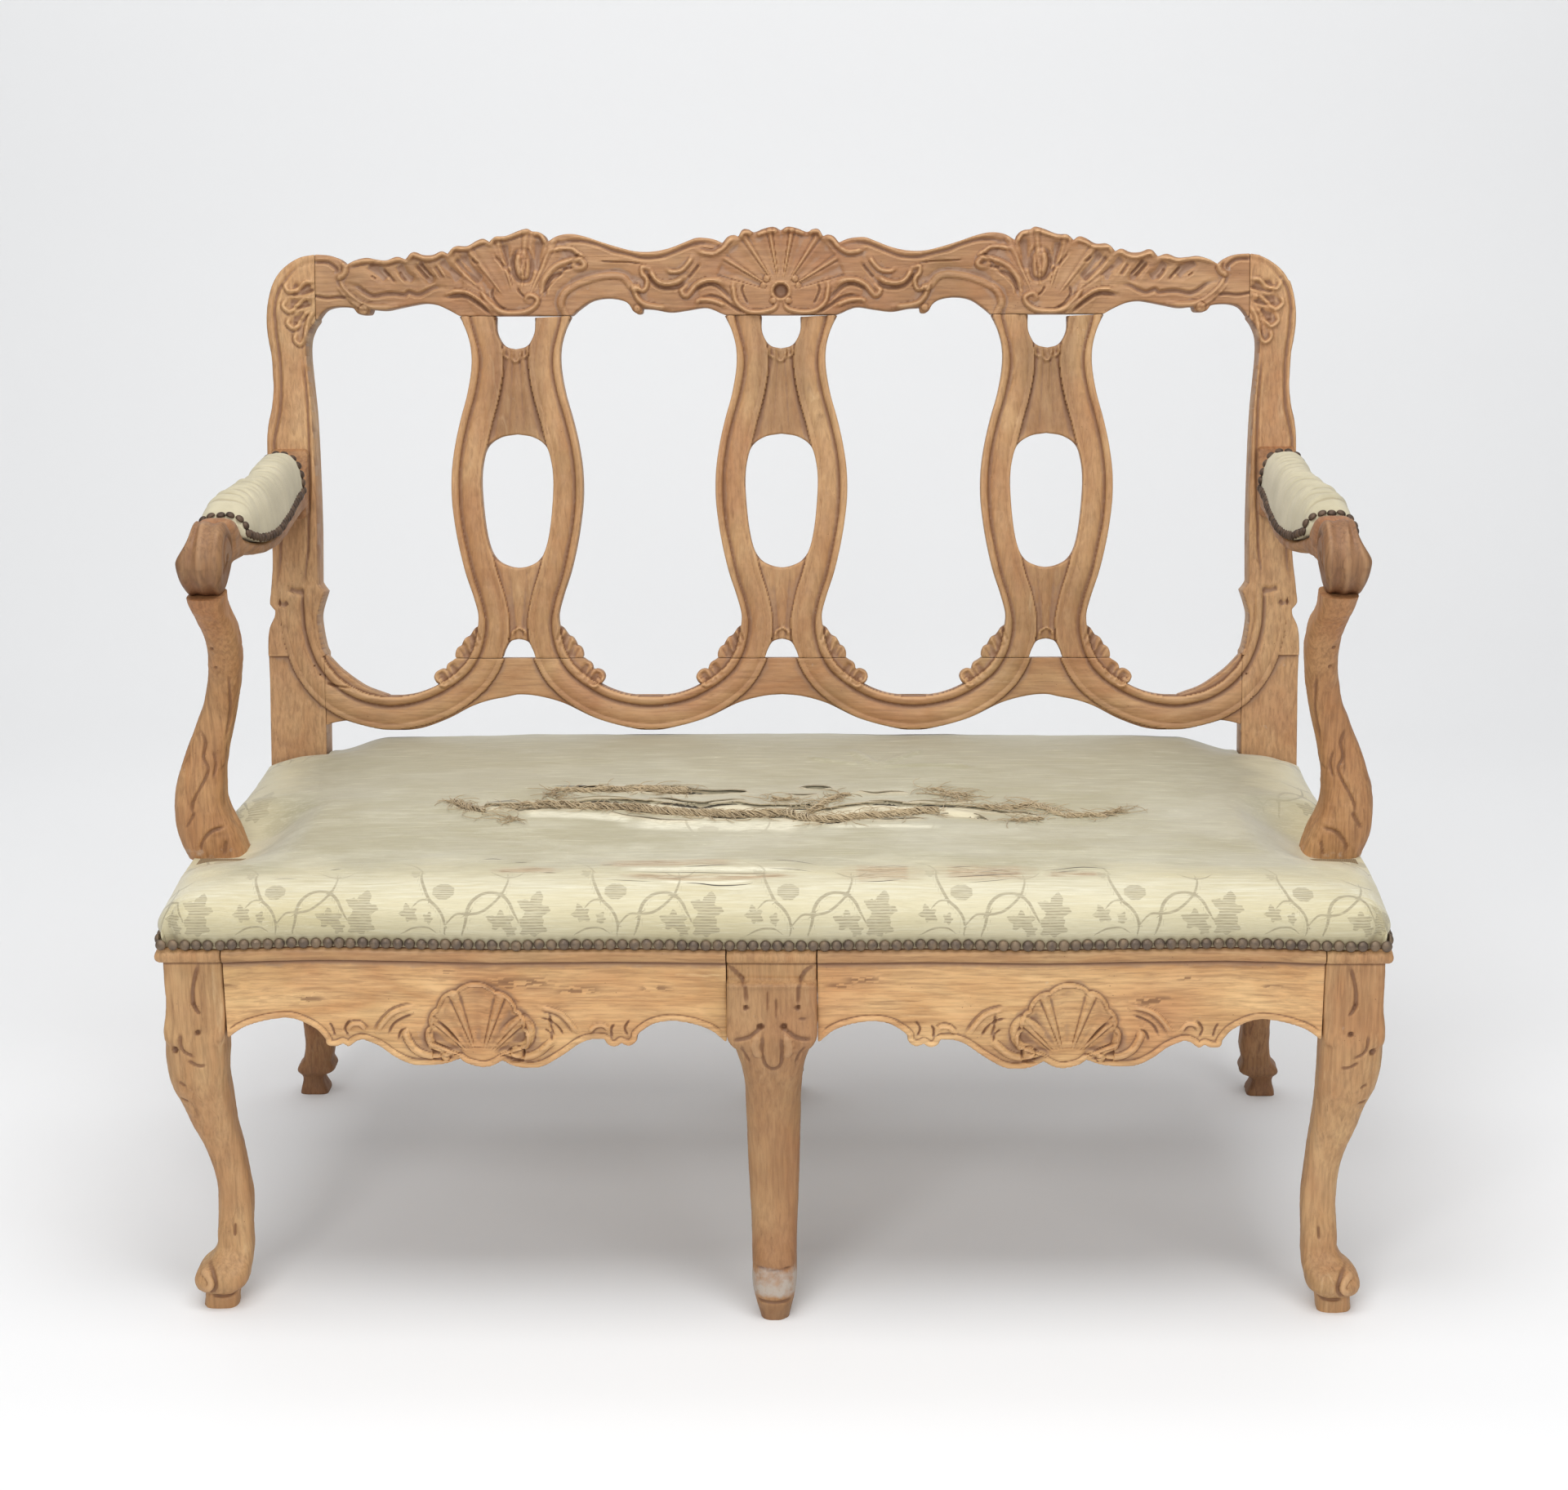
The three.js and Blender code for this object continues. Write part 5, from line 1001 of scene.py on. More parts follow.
SPLAT_CARVING = [
    ("lip", 0.7, [(0, 449), (4, 454), (5, 461)]), ("lip", 0.7, [(8, 454), (13, 458), (14, 464)]),
    ("groove", 0.6, [(7, 465), (6, 456)]), ("lip", 0.6, [(0, 147), (6, 143), (8, 138)]),
]
SPLAT_EARS = [
    ("groove", 1.2, [(50, 147), (47, 139), (44, 131)]), ("groove", 1.2, [(60, 137), (56, 128), (53, 120)]),
    ("groove", 1.0, [(70, 125), (65, 117), (63, 112)]), ("scoop", 0.7, [(56, 141), (52, 132), (49, 124)]),
    ("scoop", 0.7, [(66, 130), (61, 120), (58, 113)]),
]
RAIL_EARS = [
    ("scoop", 0.7, [(80, 106), (74, 97), (70, 90)]), ("groove", 1.2, [(84, 100), (79, 92), (75, 86)]),
    ("scoop", 0.8, [(92, 97), (86, 88), (80, 82)]), ("lip", 0.8, [(97, 90), (92, 83), (86, 80), (81, 84)]),
    ("blob", 0.8, [(90, 86)]),
]
# Two long cracks: one starts at the left post's strand
RAIL_CRACKS = [
    ("groove", 0.8, [(-526, 84), (-510, 80), (-497, 78), (-490, 74)]),
    ("groove", 0.8, [(-350, 60), (-335, 57), (-318, 57), (-300, 54)]),
]


def splat_piece(name, centre, seed):
    half = np.vstack([SPLAT_SIDE, SPLAT_FOOT])
    top = np.vstack([flipped(SPLAT_TOP)[::-1], SPLAT_TOP[::-1][1:]])
    outline = np.vstack([half, flipped(half)[1:], top[:-1]])
    oval = np.vstack([SPLAT_OVAL, flipped(SPLAT_OVAL)[1:-1]])
    r = Relief(outline, [oval])
    r.h -= 3.4
    # fans of flutes in the webs above and below the oval
    for low, high, aim, sign in ((368, 466, 520, 1), (134, 216, 84, -1)):
        inside = smoothstep(low - 14, low, r.V) * smoothstep(high + 14, high, r.V)
        angle = np.arctan2(r.U, np.abs(aim - r.V))
        flute = 1.5 * np.abs(np.cos(angle * (21 if sign < 0 else 27))) - 1.1
        r.h += inside * flute
    r.tone = 0.46 * smoothstep(40, 20, np.abs(r.U)) * smoothstep(352, 380, r.V) + 0.12 * (r.V < 216)
    lay_strands(r, -centre)
    r.strokes(SPLAT_CARVING, mirror=True)
    for turn in (1, -1):
        r.strokes(SPLAT_EARS, turn=turn)
    r.wear(seed, 0.35)
    r.joint((-HEAD_HALF, SPLAT_HEAD), (HEAD_HALF, SPLAT_HEAD))
    r.joint((-TOE_HALF, SPLAT_END), (TOE_HALF, SPLAT_END))

    def place(u, v, w):
        return on_back(u + centre, v, w)

    made = r.build(f"splat_carved_{name}", place, SPLAT_THICK, SPLAT_WOOD)
    settle(made, "carved_wood", f"back_splat_{name}")


def rail_piece():
    upper = [np.array([(0.0, 111.7), (73.0, 111.7)]), RAIL_EAR]
    ear_back = np.stack([SPLAT_PITCH - RAIL_EAR[::-1, 0], RAIL_EAR[::-1, 1]], 1)
    upper += [ear_back[1:], np.array([(SPLAT_PITCH - 73.0, 111.7), (SPLAT_PITCH + 73.0, 111.7)])]
    upper += [moved(RAIL_EAR, SPLAT_PITCH), RAIL_END[1:]]
    upper = np.vstack(upper)
    lower = np.vstack([RAIL_LOW, smooth([(503, 40), (515, 38), (525.7, 35)])[1:]])
    half = np.vstack([upper, lower[::-1]])
    outline = np.vstack([half, flipped(half)[1:-1]])
    r = Relief(outline)
    r.h -= 3.4
    lay_strands(r)
    for centre in SPLAT_PLACES:
        for turn in (1, -1):
            r.strokes(RAIL_EARS, du=centre, turn=turn)
    r.strokes(RAIL_CRACKS, depth=1.6)
    r.wear(41, 0.3)
    for x in SPLAT_PLACES:
        r.joint((x - EAR_HALF, RAIL_HEAD), (x + EAR_HALF, RAIL_HEAD))
    for x in (-RAIL_CHEEK, RAIL_CHEEK):
        r.joint((x, 35), (x, 118))
    settle(r.build("lower_rail_carved", on_back, RAIL_THICK, ACROSS_WOOD), "carved_wood", "lower_back_rail")


# Rear legs: a height, the two edges across, then the two edges in depth
REAR_LEG = [
    (0, 555, 589, 543, 578), (25, 555, 588, 543, 577), (29, 548, 591, 539, 578), (43, 548, 584, 540, 574),
    (61, 545, 580, 537.6, 570), (88, 545.7, 579, 532, 565), (130, 546, 579.3, 522, 558),
    (190, 543.7, 580, 509, 549),
    (250, 536, 581, 500, 544), (300, 530, 586, 495, 540), (343, 527.3, 588.7, 492.8, 538),
    (360, 526.3, 589.7, 492, 538),
    (450, 526.3, 589.7, 492, 538),
]


def leg_rings(table, levels, count, power):
    """Rings between the edges that a table gives."""
    rows = rows_at(table, levels)
    shape = squircle(count, power)
    x0, x1, y0, y1 = (rows[:, k][:, None] for k in range(4))
    x = (x0 + x1) / 2 + (x1 - x0) / 2 * shape[:, 0]
    y = (y0 + y1) / 2 + (y1 - y0) / 2 * shape[:, 1]
    z = np.repeat(np.asarray(levels, float)[:, None], count, 1)
    return np.stack([x, y, z], -1)


def worn(rings, seed, amount):
    """Rings with the unevenness of hand work, and how far it moves each point."""
    lift = hand_cut(rings[..., 0] + 2.3 * rings[..., 1], rings[..., 2], 16.0, seed, amount)
    return rings + ring_normals(rings) * lift[..., None], lift


def join_objects(first, *others):
    """Several meshes as one piece."""
    for o in bpy.context.selected_objects:
        o.select_set(False)
    for o in (first, *others):
        o.select_set(True)
    bpy.context.view_layer.objects.active = first
    with bpy.context.temp_override(active_object=first, selected_editable_objects=[first, *others]):
        bpy.ops.object.join()
    return first


POST_FACE = 0.2


def post_piece(name, side, seed):
    outline = np.vstack([POST_OUTER, POST_INNER])
    if side > 0:
        # the right post is a little slimmer and lower
        outline = outline[::-1].copy()
        outline[:, 0] -= (outline[:, 0] > 545) * 3.5 * smoothstep(190, 260, outline[:, 1])
        outline[:, 1] -= CREST_DROP * (outline[:, 1] > CARVED_ABOVE)
    else:
        outline = outline * [-1, 1]
    r = Relief(outline)
    r.h += POST_FACE
    keep = r.h.copy()
    lay_strands(r)
    fade = smoothstep(200, 175, r.V)
    r.h = keep * (1 - fade) + r.h * fade
    # the plain block below the strand lies lower
    r.h -= np.where((r.V < 115) & (np.abs(r.h - POST_FACE) < 0.01), 3.0, 0)
    r.strokes(POST_TOP, turn=side, depth=1.3)
    r.wear(seed, 0.35)
    r.joint((side * POST_NECK, CREST_END_LOW), (side * POST_NECK, CREST_END_HIGH))
    r.joint((side * POST_CHEEK, 30), (side * POST_CHEEK, 118))
    board = r.build(f"post_carved_{name}", on_back, POST_THICK, POST_WOOD)
    levels = np.concatenate([np.linspace(0, 60, 30), np.linspace(63, 434.2, 90)])
    rings = leg_rings([(z, *sorted((side * a, side * b)), c, d) for z, a, b, c, d in REAR_LEG], levels, 48,
                      5.0)
    rings, lift = worn(rings, seed + 5, 0.5)
    dark = smoothstep(70, 20, rings[..., 2]) * 0.6
    leg = tube_rings(rings, f"rear_leg_{name}", SHADED_REAR_WOOD, cavity=lift * 0.6, dip=lift * 0.5, stain=dark)
    whole = join_objects(board, leg)
    settle(whole, "carved_wood", f"back_post_{name}")


crest_piece()
for place_name, centre, seed in zip(("left", "centre", "right"), SPLAT_PLACES, (21, 24, 27)):
    splat_piece(place_name, centre, seed)
rail_piece()
for place_name, side in SIDES:
    post_piece(place_name, side, 31 + side)

# Seat frame: the aprons, their moulding and the shells carved in them
SWEEP = [(46, 0), (101, 1.6), (156, 3.4), (215, 2), (276, 0), (368, 4.8), (457, 8), (510, 4.8), (556, 0)]
APRON_DROP = 2.5
APRON_LOW = joined(
    [(46.3, 312), (49, 312), (62, 323), (80, 330), (101, 333), (119, 330), (132, 322), (137, 317)],
    [(137, 317), (138, 311), (143, 306), (147, 305), (151, 306), (154, 307.5)],
    [(154, 307.5), (158, 304.5), (163, 304), (168, 306.5), (171, 312)],
    [(171, 312), (184, 312), (197, 307), (215, 294), (237, 282), (259, 282), (276, 289)],
    [(276, 289), (288, 283), (299, 282), (312, 285.5), (319, 290)],
    [(319, 290), (334, 285), (347, 283), (368, 283), (386, 291), (402, 303), (418, 310)],
    [(418, 310), (425, 308), (433, 302), (439, 305)],
    [(439, 305), (446, 302), (455, 303), (457, 310)],
    [(457, 310), (467, 322), (488, 333), (510, 333), (537, 326), (555.7, 314)])
MOULD_PLACES = [395.2, 396.2, 398, 400.5, 402.5, 404.5, 407, 408.8, 409.8]
MOULD_HEIGHTS = [0, 4.2, 6.0, 6.9, 7.1, 6.9, 6.0, 3.8, 0]
APRON_CARVING = [
    ("rib", 1.3, [(374, 324), (373, 312), (365, 298), (351, 291), (335, 292), (322, 296)]),
    ("rib", 1.3, [(274, 296), (261, 292), (248, 292), (237, 297), (229, 304), (222, 309)]),
    ("groove", 1.0, [(226, 338), (225, 325), (222, 313)]),
    ("lip", 1.1, [(236, 345), (226, 343), (215, 338), (206, 328), (199, 317)]),
    ("groove", 0.9, [(236, 334), (227, 331), (218, 324), (212, 314)]),
    ("groove", 0.8, [(232, 322), (226, 317), (224, 308)]),
    ("lip", 1.1, [(364, 345), (376, 343), (388, 337), (398, 326), (404, 316)]),
    ("groove", 0.9, [(366, 336), (376, 332), (386, 325), (392, 314)]),
    ("groove", 0.8, [(372, 322), (379, 317), (382, 308)]),
    ("rib", 1.5, [(272, 319), (262, 329), (253, 333), (246, 324), (247, 311), (253, 304), (264, 304)]),
    ("blob", 1.6, [(260, 297)]), ("groove", 1.1, [(346, 331), (333, 322), (324, 311), (319, 302)]),
    ("rib", 1.3, [(350, 318), (347, 303), (336, 297), (326, 293)]), ("blob", 1.1, [(334, 290)]),
    ("lip", 0.9, [(186, 318), (180, 324), (172, 325), (166, 320)]),
    ("lip", 0.9, [(414, 318), (420, 325), (428, 325), (434, 319)]),
    ("groove", 0.9, [(147, 313), (150, 322), (145, 331)]),
    ("groove", 0.9, [(163, 312), (164, 320), (161, 326)]),
    ("groove", 0.9, [(433, 311), (436, 320), (431, 329)]),
    ("groove", 0.9, [(447, 311), (449, 320), (452, 326)]),
]
SHELL_BOUNDS = [-88, -66, -44, -18, 18, 44, 66, 88]
# Worm-eaten streaks: across, up and half their length
APRON_MARKS = [(-255, 372, 34), (-196, 364, 22), (-118, 366, 16), (68, 370, 14), (92, 376, 18),
               (385, 352, 24),
               (420, 376, 12), (-470, 352, 14), (505, 368, 10), (-330, 384, 10)]


def sweep_at(x):
    return np.interp(np.abs(x), *np.array(SWEEP).T)


def moulding(z):
    return np.interp(z, MOULD_PLACES, MOULD_HEIGHTS)


BEAD_PLACES = [0, 1.2, 3.2, 5.2, 6.6, 8.2, 10.5]
BEAD_HEIGHTS = [0.4, 1.3, 1.7, 0.9, -1.4, -0.5, 0]


def seat_rail(low, ends, side, step, first, last):
    """A rail of the seat with a bead along its lower edge, which fades at both ends."""
    outline = np.vstack([low, [(ends[1], RAIL_LID), (ends[0], RAIL_LID)]])
    r = Relief(outline if side > 0 else outline[::-1] * [-1, 1], step=step)
    win, d, _, _ = r.near(low[::2] * [side, 1], 12)
    fade = smoothstep(*first, np.abs(r.U[win])) * smoothstep(*last, np.abs(r.U[win]))
    r.h[win] += np.interp(d, BEAD_PLACES, BEAD_HEIGHTS) * fade
    for end in ends:
        r.joint((side * end, 310), (side * end, RAIL_TOP))
    return r


def apron_piece(name, side, seed):
    low = APRON_LOW - np.array([0.0, APRON_DROP])
    r = seat_rail(low, APRON_ENDS, side, CARVE_STEP, (49, 56), (556, 549))
    # the shell stands proud of the rail, with scooped lobes and a lobed rim
    dx, dy = r.U - side * 300, r.V - 302
    angle = np.degrees(np.arctan2(dx, dy))
    rim = 1 / np.sqrt((np.sin(np.radians(angle)) / 53) ** 2 + (np.cos(np.radians(angle)) / 69) ** 2)
    lobe = np.interp(angle, SHELL_BOUNDS, np.arange(len(SHELL_BOUNDS)))
    rim *= 0.95 + 0.06 * np.sin(math.pi * (lobe - np.floor(lobe))) ** 0.7
    past = np.hypot(dx, dy) - rim
    held = smoothstep(96, 84, np.abs(angle))
    r.h += held * np.interp(past, [-9, -5, -2, 0, 1.5, 4, 8], [1.8, 2.8, 3.4, 1.8, -1.2, -0.8, 0])
    plain = r.h.copy()
    r.fan((side * 299, 283), SHELL_BOUNDS, 14, 200, 2.9)
    r.h = np.where(past < -2.5, r.h, plain)
    r.strokes(APRON_CARVING, turn=side, depth=1.4)
    r.h += moulding(r.V)
    # the moulding band is darker; the dark line in the angle under it is painted shadow
    r.tone = 0.50 * smoothstep(394, 396, r.V) * smoothstep(413, 409, r.V)
    r.tone += 0.85 * smoothstep(391.5, 394, r.V) * smoothstep(396.5, 395, r.V)
    r.tone += 0.16 * (past < 0) * held
    for x, z, long in APRON_MARKS:
        if x * side > 0:
            patch = np.exp(-((r.U - x) / long) ** 4 - ((r.V - z) / (0.2 * long)) ** 4)
            r.tone += 0.9 * patch * (noise2(r.U, r.V * 4, 7, 77) > -0.1)
    r.wear(seed, 0.3)

    def place(u, v, w):
        u, v, w = np.broadcast_arrays(u, v, w)
        return np.stack([u, sweep_at(u) * np.clip(1 + w / APRON_THICK, 0, 1) - w, v], -1)

    made = r.build(f"apron_carved_{name}", place, APRON_THICK, APRON_WOOD)
    settle(made, "carved_wood", f"front_rail_{name}")


SIDE_RAIL = [(0, 617, 315), (59, 617.5, 315), (84, 617.8, 330), (123, 618, 334), (162, 617, 321),
             (207, 613.8, 302),
             (246, 608.4, 293), (285, 602.4, 291), (325, 597.3, 295), (364, 593.2, 311), (408, 590.5, 329),
             (448, 589.2, 334), (492, 588.6, 319)]


def side_face(y):
    return rows_at(SIDE_RAIL, np.ravel(y))[:, 0].reshape(np.shape(y))


def side_inner(y):
    return np.interp(y, [61, 492], [617.5 - SIDE_THICK, 588.6 - SIDE_THICK])


def side_rail_piece(name, side, seed):
    y = np.linspace(*SIDE_ENDS, 140)
    low = np.stack([y, rows_at(SIDE_RAIL, y)[:, 1]], 1)
    r = seat_rail(low, SIDE_ENDS, side, RAIL_STEP, (62, 70), (491, 484))
    r.h += moulding(r.V)
    r.wear(seed, 0.3)

    def place(u, v, w):
        u, v, w = np.broadcast_arrays(u, v, w)
        y = np.abs(u)
        face, inner = side_face(y), side_inner(y)
        x = np.where(w > -5, face + w, face + (inner - face) * np.clip(-w / SIDE_THICK, 0, 1))
        return np.stack([side * x, y, v], -1)

    made = r.build(f"side_rail_carved_{name}", place, SIDE_THICK, DEEP_WOOD)
    settle(made, "carved_wood", f"side_rail_{name}")


# Front legs
CORNER_LEG = [
    (0, 566, 602), (12, 565, 601), (17, 564, 601), (20, 562, 606), (26, 556, 610), (36, 553, 609),
    (45, 551, 603),
    (51, 550.5, 595), (59, 550, 589.5), (76, 550, 587.5), (113, 549, 585), (144, 550.5, 586),
    (172, 552, 591),
    (202, 554.5, 600), (232, 556, 608.5), (248, 556.5, 614.5), (270, 557, 619), (300, 556.8, 621),
    (327, 557, 620),
    (340, 556.3, 618), (372, 556.3, 617), (434, 556.3, 617)]


LEG_POINTS, LEG_DEPTH, BLOCK_DEPTH, BLOCK_CUT, FOOT_FORWARD = 132, 0.9, 60.7, 15.0, 9.0
FACING = 0.35
# How far each hand-cut leg and arm support stands further out, by height
LEG_LEAN = {"left": [(120, 0), (200, 4.5), (262, 5), (330, 0)], "right": [(0, 0)]}
SUPPORT_LEAN = {"left": [(434, 9), (500, 9), (600, 4.5), (745, 1)],
                "right": [(434, 0), (500, 0), (600, -4), (745, -2)]}


def carve_rings(rings, normals, strokes):
    """Strokes across a piece's front face, by their place across and up."""
    x, z = rings[..., 0], rings[..., 2]
    lift = np.zeros(x.shape)
    for kind, size, points in strokes:
        line = np.asarray(points, float)
        if kind == "pit":
            d = np.hypot(x - line[0, 0], z - line[0, 1]) / (PIT_RADIUS * size)
            lift -= PIT_DEPTH * size * np.exp(-d ** 4)
            continue
        reach = STROKES[kind][2] * size
        line = smooth(line, 3.0)
        low, high = line.min(0) - reach, line.max(0) + reach
        at = (x > low[0]) & (x < high[0]) & (z > low[1]) & (z < high[1])
        d, side, share = near_line(x[at], z[at], line)
        lift[at] += np.where(d < reach, cut_height(kind, size, d, side, share), 0)
    return lift * np.clip(-normals[..., 1] * 1.4, 0, 1)


LEG_CARVING = [
    ("groove", 1.2, [(581, 392), (585, 378), (588, 364), (588, 350), (583, 340)]),
    ("groove", 0.9, [(590, 352), (586, 342), (582, 338)]),
    ("pit", 1.0, [(608, 299)]), ("pit", 0.8, [(585, 318)]),
    ("groove", 1.0, [(594, 288), (584, 282), (576, 282)]),
    ("groove", 0.9, [(604, 262), (598, 258)]), ("groove", 0.9, [(606, 240), (597, 238)]),
    ("groove", 1.0, [(603, 317), (600, 300), (588, 292)]),
]
FOOT_CARVING = [
    ("groove", 1.2, [(600, 52), (590, 46), (585, 33), (588, 24), (594, 20)]),
    ("bead", 1.2, [(602, 44), (594, 40), (590, 33), (593, 27), (598, 27)]),
    ("groove", 1.0, [(560, 24), (570, 16), (580, 14), (592, 15)]),
    ("groove", 0.8, [(566, 90), (567, 76)]),
]


def painted_shadow_under_moulding(rings):
    """Painted shadow: the dark line in the angle below the moulding."""
    return 0.8 * smoothstep(391.5, 394, rings[..., 2]) * smoothstep(396.5, 395, rings[..., 2])


def front_leg_rings(levels, edges, powers, strokes, seed, amount, corner):
    """Carved rings of a front leg; the moulding crosses its front, and a corner leg's outer face."""
    rings = np.zeros((len(levels), LEG_POINTS, 3))
    for ring, z, (x0, x1, y0, y1), power in zip(rings, levels, edges, powers):
        shape = squircle(LEG_POINTS, power)
        ring[:, 0] = (x0 + x1) / 2 + (x1 - x0) / 2 * shape[:, 0]
        ring[:, 1] = (y0 + y1) / 2 + (y1 - y0) / 2 * shape[:, 1]
        ring[:, 2] = z
    rings, lift = worn(rings, seed, amount)
    n = ring_normals(rings)
    carved = carve_rings(rings, n, strokes)
    band = moulding(rings[..., 2])
    rings = rings + n * carved[..., None]
    rings[..., 1] -= band * (n[..., 1] < -FACING)
    if corner:
        rings[..., 0] += band * (n[..., 0] > FACING)
    return rings, carved, lift


def corner_leg_piece(name, side, seed):
    levels = np.concatenate([np.linspace(0, 24, 22), np.linspace(25, 66, 34), np.linspace(68, 390, 160),
                             np.linspace(391, 412, 28), np.linspace(414, 434, 8)])
    x0, x1 = rows_at(CORNER_LEG, levels).T
    block = smoothstep(300, 330, levels)
    forward = FOOT_FORWARD * smoothstep(130, 30, levels)
    y0 = (SEAT_HALF - x1) * LEG_DEPTH * (1 - block) - forward
    y1 = (SEAT_HALF - x0) * LEG_DEPTH * (1 - block) + BLOCK_DEPTH * block - forward
    # inside the cloth the block is cut back
    back = BLOCK_CUT * smoothstep(409, 412, levels)
    edges = np.stack([x0, x1 - back, y0 + back, y1], 1)
    strokes = LEG_CARVING + FOOT_CARVING
    rings, carved, lift = front_leg_rings(levels, edges, 3.0 + 15.0 * block, strokes, seed, 0.45, True)
    rings[..., 0] *= side
    rings[..., 0] += side * np.interp(rings[..., 2], *np.array(LEG_LEAN[name]).T)
    made = tube_rings(rings, f"leg_carved_{name}", LEG_WOOD, 42, cavity=carved * 0.8 + lift * 0.5,
                      dip=carved * 0.6,
                      stain=painted_shadow_under_moulding(rings))
    settle(made, "carved_wood", f"front_leg_{name}")


# The centre leg: a height, half its width, then its front and back
CENTRE_LEG = [(0, 15, -16, 22), (11, 17.5, -17, 24), (25, 21, -19, 30), (38, 23, -17, 34), (55, 23, -13, 37),
              (91, 23.5, -2, 42), (136, 25.5, 6.8, 44), (180, 27, 6.8, 45), (221, 28, 2, 45),
              (253, 29, -4, 47),
              (282, 33, -11.8, 48), (303, 40, -16, 48.5), (319, 45.6, -16.5, 49), (330, 45.7, -14, 49.5),
              (350, 45.7, -9.5, 49.6),
              (368, 45.7, -7.0, 49.7), (373.5, 45.7, -6.4, 49.7), (376, 45.7, -0.6, 49.7),
              (382, 45.7, 0.1, 49.7),
              (400, 45.7, 0.3, 49.7), (434, 45.7, 0.3, 49.7)]
CENTRE_CARVING = [
    ("groove", 1.2, [(-45, 393), (-37, 386), (-29, 376), (-26, 366), (-25, 354)]),
    ("groove", 1.2, [(43, 393), (34, 386), (28, 374), (27, 362), (26, 352)]),
    ("pit", 0.8, [(-26, 350)]), ("pit", 0.8, [(26, 350)]), ("pit", 0.6, [(31, 339)]),
    ("groove", 0.5, [(-5, 370), (-4, 350), (-3, 336)]), ("groove", 0.5, [(6, 366), (4, 350), (4, 338)]),
    ("pit", 1.0, [(-11.5, 331)]), ("pit", 1.0, [(12, 331)]),
    ("groove", 1.2, [(-12, 330), (-17, 325), (-25, 320), (-39, 317)]),
    ("groove", 1.2, [(12, 330), (18, 325), (26, 320), (39, 318)]),
    ("rib", 1.2, [(-15, 322), (-17, 311), (-15, 301), (-10, 302)]),
    ("rib", 1.2, [(14, 322), (17, 311), (17, 303), (13, 299)]),
    ("groove", 1.1, [(-9, 325), (-10, 306), (-8, 292), (-4, 286), (2, 284), (8, 288), (10, 300), (9, 325)]),
    ("groove", 0.9, [(-32, 312), (-28, 300), (-23, 290)]),
    ("groove", 0.9, [(33, 312), (28, 300), (24, 290)]),
    ("groove", 1.1, [(-20, 24), (0, 22), (20, 24)]), ("groove", 0.8, [(-20, 58), (0, 56), (20, 58)]),
]


def centre_leg_piece():
    levels = np.concatenate([np.linspace(0, 30, 20), np.linspace(32, 240, 90), np.linspace(241, 390, 110),
                             np.linspace(391, 412, 28), np.linspace(414, 434, 8)])
    half, y0, y1 = rows_at(CENTRE_LEG, levels).T
    powers = 2.7 + 15.0 * smoothstep(300, 322, levels)
    edges = np.stack([-half, half, y0, y1], 1)
    rings, carved, lift = front_leg_rings(levels, edges, powers, CENTRE_CARVING, 61, 0.4, False)
    lime = 0.62 * smoothstep(22, 32, rings[..., 2]) * smoothstep(66, 48, rings[..., 2])
    dark = 0.34 * smoothstep(376, 373, rings[..., 2]) + 0.4 * smoothstep(30, 10, rings[..., 2])
    dark = dark + painted_shadow_under_moulding(rings)
    made = tube_rings(rings, "leg_carved_centre", CENTRE_WOOD, 42, cavity=carved * 0.8 + lift * 0.5,
                      dip=carved * 0.6,
                      lime=lime, stain=dark)
    settle(made, "carved_wood", "front_leg_centre")


def rear_centre_piece():
    levels = np.concatenate([np.linspace(0, 60, 30), np.linspace(63, 434, 80)])
    table = []
    for z, a, b, c, d in REAR_LEG:
        half = 60 * (b - a) / 64 / 2
        table.append((z, -half, half, c, min(c + (d - c) * 0.94, 536 if z > 300 else 600)))
    rings, lift = worn(leg_rings(table, levels, 40, 6.0), 71, 0.4)
    made = tube_rings(rings, "rear_leg_plain", PLAIN_UP, cavity=lift * 0.5)
    settle(made, "plain_wood", "rear_leg_centre")


# Arms
ARM_RAIL = [
    (156, 562, 592, 752, 803), (170, 558, 593, 755, 806), (195, 553, 594, 759, 808),
    (215, 553, 597, 757, 799),
    (228, 552, 600, 756, 780), (240, 551, 601, 756, 775), (280, 545, 601, 746, 760),
    (330, 540, 595, 738, 752),
    (400, 539, 587, 733, 750), (480, 541, 588, 730, 752), (545, 541, 585, 727, 754),
    (562, 541.5, 584, 725, 756)]
PAD_START, PAD_END = 233.4, 522.0
PAD_TOP = [(233.4, 791), (239, 800), (251, 807), (278, 812), (332, 811), (398, 807), (478, 804), (510, 801),
           (518, 798), (522, 789)]
KNUCKLE, KNUCKLE_SIZE = (577.5, 146.0, 776.5), (37.5, 24.0, 9.5)


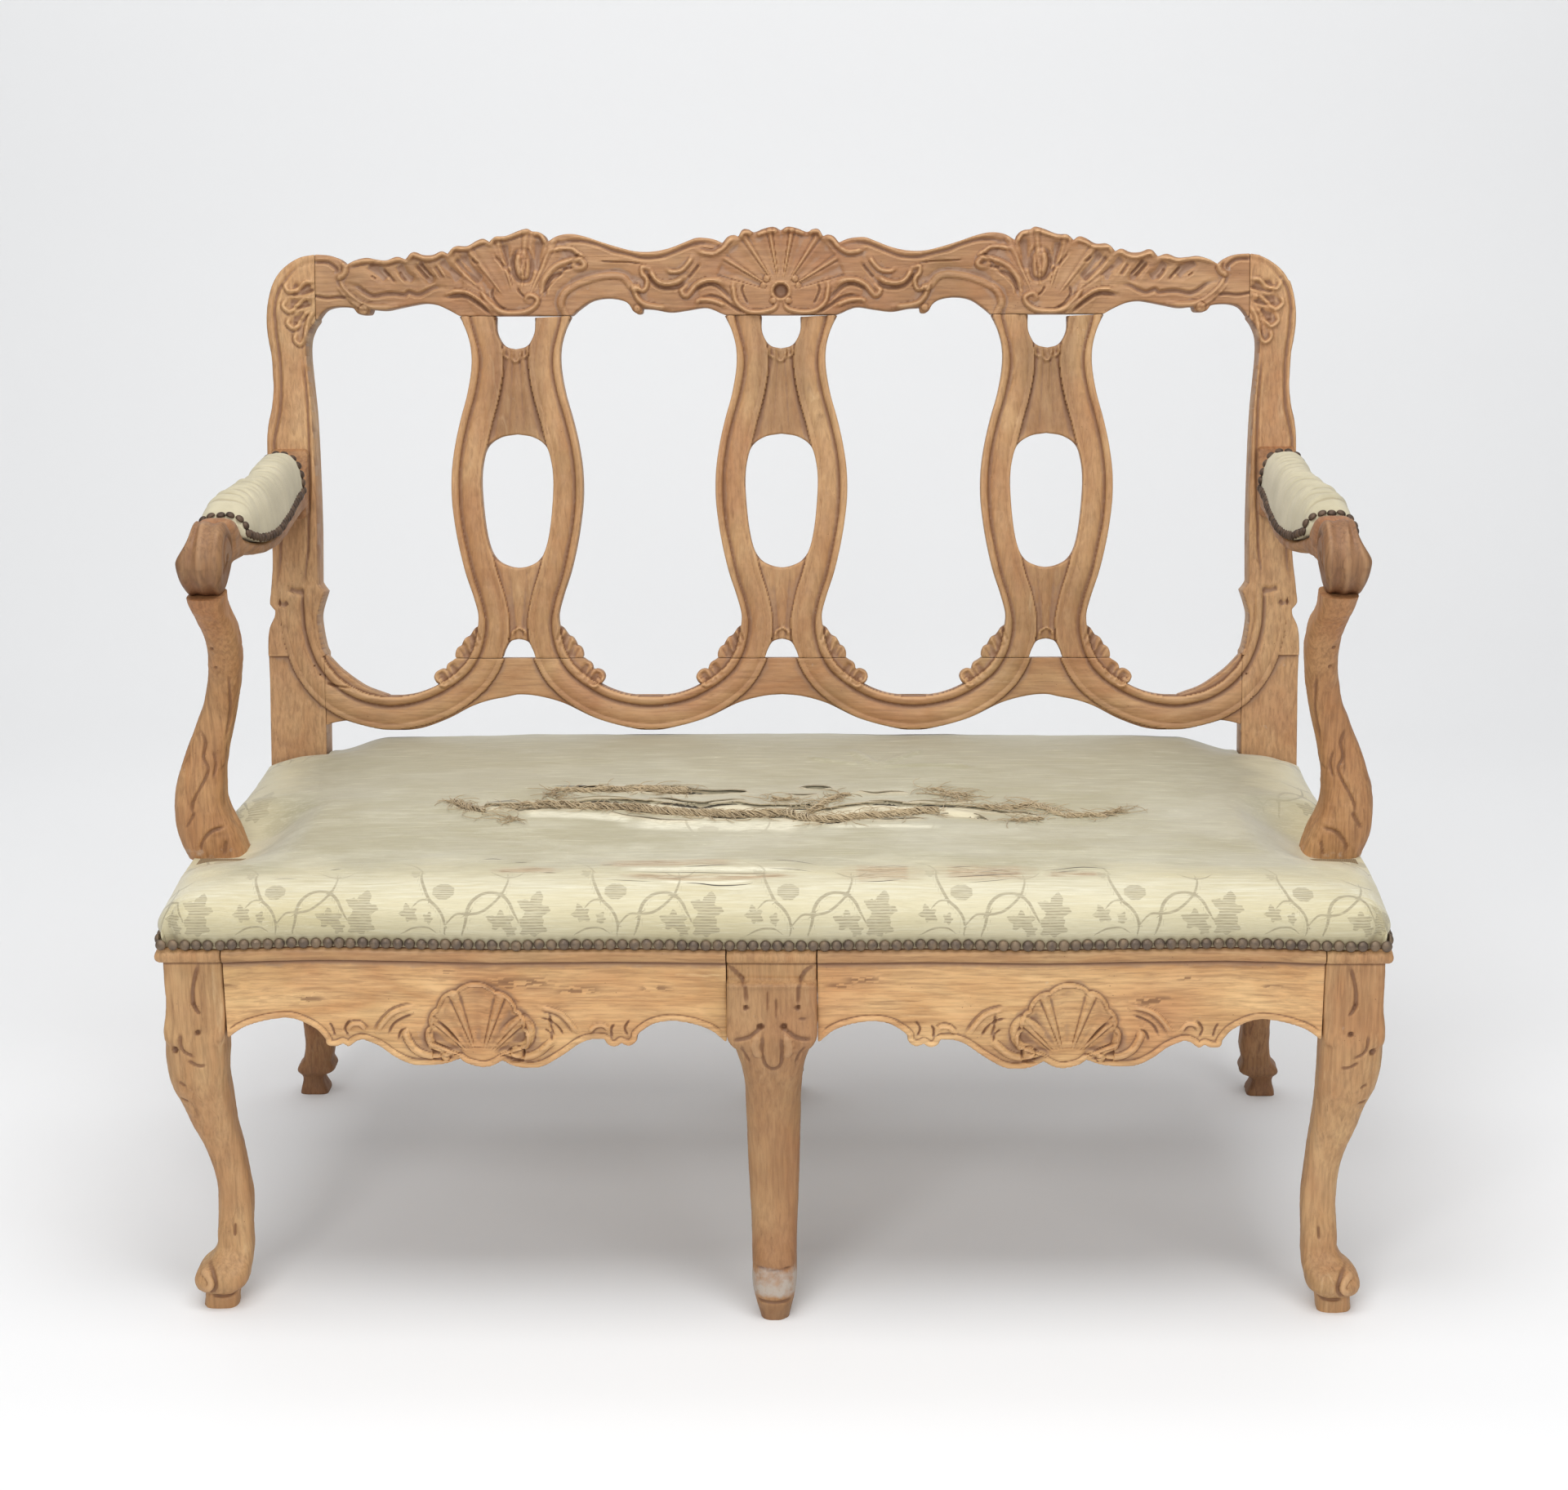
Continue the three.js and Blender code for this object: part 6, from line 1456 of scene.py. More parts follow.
def arm_rail_piece(name, side, seed):
    rings = leg_rings(ARM_RAIL, np.linspace(156, 562, 150), 72, 3.6)
    rings, lift = worn(np.take(rings, [0, 2, 1], axis=-1), seed, 0.5)
    rings[..., 0] *= side
    rail = tube_rings(rings, f"arm_rail_carved_{name}", ARM_WOOD, 50, cavity=lift * 0.5)
    # the block at the post, cut to the post's rake
    z = np.linspace(721, 793, 30)
    shape = squircle(64, 9.0)
    rear = 492 + (z - 434) * math.tan(RAKE) - 0.4
    front = rear - 14 - 12 * smoothstep(790, 740, z)
    cap = np.sin(np.clip((793 - z) / 4, 0, 1) * math.pi / 2) * np.sin(np.clip((z - 721) / 3, 0,
                                                                              1) * math.pi / 2)
    half = 21.3 * (0.86 + 0.14 * cap)
    block = np.stack([561.5 + half[:, None] * shape[:, 0],
                      ((front + rear) / 2)[:, None] + ((rear - front) / 2)[:, None] * shape[:, 1],
                      np.repeat(z[:, None], 64, 1)], -1)
    block, lift2 = worn(block, seed + 3, 0.3)
    block[..., 1] = np.minimum(block[..., 1], rear[:, None])
    block[..., 0] *= side
    end = tube_rings(block, f"arm_block_{name}", ARM_WOOD, 50, cavity=lift2 * 0.5)
    # the scroll at the front: rings across, from the middle of one face to the middle of the other
    cx, cy, cz = KNUCKLE
    radius, half, bend = KNUCKLE_SIZE
    steps = [(-half, r) for r in np.linspace(0.4, radius - bend, 36)]
    steps += [(-half + bend * (1 - math.cos(a)), radius - bend + bend * math.sin(a))
              for a in np.linspace(0.08, math.pi / 2, 14)]
    steps += [(x, radius) for x in np.linspace(bend - half, 0, 16)[1:]]
    steps = np.array(steps + [(-x, r) for x, r in steps[::-1][1:]])
    angle = np.linspace(0, 2 * math.pi, 150, endpoint=False)
    xs, turn = np.meshgrid(steps[:, 0], angle, indexing="ij")
    rs = np.repeat(steps[:, 1][:, None], len(angle), 1)
    face = smoothstep(half - 5, half - 1, np.abs(xs))
    sense = (turn - math.radians(200)) % (2 * math.pi)
    spiral = np.abs(rs - (7 + 22 * sense / (2 * math.pi)))
    dent = face * (2.6 * np.exp(-(spiral / 2.6) ** 2) + 8.0 * np.exp(-(rs / 5.0) ** 4))
    across = xs / half
    facet = (1 - face) * (0.9 * np.cos(across * math.pi * 2.6 + 0.5) + 0.8 * noise2(xs, turn * 24, 11,
                                                                                    seed + 9))
    # the curl is fuller above and draws in under itself
    curl = 1 + 0.035 * np.sin(turn - 0.5) - 0.05 * smoothstep(0.4, 1.0, -np.sin(turn)) * np.abs(across) ** 2
    r2 = rs * curl + facet
    narrow = 1 - 0.17 * smoothstep(-0.2, 1.0, -np.sin(turn))
    narrow *= 1 - 0.55 * smoothstep(0.1, 1.0, np.sin(turn)) * (xs > 0)
    scroll = np.stack([cx + (xs - np.sign(xs) * dent) * narrow, cy - r2 * np.cos(turn),
                       cz + r2 * np.sin(turn)], -1)
    scroll[..., 0] *= side
    # painted shade: darker on the scroll's underside and in its eye
    stain = 0.55 * smoothstep(-0.1, -0.8, np.sin(turn)) + 0.5 * np.exp(-(rs / 7.0) ** 2) * face
    knob = tube_rings(scroll, f"arm_scroll_{name}", SCROLL_WOOD, 55, cavity=0.4 * facet - 0.6 * dent,
                      dip=-0.3 * dent + 0.3 * facet, stain=stain)
    whole = join_objects(rail, end, knob)
    settle(whole, "carved_wood", f"arm_rail_{name}")


# Arm supports: a height, then the edges across and in depth
SUPPORT = [(434.3, 556, 619, 186, 246), (461, 564, 628, 184.5, 244.5), (486, 574, 630, 186, 240),
           (517, 576.5, 627, 190, 238), (548, 573.5, 618, 194, 235), (579, 567, 606.5, 195, 234),
           (610, 561, 595, 192, 230),
           (646, 554, 588, 181, 219), (670, 551.3, 585.5, 169, 208), (700, 551.5, 587, 148, 190),
           (729, 556, 592, 122, 170), (742, 556, 594, 115, 166)]
SUPPORT_CARVING = [
    ("groove", 1.0, [(566, 560), (571, 543), (578, 533)]), ("pit", 0.8, [(574, 518)]),
    ("groove", 1.0, [(577, 507), (570, 492)]),
    ("groove", 1.1, [(575, 473), (590, 468), (600, 455), (601, 445)]),
    ("groove", 1.0, [(574, 458), (577, 442)]),
    ("groove", 0.8, [(565, 640), (567, 600), (573, 566)]),
    ("groove", 1.0, [(600, 581), (594, 565), (596, 549), (591, 537), (594, 526), (603, 509), (608, 496),
                     (607, 483)]),
    ("groove", 0.9, [(605, 490), (611, 480), (616, 472)]),
    ("groove", 0.8, [(586, 556), (583, 540), (586, 526)]),
    ("pit", 0.5, [(587, 693)]), ("pit", 0.6, [(578, 676)]), ("pit", 0.5, [(577, 652)]),
]


def support_piece(name, side, seed):
    rings, lift = worn(leg_rings(SUPPORT, np.linspace(434.3, 742, 190), 96, 3.4), seed, 0.6)
    n = ring_normals(rings)
    carved = carve_rings(rings, n, SUPPORT_CARVING)
    rings = rings + n * carved[..., None]
    rings[..., 0] *= side
    rings[..., 0] += side * np.interp(rings[..., 2], *np.array(SUPPORT_LEAN[name]).T)
    lime = 0.28 * smoothstep(462, 436, rings[..., 2])
    made = tube_rings(rings, f"support_carved_{name}", SUPPORT_WOOD, 50, cavity=carved * 0.8 + lift * 0.5,
                      dip=carved * 0.5,
                      lime=lime)
    settle(made, "carved_wood", f"arm_support_{name}")


# Upholstery of the arms: pads with creases, and the nail heads along them
PAD_POWER = 0.72
NAIL_SIDES, NAIL_LEVELS, NAIL_SKIRT = 14, 5, 1.2
SEAT_NAIL, ARM_NAIL = (5.6, 3.8), (4.8, 3.4)
NAIL_HEIGHT, NAIL_STAND = 415.4, 4.5


def pad_section(y):
    rows = rows_at(ARM_RAIL, y)
    top = rows_at(PAD_TOP, y)[:, 0]
    return rows[:, 0], rows[:, 1], rows[:, 3], top


def arm_pad_piece(name, side, seed):
    y = np.concatenate([PAD_START + np.linspace(0, 1, 12)[:-1] ** 2 * 10,
                        np.linspace(PAD_START + 10, PAD_END - 6, 110),
                        PAD_END - 6 * (1 - np.linspace(0, 1, 8)[1:]) ** 1.5])
    x0, x1, base, top = pad_section(y)
    count = 81
    turn = np.linspace(0, math.pi, count)
    c, s = np.cos(turn), np.sin(turn)
    across = np.sign(c) * np.abs(c) ** PAD_POWER
    rise = s ** PAD_POWER
    middle, half = (x0 + x1) / 2, (x1 - x0) / 2 + 1.4
    x = middle[:, None] + half[:, None] * across
    z = base[:, None] + 0.4 + (top - base)[:, None] * rise
    yy = np.repeat(y[:, None], count, 1)
    # creases that run across, deepest near the front
    crease = np.zeros(x.shape)
    rng = np.random.default_rng(seed)
    places = 248 + np.cumsum(rng.uniform(10, 19, 18))
    for k, at in enumerate(places):
        deep = rng.uniform(0.6, 1.3) * np.interp(at, [250, 330, 430, 520], [1.6, 1.3, 0.8, 0.7])
        line = at + rng.uniform(-4, 16) * across + 3 * noise2(across * 30, yy, 12, seed + k)
        reach = smoothstep(-0.95, -0.1, across) * smoothstep(1.02, 0.75, across) + 0.25
        crease -= deep * reach * np.exp(-((yy - line) / 2.2) ** 2)
        crease += 0.9 * deep * reach * np.exp(-((yy - line - 6) / 4.0) ** 2)
    puff = 0.7 * noise2(x, yy, 26, seed + 20)
    grow = (crease + puff) * smoothstep(0.02, 0.35, rise)
    nx, nz = across * 0.8, rise
    size = np.hypot(nx, nz)
    x, z = x + grow * nx / size, z + grow * nz / size
    under = np.linspace(x[:, -1], x[:, 0], 12)[1:-1].T
    flat = np.repeat(base[:, None] + 0.4, 10, 1)
    yy = np.hstack([yy, np.repeat(y[:, None], 10, 1)])
    rings = np.stack([np.hstack([x, under]), yy, np.hstack([z, flat])], -1)
    rings[..., 0] *= side
    # the creases' depth also paints shade into the folds, through the cloth's finish
    fold = np.hstack([crease, np.zeros((len(y), 10))])
    made = tube_rings(rings, f"arm_pad_{name}", ARM_CLOTH, crease=fold)
    settle(made, "arm_cloth", f"arm_cover_{name}", f"arm_stuffing_{name}")


def nail_row(name, line, outward, head, seed, finish, node):
    """Domed heads that touch along a line, as one piece."""
    radius, height = head
    reach = lengths(line)
    count = max(2, int(reach[-1] / (2 * radius * 1.06)))
    at = (np.arange(count) + 0.5) / count * reach[-1]
    place = np.stack([np.interp(at, reach, line[:, k]) for k in range(3)], 1)
    out = np.stack([np.interp(at, reach, outward[:, k]) for k in range(3)], 1)
    out = unit(out)
    rng = np.random.default_rng(seed)
    around, levels = NAIL_SIDES, NAIL_LEVELS
    a = np.linspace(0, 2 * math.pi, around, endpoint=False)
    tilt = np.linspace(0, math.pi / 2, levels + 1)[:-1]
    ring_r, ring_h = np.cos(tilt), np.sin(tilt)
    up = np.array([0.0, 0.0, 1.0])
    points, quads, tris, shine = [], [], [], []
    for k in range(count):
        n = out[k] + rng.normal(0, 0.05, 3)
        n /= np.linalg.norm(n)
        e = np.cross(up, n)
        e /= np.linalg.norm(e)
        f = np.cross(n, e)
        r = radius * (1 + rng.normal(0, 0.02))
        centre = place[k] + rng.normal(0, 0.25, 3)
        base = k * (around * (levels + 1) + 2)
        skirt = centre - n * NAIL_SKIRT
        circle = np.cos(a)[:, None] * e + np.sin(a)[:, None] * f
        rows = [skirt + r * circle]
        rows += [centre + r * q * circle + n * height * p for q, p in zip(ring_r, ring_h)]
        points += rows + [[centre + n * height], [skirt]]
        i = np.arange(around)
        for row in range(levels):
            b0, b1 = base + row * around, base + (row + 1) * around
            quads.append(np.stack([b0 + i, b0 + (i + 1) % around, b1 + (i + 1) % around, b1 + i], 1))
        last, tip = base + levels * around, base + (levels + 1) * around
        foot = tip + 1
        tris.append(np.stack([last + i, last + (i + 1) % around, np.full(around, tip)], 1))
        tris.append(np.stack([base + (i + 1) % around, base + i, np.full(around, foot)], 1))
        shine.append(np.full(around * (levels + 1) + 2, float(rng.random() < 0.15) * 0.5))
    points = np.concatenate([np.asarray(p, float) for p in points])
    made = new_object(name, in_frame(points), [np.concatenate(quads), np.concatenate(tris)], finish, None,
                      shine=np.concatenate(shine))
    settle(made, "bronze_nails", node)


def arm_nails(name, side, edge, label, seed):
    y = np.linspace(PAD_START + 3, PAD_END - 3, 60)
    x0, x1, base, _ = pad_section(y)
    x = (x1 + 2.0) if edge > 0 else (x0 - 2.0)
    line = np.stack([side * x, y, base + 5.2], 1)
    out = np.tile([side * edge, 0.0, 0.25], (len(y), 1))
    if edge < 0:
        line, out = over_ends(line, out, side)
    nail_row(f"arm_nail_heads_{label}_{name}", line, out, ARM_NAIL, seed, DARK_BRONZE,
             f"arm_nails_{label}_{name}")


def over_ends(line, out, side):
    """Carries a row of nails over the top of the pad at both of its ends."""
    for low in (PAD_START + 5, PAD_END - 5):
        x0, x1, base, top = (v[0] for v in pad_section(np.array([low])))
        turn = np.linspace(0.12, math.pi - 0.12, 24)
        c, s = np.cos(turn), np.sin(turn)
        across = np.sign(c) * np.abs(c) ** PAD_POWER
        arch = np.stack([side * ((x0 + x1) / 2 + ((x1 - x0) / 2 + 1.8) * across), np.full(24, low),
                         base + 0.8 + (top - base) * s ** PAD_POWER], 1)
        aim = np.stack([side * across, np.zeros(24), s], 1)
        if low < PAD_START + 10:
            line, out = np.vstack([arch, line]), np.vstack([aim, out])
        else:
            line, out = np.vstack([line, arch[::-1]]), np.vstack([out, aim[::-1]])
    return line, out


for place_name, side in SIDES:
    apron_piece(place_name, side, 51 + side)
    side_rail_piece(place_name, side, 55 + side)
    corner_leg_piece(place_name, side, 81 + side)
    arm_rail_piece(place_name, side, 91 + side)
    support_piece(place_name, side, 101 + side)
    arm_pad_piece(place_name, side, 111 + side)
    arm_nails(place_name, side, -1, "inner", 121 + side)
    arm_nails(place_name, side, 1, "outer", 131 + side)
centre_leg_piece()
rear_centre_piece()

# Seat: the plan of the nailed edge, and the cloth's profile by the length of cloth from that edge
SEAT_PROFILE = [(2.3, 410.3), (2.4, 421), (5.5, 428), (6.8, 437), (4.5, 447), (-4, 456.5), (-18, 463),
                (-40, 468),
                (-80, 472), (-140, 475), (-210, 476.2), (-268, 476.5)]
SEAT_CORNER, SEAT_EASE, SLOPE_FOOT = 19.0, 5.0, 437.5
POST_GAP, POST_FRONT = 523.0, 488.5
PAD_INSET, PAD_FOOT = 26.0, 438.5
SILK_THICK, PAD_GAP, TEAR_REACH = 1.2, 2.8, 10.0

# Tears of the silk: across from the middle, then along the cloth from the front nails
OPENINGS = [
    [(-317, 294), (-300, 298), (-280, 297), (-256, 300), (-221, 302), (-182, 305), (-139, 301), (-100, 292),
     (-80, 288),
     (-53, 298), (-37, 298), (-19, 290), (12, 290), (9, 255), (-27, 248), (-78, 252), (-117, 257),
     (-155, 269),
     (-204, 276), (-258, 276), (-290, 276), (-313, 274)],
    [(-10, 291), (6, 285), (44, 285), (55, 278), (67, 286), (93, 297), (119, 299), (144, 294), (170, 292),
     (208, 287),
     (246, 271), (246, 263), (195, 263), (159, 261), (134, 252), (106, 245), (75, 238), (42, 233), (7, 244),
     (-8, 249)],
    [(-225, 347), (-195, 349), (-130, 347), (-102, 336), (-72, 332), (-37, 332), (-37, 327), (-72, 322),
     (-109, 318),
     (-134, 326), (-166, 329), (-224, 333)],
]
SLITS = [
    (2.6, [(-351, 292), (-337, 280), (-324, 271), (-312, 266)]),
    (1.2, [(-317, 300), (-305, 303), (-293, 305), (-284, 301)]),
    (2.6, [(-282, 276), (-275, 272), (-265, 273), (-252, 276)]),
    (1.3, [(-251, 353), (-230, 350), (-210, 349), (-195, 350)]),
    (3.0, [(-130, 349), (-110, 343), (-89, 334), (-72, 332), (-57, 333), (-37, 333)]),
    (1.5, [(-234, 307), (-207, 311), (-182, 311), (-162, 305)]),
    (2.4, [(-139, 305), (-120, 305), (-100, 297), (-80, 292), (-68, 300), (-53, 303), (-37, 303)]),
    (1.5, [(-176, 264), (-154, 255), (-134, 248), (-114, 241), (-85, 241)]),
    (3.4, [(-78, 252), (-56, 250), (-37, 248), (-27, 248)]),
    (5.0, [(29, 346), (38, 347), (49, 346), (57, 343)]),
    (2.0, [(13, 324), (28, 322), (43, 323)]), (1.8, [(9, 286), (26, 288), (44, 289)]),
    (1.8, [(91, 330), (106, 328), (124, 331), (141, 329)]),
    (2.0, [(101, 301), (116, 303), (129, 299), (139, 297)]),
    (1.5, [(144, 297), (165, 300), (186, 297), (209, 299)]),
    (5.4, [(175, 255), (190, 257), (205, 257), (215, 252), (222, 247)]),
    (2.2, [(237, 265), (256, 265), (268, 263), (278, 257)]), (3.4, [(40, 235), (58, 233), (78, 237)]),
    (2.0, [(106, 241), (131, 244), (154, 244)]),
    (1.0, [(-298, 129), (-287, 131), (-275, 128)]), (1.0, [(-265, 122), (-250, 123)]),
    (0.9, [(-234, 98), (-219, 97)]),
    (0.9, [(-175, 114), (-161, 115)]), (1.2, [(-90, 110), (-74, 111), (-42, 113)]),
    (1.0, [(-144, 99), (-97, 97), (-50, 96), (12, 94)]),
    (1.4, [(-89, 78), (-73, 77), (-54, 74), (-26, 75), (-19, 78)]),
    (0.8, [(-166, 82), (-119, 80)]), (1.0, [(-5, 126), (19, 123), (44, 115)]),
    (0.9, [(-5, 105), (20, 103), (42, 98)]),
    (1.0, [(93, 79), (112, 80), (131, 83)]), (0.8, [(102, 109), (122, 112), (141, 110)]),
    (1.0, [(177, 88), (214, 93), (253, 99)]), (0.8, [(196, 79), (221, 83), (245, 88)]),
    (0.8, [(207, 99), (229, 104), (239, 107)]), (0.8, [(180, 109), (205, 112)]),
    (1.2, [(275, 104), (309, 112), (324, 112), (343, 109)]), (0.9, [(287, 101), (311, 105)]),
    (0.8, [(-512, 88), (-498, 90), (-484, 88)]), (1.0, [(-452, 108), (-440, 111)]),
]
ROPES = [
    (7, [(-363, 311), (-352, 300), (-338, 287), (-325, 276), (-312, 267)]),
    (6, [(-241, 303), (-248, 334), (-234, 337), (-209, 333), (-190, 340), (-167, 335), (-147, 337),
         (-124, 332),
         (-109, 322)]),
    (9, [(-160, 338), (-140, 339), (-120, 333), (-98, 328)]),
    (10, [(-304, 283), (-279, 283), (-244, 288), (-220, 283), (-190, 279), (-165, 277), (-141, 273),
          (-118, 265),
          (-98, 261), (-74, 257), (-49, 256), (-27, 254), (-8, 258), (8, 262)]),
    (10, [(-9, 260), (6, 262), (30, 246), (42, 239), (58, 239), (75, 242), (93, 248), (106, 250), (123, 254),
          (144, 262), (159, 266), (175, 267)]),
    (6, [(30, 262), (39, 271), (52, 293), (65, 312), (80, 324)]), (5, [(-10, 309), (6, 305), (18, 311)]),
    (6, [(211, 286), (236, 280), (257, 282), (267, 286), (275, 293), (287, 283), (297, 271), (309, 257),
         (334, 260),
         (352, 261), (371, 276)]),
    (3, [(163, 344), (181, 338), (192, 328), (199, 316), (205, 299)]),
    (4, [(242, 238), (260, 244), (285, 247)]),
    (3, [(-294, 239), (-283, 252), (-279, 243), (-287, 237)]),
    (3, [(168, 330), (180, 322), (196, 326), (210, 318)]),
]
# Places where the silk has lost its face: pale, then threadbare, as (half width, line)
PALE = [(4, [(-150, 106), (-97, 106), (-41, 105), (20, 104)]), (2, [(-110, 80), (-60, 79), (-20, 82)]),
        (15, [(-150, 236), (-90, 228), (-20, 226), (30, 224)]), (9, [(-270, 262), (-200, 258), (-150, 246)]),
        (4, [(60, 222), (120, 224), (170, 222)])]
# Pinches in the silk towards the back
PINCHES = [(5, [(36, 452), (62, 440), (92, 428)]), (6, [(84, 478), (100, 450), (112, 424)]),
           (5, [(112, 424), (138, 452), (166, 482)]), (5, [(114, 420), (160, 426), (220, 424)])]
BARE = [(7, [(-170, 118), (-100, 122), (-40, 120)]), (5, [(-150, 91), (-60, 88), (20, 92)]),
        (15, [(84, 96), (110, 98), (140, 98)]), (13, [(175, 100), (210, 100), (255, 102)]),
        (6, [(-280, 104), (-250, 106), (-220, 103)]), (5, [(280, 98), (330, 100)])]
TILE = (174.0, 150.0)
VINE = [
    (1.5, [(-356, 102), (-356, 92), (-354, 80), (-349, 64), (-344, 53), (-336, 45), (-330, 36), (-328, 26),
           (-329, 18)]),
    (1.2, [(-376, 122), (-363, 114), (-354, 99)]),
    (1.3, [(-327, 28), (-321, 35), (-315, 39), (-302, 39), (-290, 42), (-279, 51), (-272, 61), (-269, 70),
           (-267, 83),
           (-268, 94)]),
    (1.7, [(-311, 18), (-307, 31), (-305, 44), (-300, 54), (-291, 62), (-281, 64), (-272, 61), (-264, 52),
           (-259, 42),
           (-254, 33)]),
    (1.2, [(-284, 98), (-274, 91), (-266, 89), (-258, 92), (-252, 99)]),
    (1.0, [(-344, 53), (-353, 53), (-361, 45)]),
    (1.1, [(-372, 17), (-360, 24), (-346, 25), (-338, 20)]),
]
LEAVES = [(-331, 65, 11.5, 0, 0.0), (-364, 38, 11, 1, 1.9), (-345, 34, 7, 1, 1.2), (-272, 32, 14, 1, 1.57),
          (-238, 42, 21, 1, 1.35), (-262, 22, 9, 1, 1.7), (-362, 96, 8, 1, 2.2), (-241, 24, 15, 1, 1.2)]


PROFILE = smooth(np.array(SEAT_PROFILE), 2.0)
PROFILE_REACH = lengths(PROFILE)
FULL = PROFILE_REACH[-1]
CLOTH_HALF = FULL + (SEAT_HALF - 268)
CLOTH_LONG = 2 * FULL


def profile_at(s):
    """Inset and height of the cloth at a length s from the nailed edge."""
    return np.interp(s, PROFILE_REACH, -PROFILE[:, 0]), np.interp(s, PROFILE_REACH, PROFILE[:, 1])


def front_line(x):
    """The front of the plan, which follows the sweep of the aprons."""
    return np.interp(np.abs(x), [0, 46, 101, 156, 215, 276, 368, 457, 510, 556, 617],
                     [0.2, 0.2, 1.6, 3.4, 2, 0, 4.8, 8, 4.8, 0, 0])


def seat_places(a, b, lift=0.0):
    """Cloth coordinates to places: a across from the middle, b from the nailed edge at the front."""
    from_side = CLOTH_HALF - np.abs(a)
    from_front, from_rear = b, CLOTH_LONG - b
    inx, zx = profile_at(from_side)
    iny, zy = profile_at(np.minimum(from_front, from_rear))
    flat = np.abs(a) < CLOTH_HALF - FULL
    x = np.where(flat, a, np.sign(a) * (SEAT_HALF - inx))
    near = from_front < from_rear
    y = np.where(near, iny, SEAT_BACK - iny)
    # rounded corners in plan
    corner = SEAT_CORNER
    dx = np.clip((np.abs(x) - (SEAT_HALF - corner)) / corner, 0, None)
    dy = np.where(near, corner - y, y - (SEAT_BACK - corner)) / corner
    dy = np.clip(dy, 0, None)
    long = np.maximum(np.hypot(dx, dy), 1e-6)
    pull = np.where((dx > 0) & (dy > 0), np.maximum(dx, dy) / long, 1)
    x2 = np.sign(a) * (SEAT_HALF - corner + corner * dx * pull)
    y2 = np.where(near, corner - corner * dy * pull, SEAT_BACK - corner + corner * dy * pull)
    x = np.where(dx > 0, x2, x)
    y = np.where(dy > 0, y2, y)
    low = np.minimum(zx, zy)
    z = low - SEAT_EASE * np.exp(-np.abs(zx - zy) / SEAT_EASE) * 0.5 * smoothstep(411, 424, low)
    # the plan: sides that curve in towards the posts, and the sweep of the aprons
    x = x - np.sign(a) * 9.0 * smoothstep(14, 46, from_side) * smoothstep(230, 60, from_side)
    crown = np.clip(1 - (x / 560) ** 2, 0, 1) * smoothstep(20, 120, np.minimum(from_front, from_rear * 2.0))
    z = z + 5.5 * crown + 1.3 * noise2(x, y, 150, 19) * crown
    # the cloth slopes down to the arm supports and to the posts
    slope = smoothstep(488, 572, np.abs(x)) * smoothstep(76, 190, y) * smoothstep(300, 236, y)
    z = z - slope * np.maximum(z - SLOPE_FOOT, 0)
    cut = 15.0 * smoothstep(474, 545, np.abs(x)) * smoothstep(425, 500, y)
    z = z - cut * np.clip((z - SLOPE_FOOT) / 22.0, 0, 1)
    y = y + front_line(x) * smoothstep(75, 10, y)
    x = x * side_face(np.clip(y, 0, 492)) / SEAT_HALF
    return np.stack([x, y, z + lift], -1)


def seat_normals(p):
    return unit(np.cross(np.gradient(p, axis=0), np.gradient(p, axis=1)))


def uneven_grid(step, *spans):
    """Places across at one step, and places along at the steps of the spans."""
    a = np.linspace(-CLOTH_HALF, CLOTH_HALF, int(2 * CLOTH_HALF / step))
    b = [np.arange(low, high, part) for low, high, part in spans]
    return np.meshgrid(a, np.concatenate([*b, [CLOTH_LONG]]), indexing="ij")


def along(A, B, points, reach):
    """Window, distance, side and share of the length by a smooth line on the cloth."""
    return near_on(A, B, smooth(points, 3.0), reach)


def depth_in(A, B, points):
    """Depth inside a closed line on the cloth, negative outside it."""
    loop = smooth(points, 4.0, closed=True)
    win = window(A, B, loop.min(0) - TEAR_REACH, loop.max(0) + TEAR_REACH)
    x, y = A[win], B[win]
    d, _, _ = near_line(x, y, np.vstack([loop, loop[:1]]))
    inside = np.zeros(x.shape, bool)
    for (ax, ay), (bx, by) in zip(loop, np.roll(loop, -1, axis=0)):
        if ay != by:
            inside ^= ((ay > y) != (by > y)) & (x < ax + (y - ay) * (bx - ax) / (by - ay))
    return win, np.where(inside, d, -d)


def nearest_stroke(A, B, strokes, reach, taper):
    """The place across the nearest of some strokes, and half the stroke's width there."""
    best = np.full(A.shape, reach)
    offset, half = np.full(A.shape, 3 * reach), np.full(A.shape, -1.0)
    for width, points in strokes:
        win, d, side, share = along(A, B, points, reach)
        hit = d < best[win]
        shape = width * np.sin(math.pi * np.clip(share, 0.03, 0.97)) ** taper
        best[win] = np.where(hit, d, best[win])
        offset[win] = np.where(hit, d * side, offset[win])
        half[win] = np.where(hit & (d < reach - 0.8), shape, np.where(hit, -1.0, half[win]))
    return offset, half


def patches(A, B, table):
    """Soft patches about lines, from 0 to 1."""
    total = np.zeros(A.shape)
    for half, points in table:
        win, d, _, share = along(A, B, points, 3 * half)
        ends = smoothstep(0, 0.1, share) * smoothstep(1, 0.9, share)
        total[win] = np.maximum(total[win], smoothstep(1.5, 0.5, d / half) * (0.3 + 0.7 * ends))
    return total


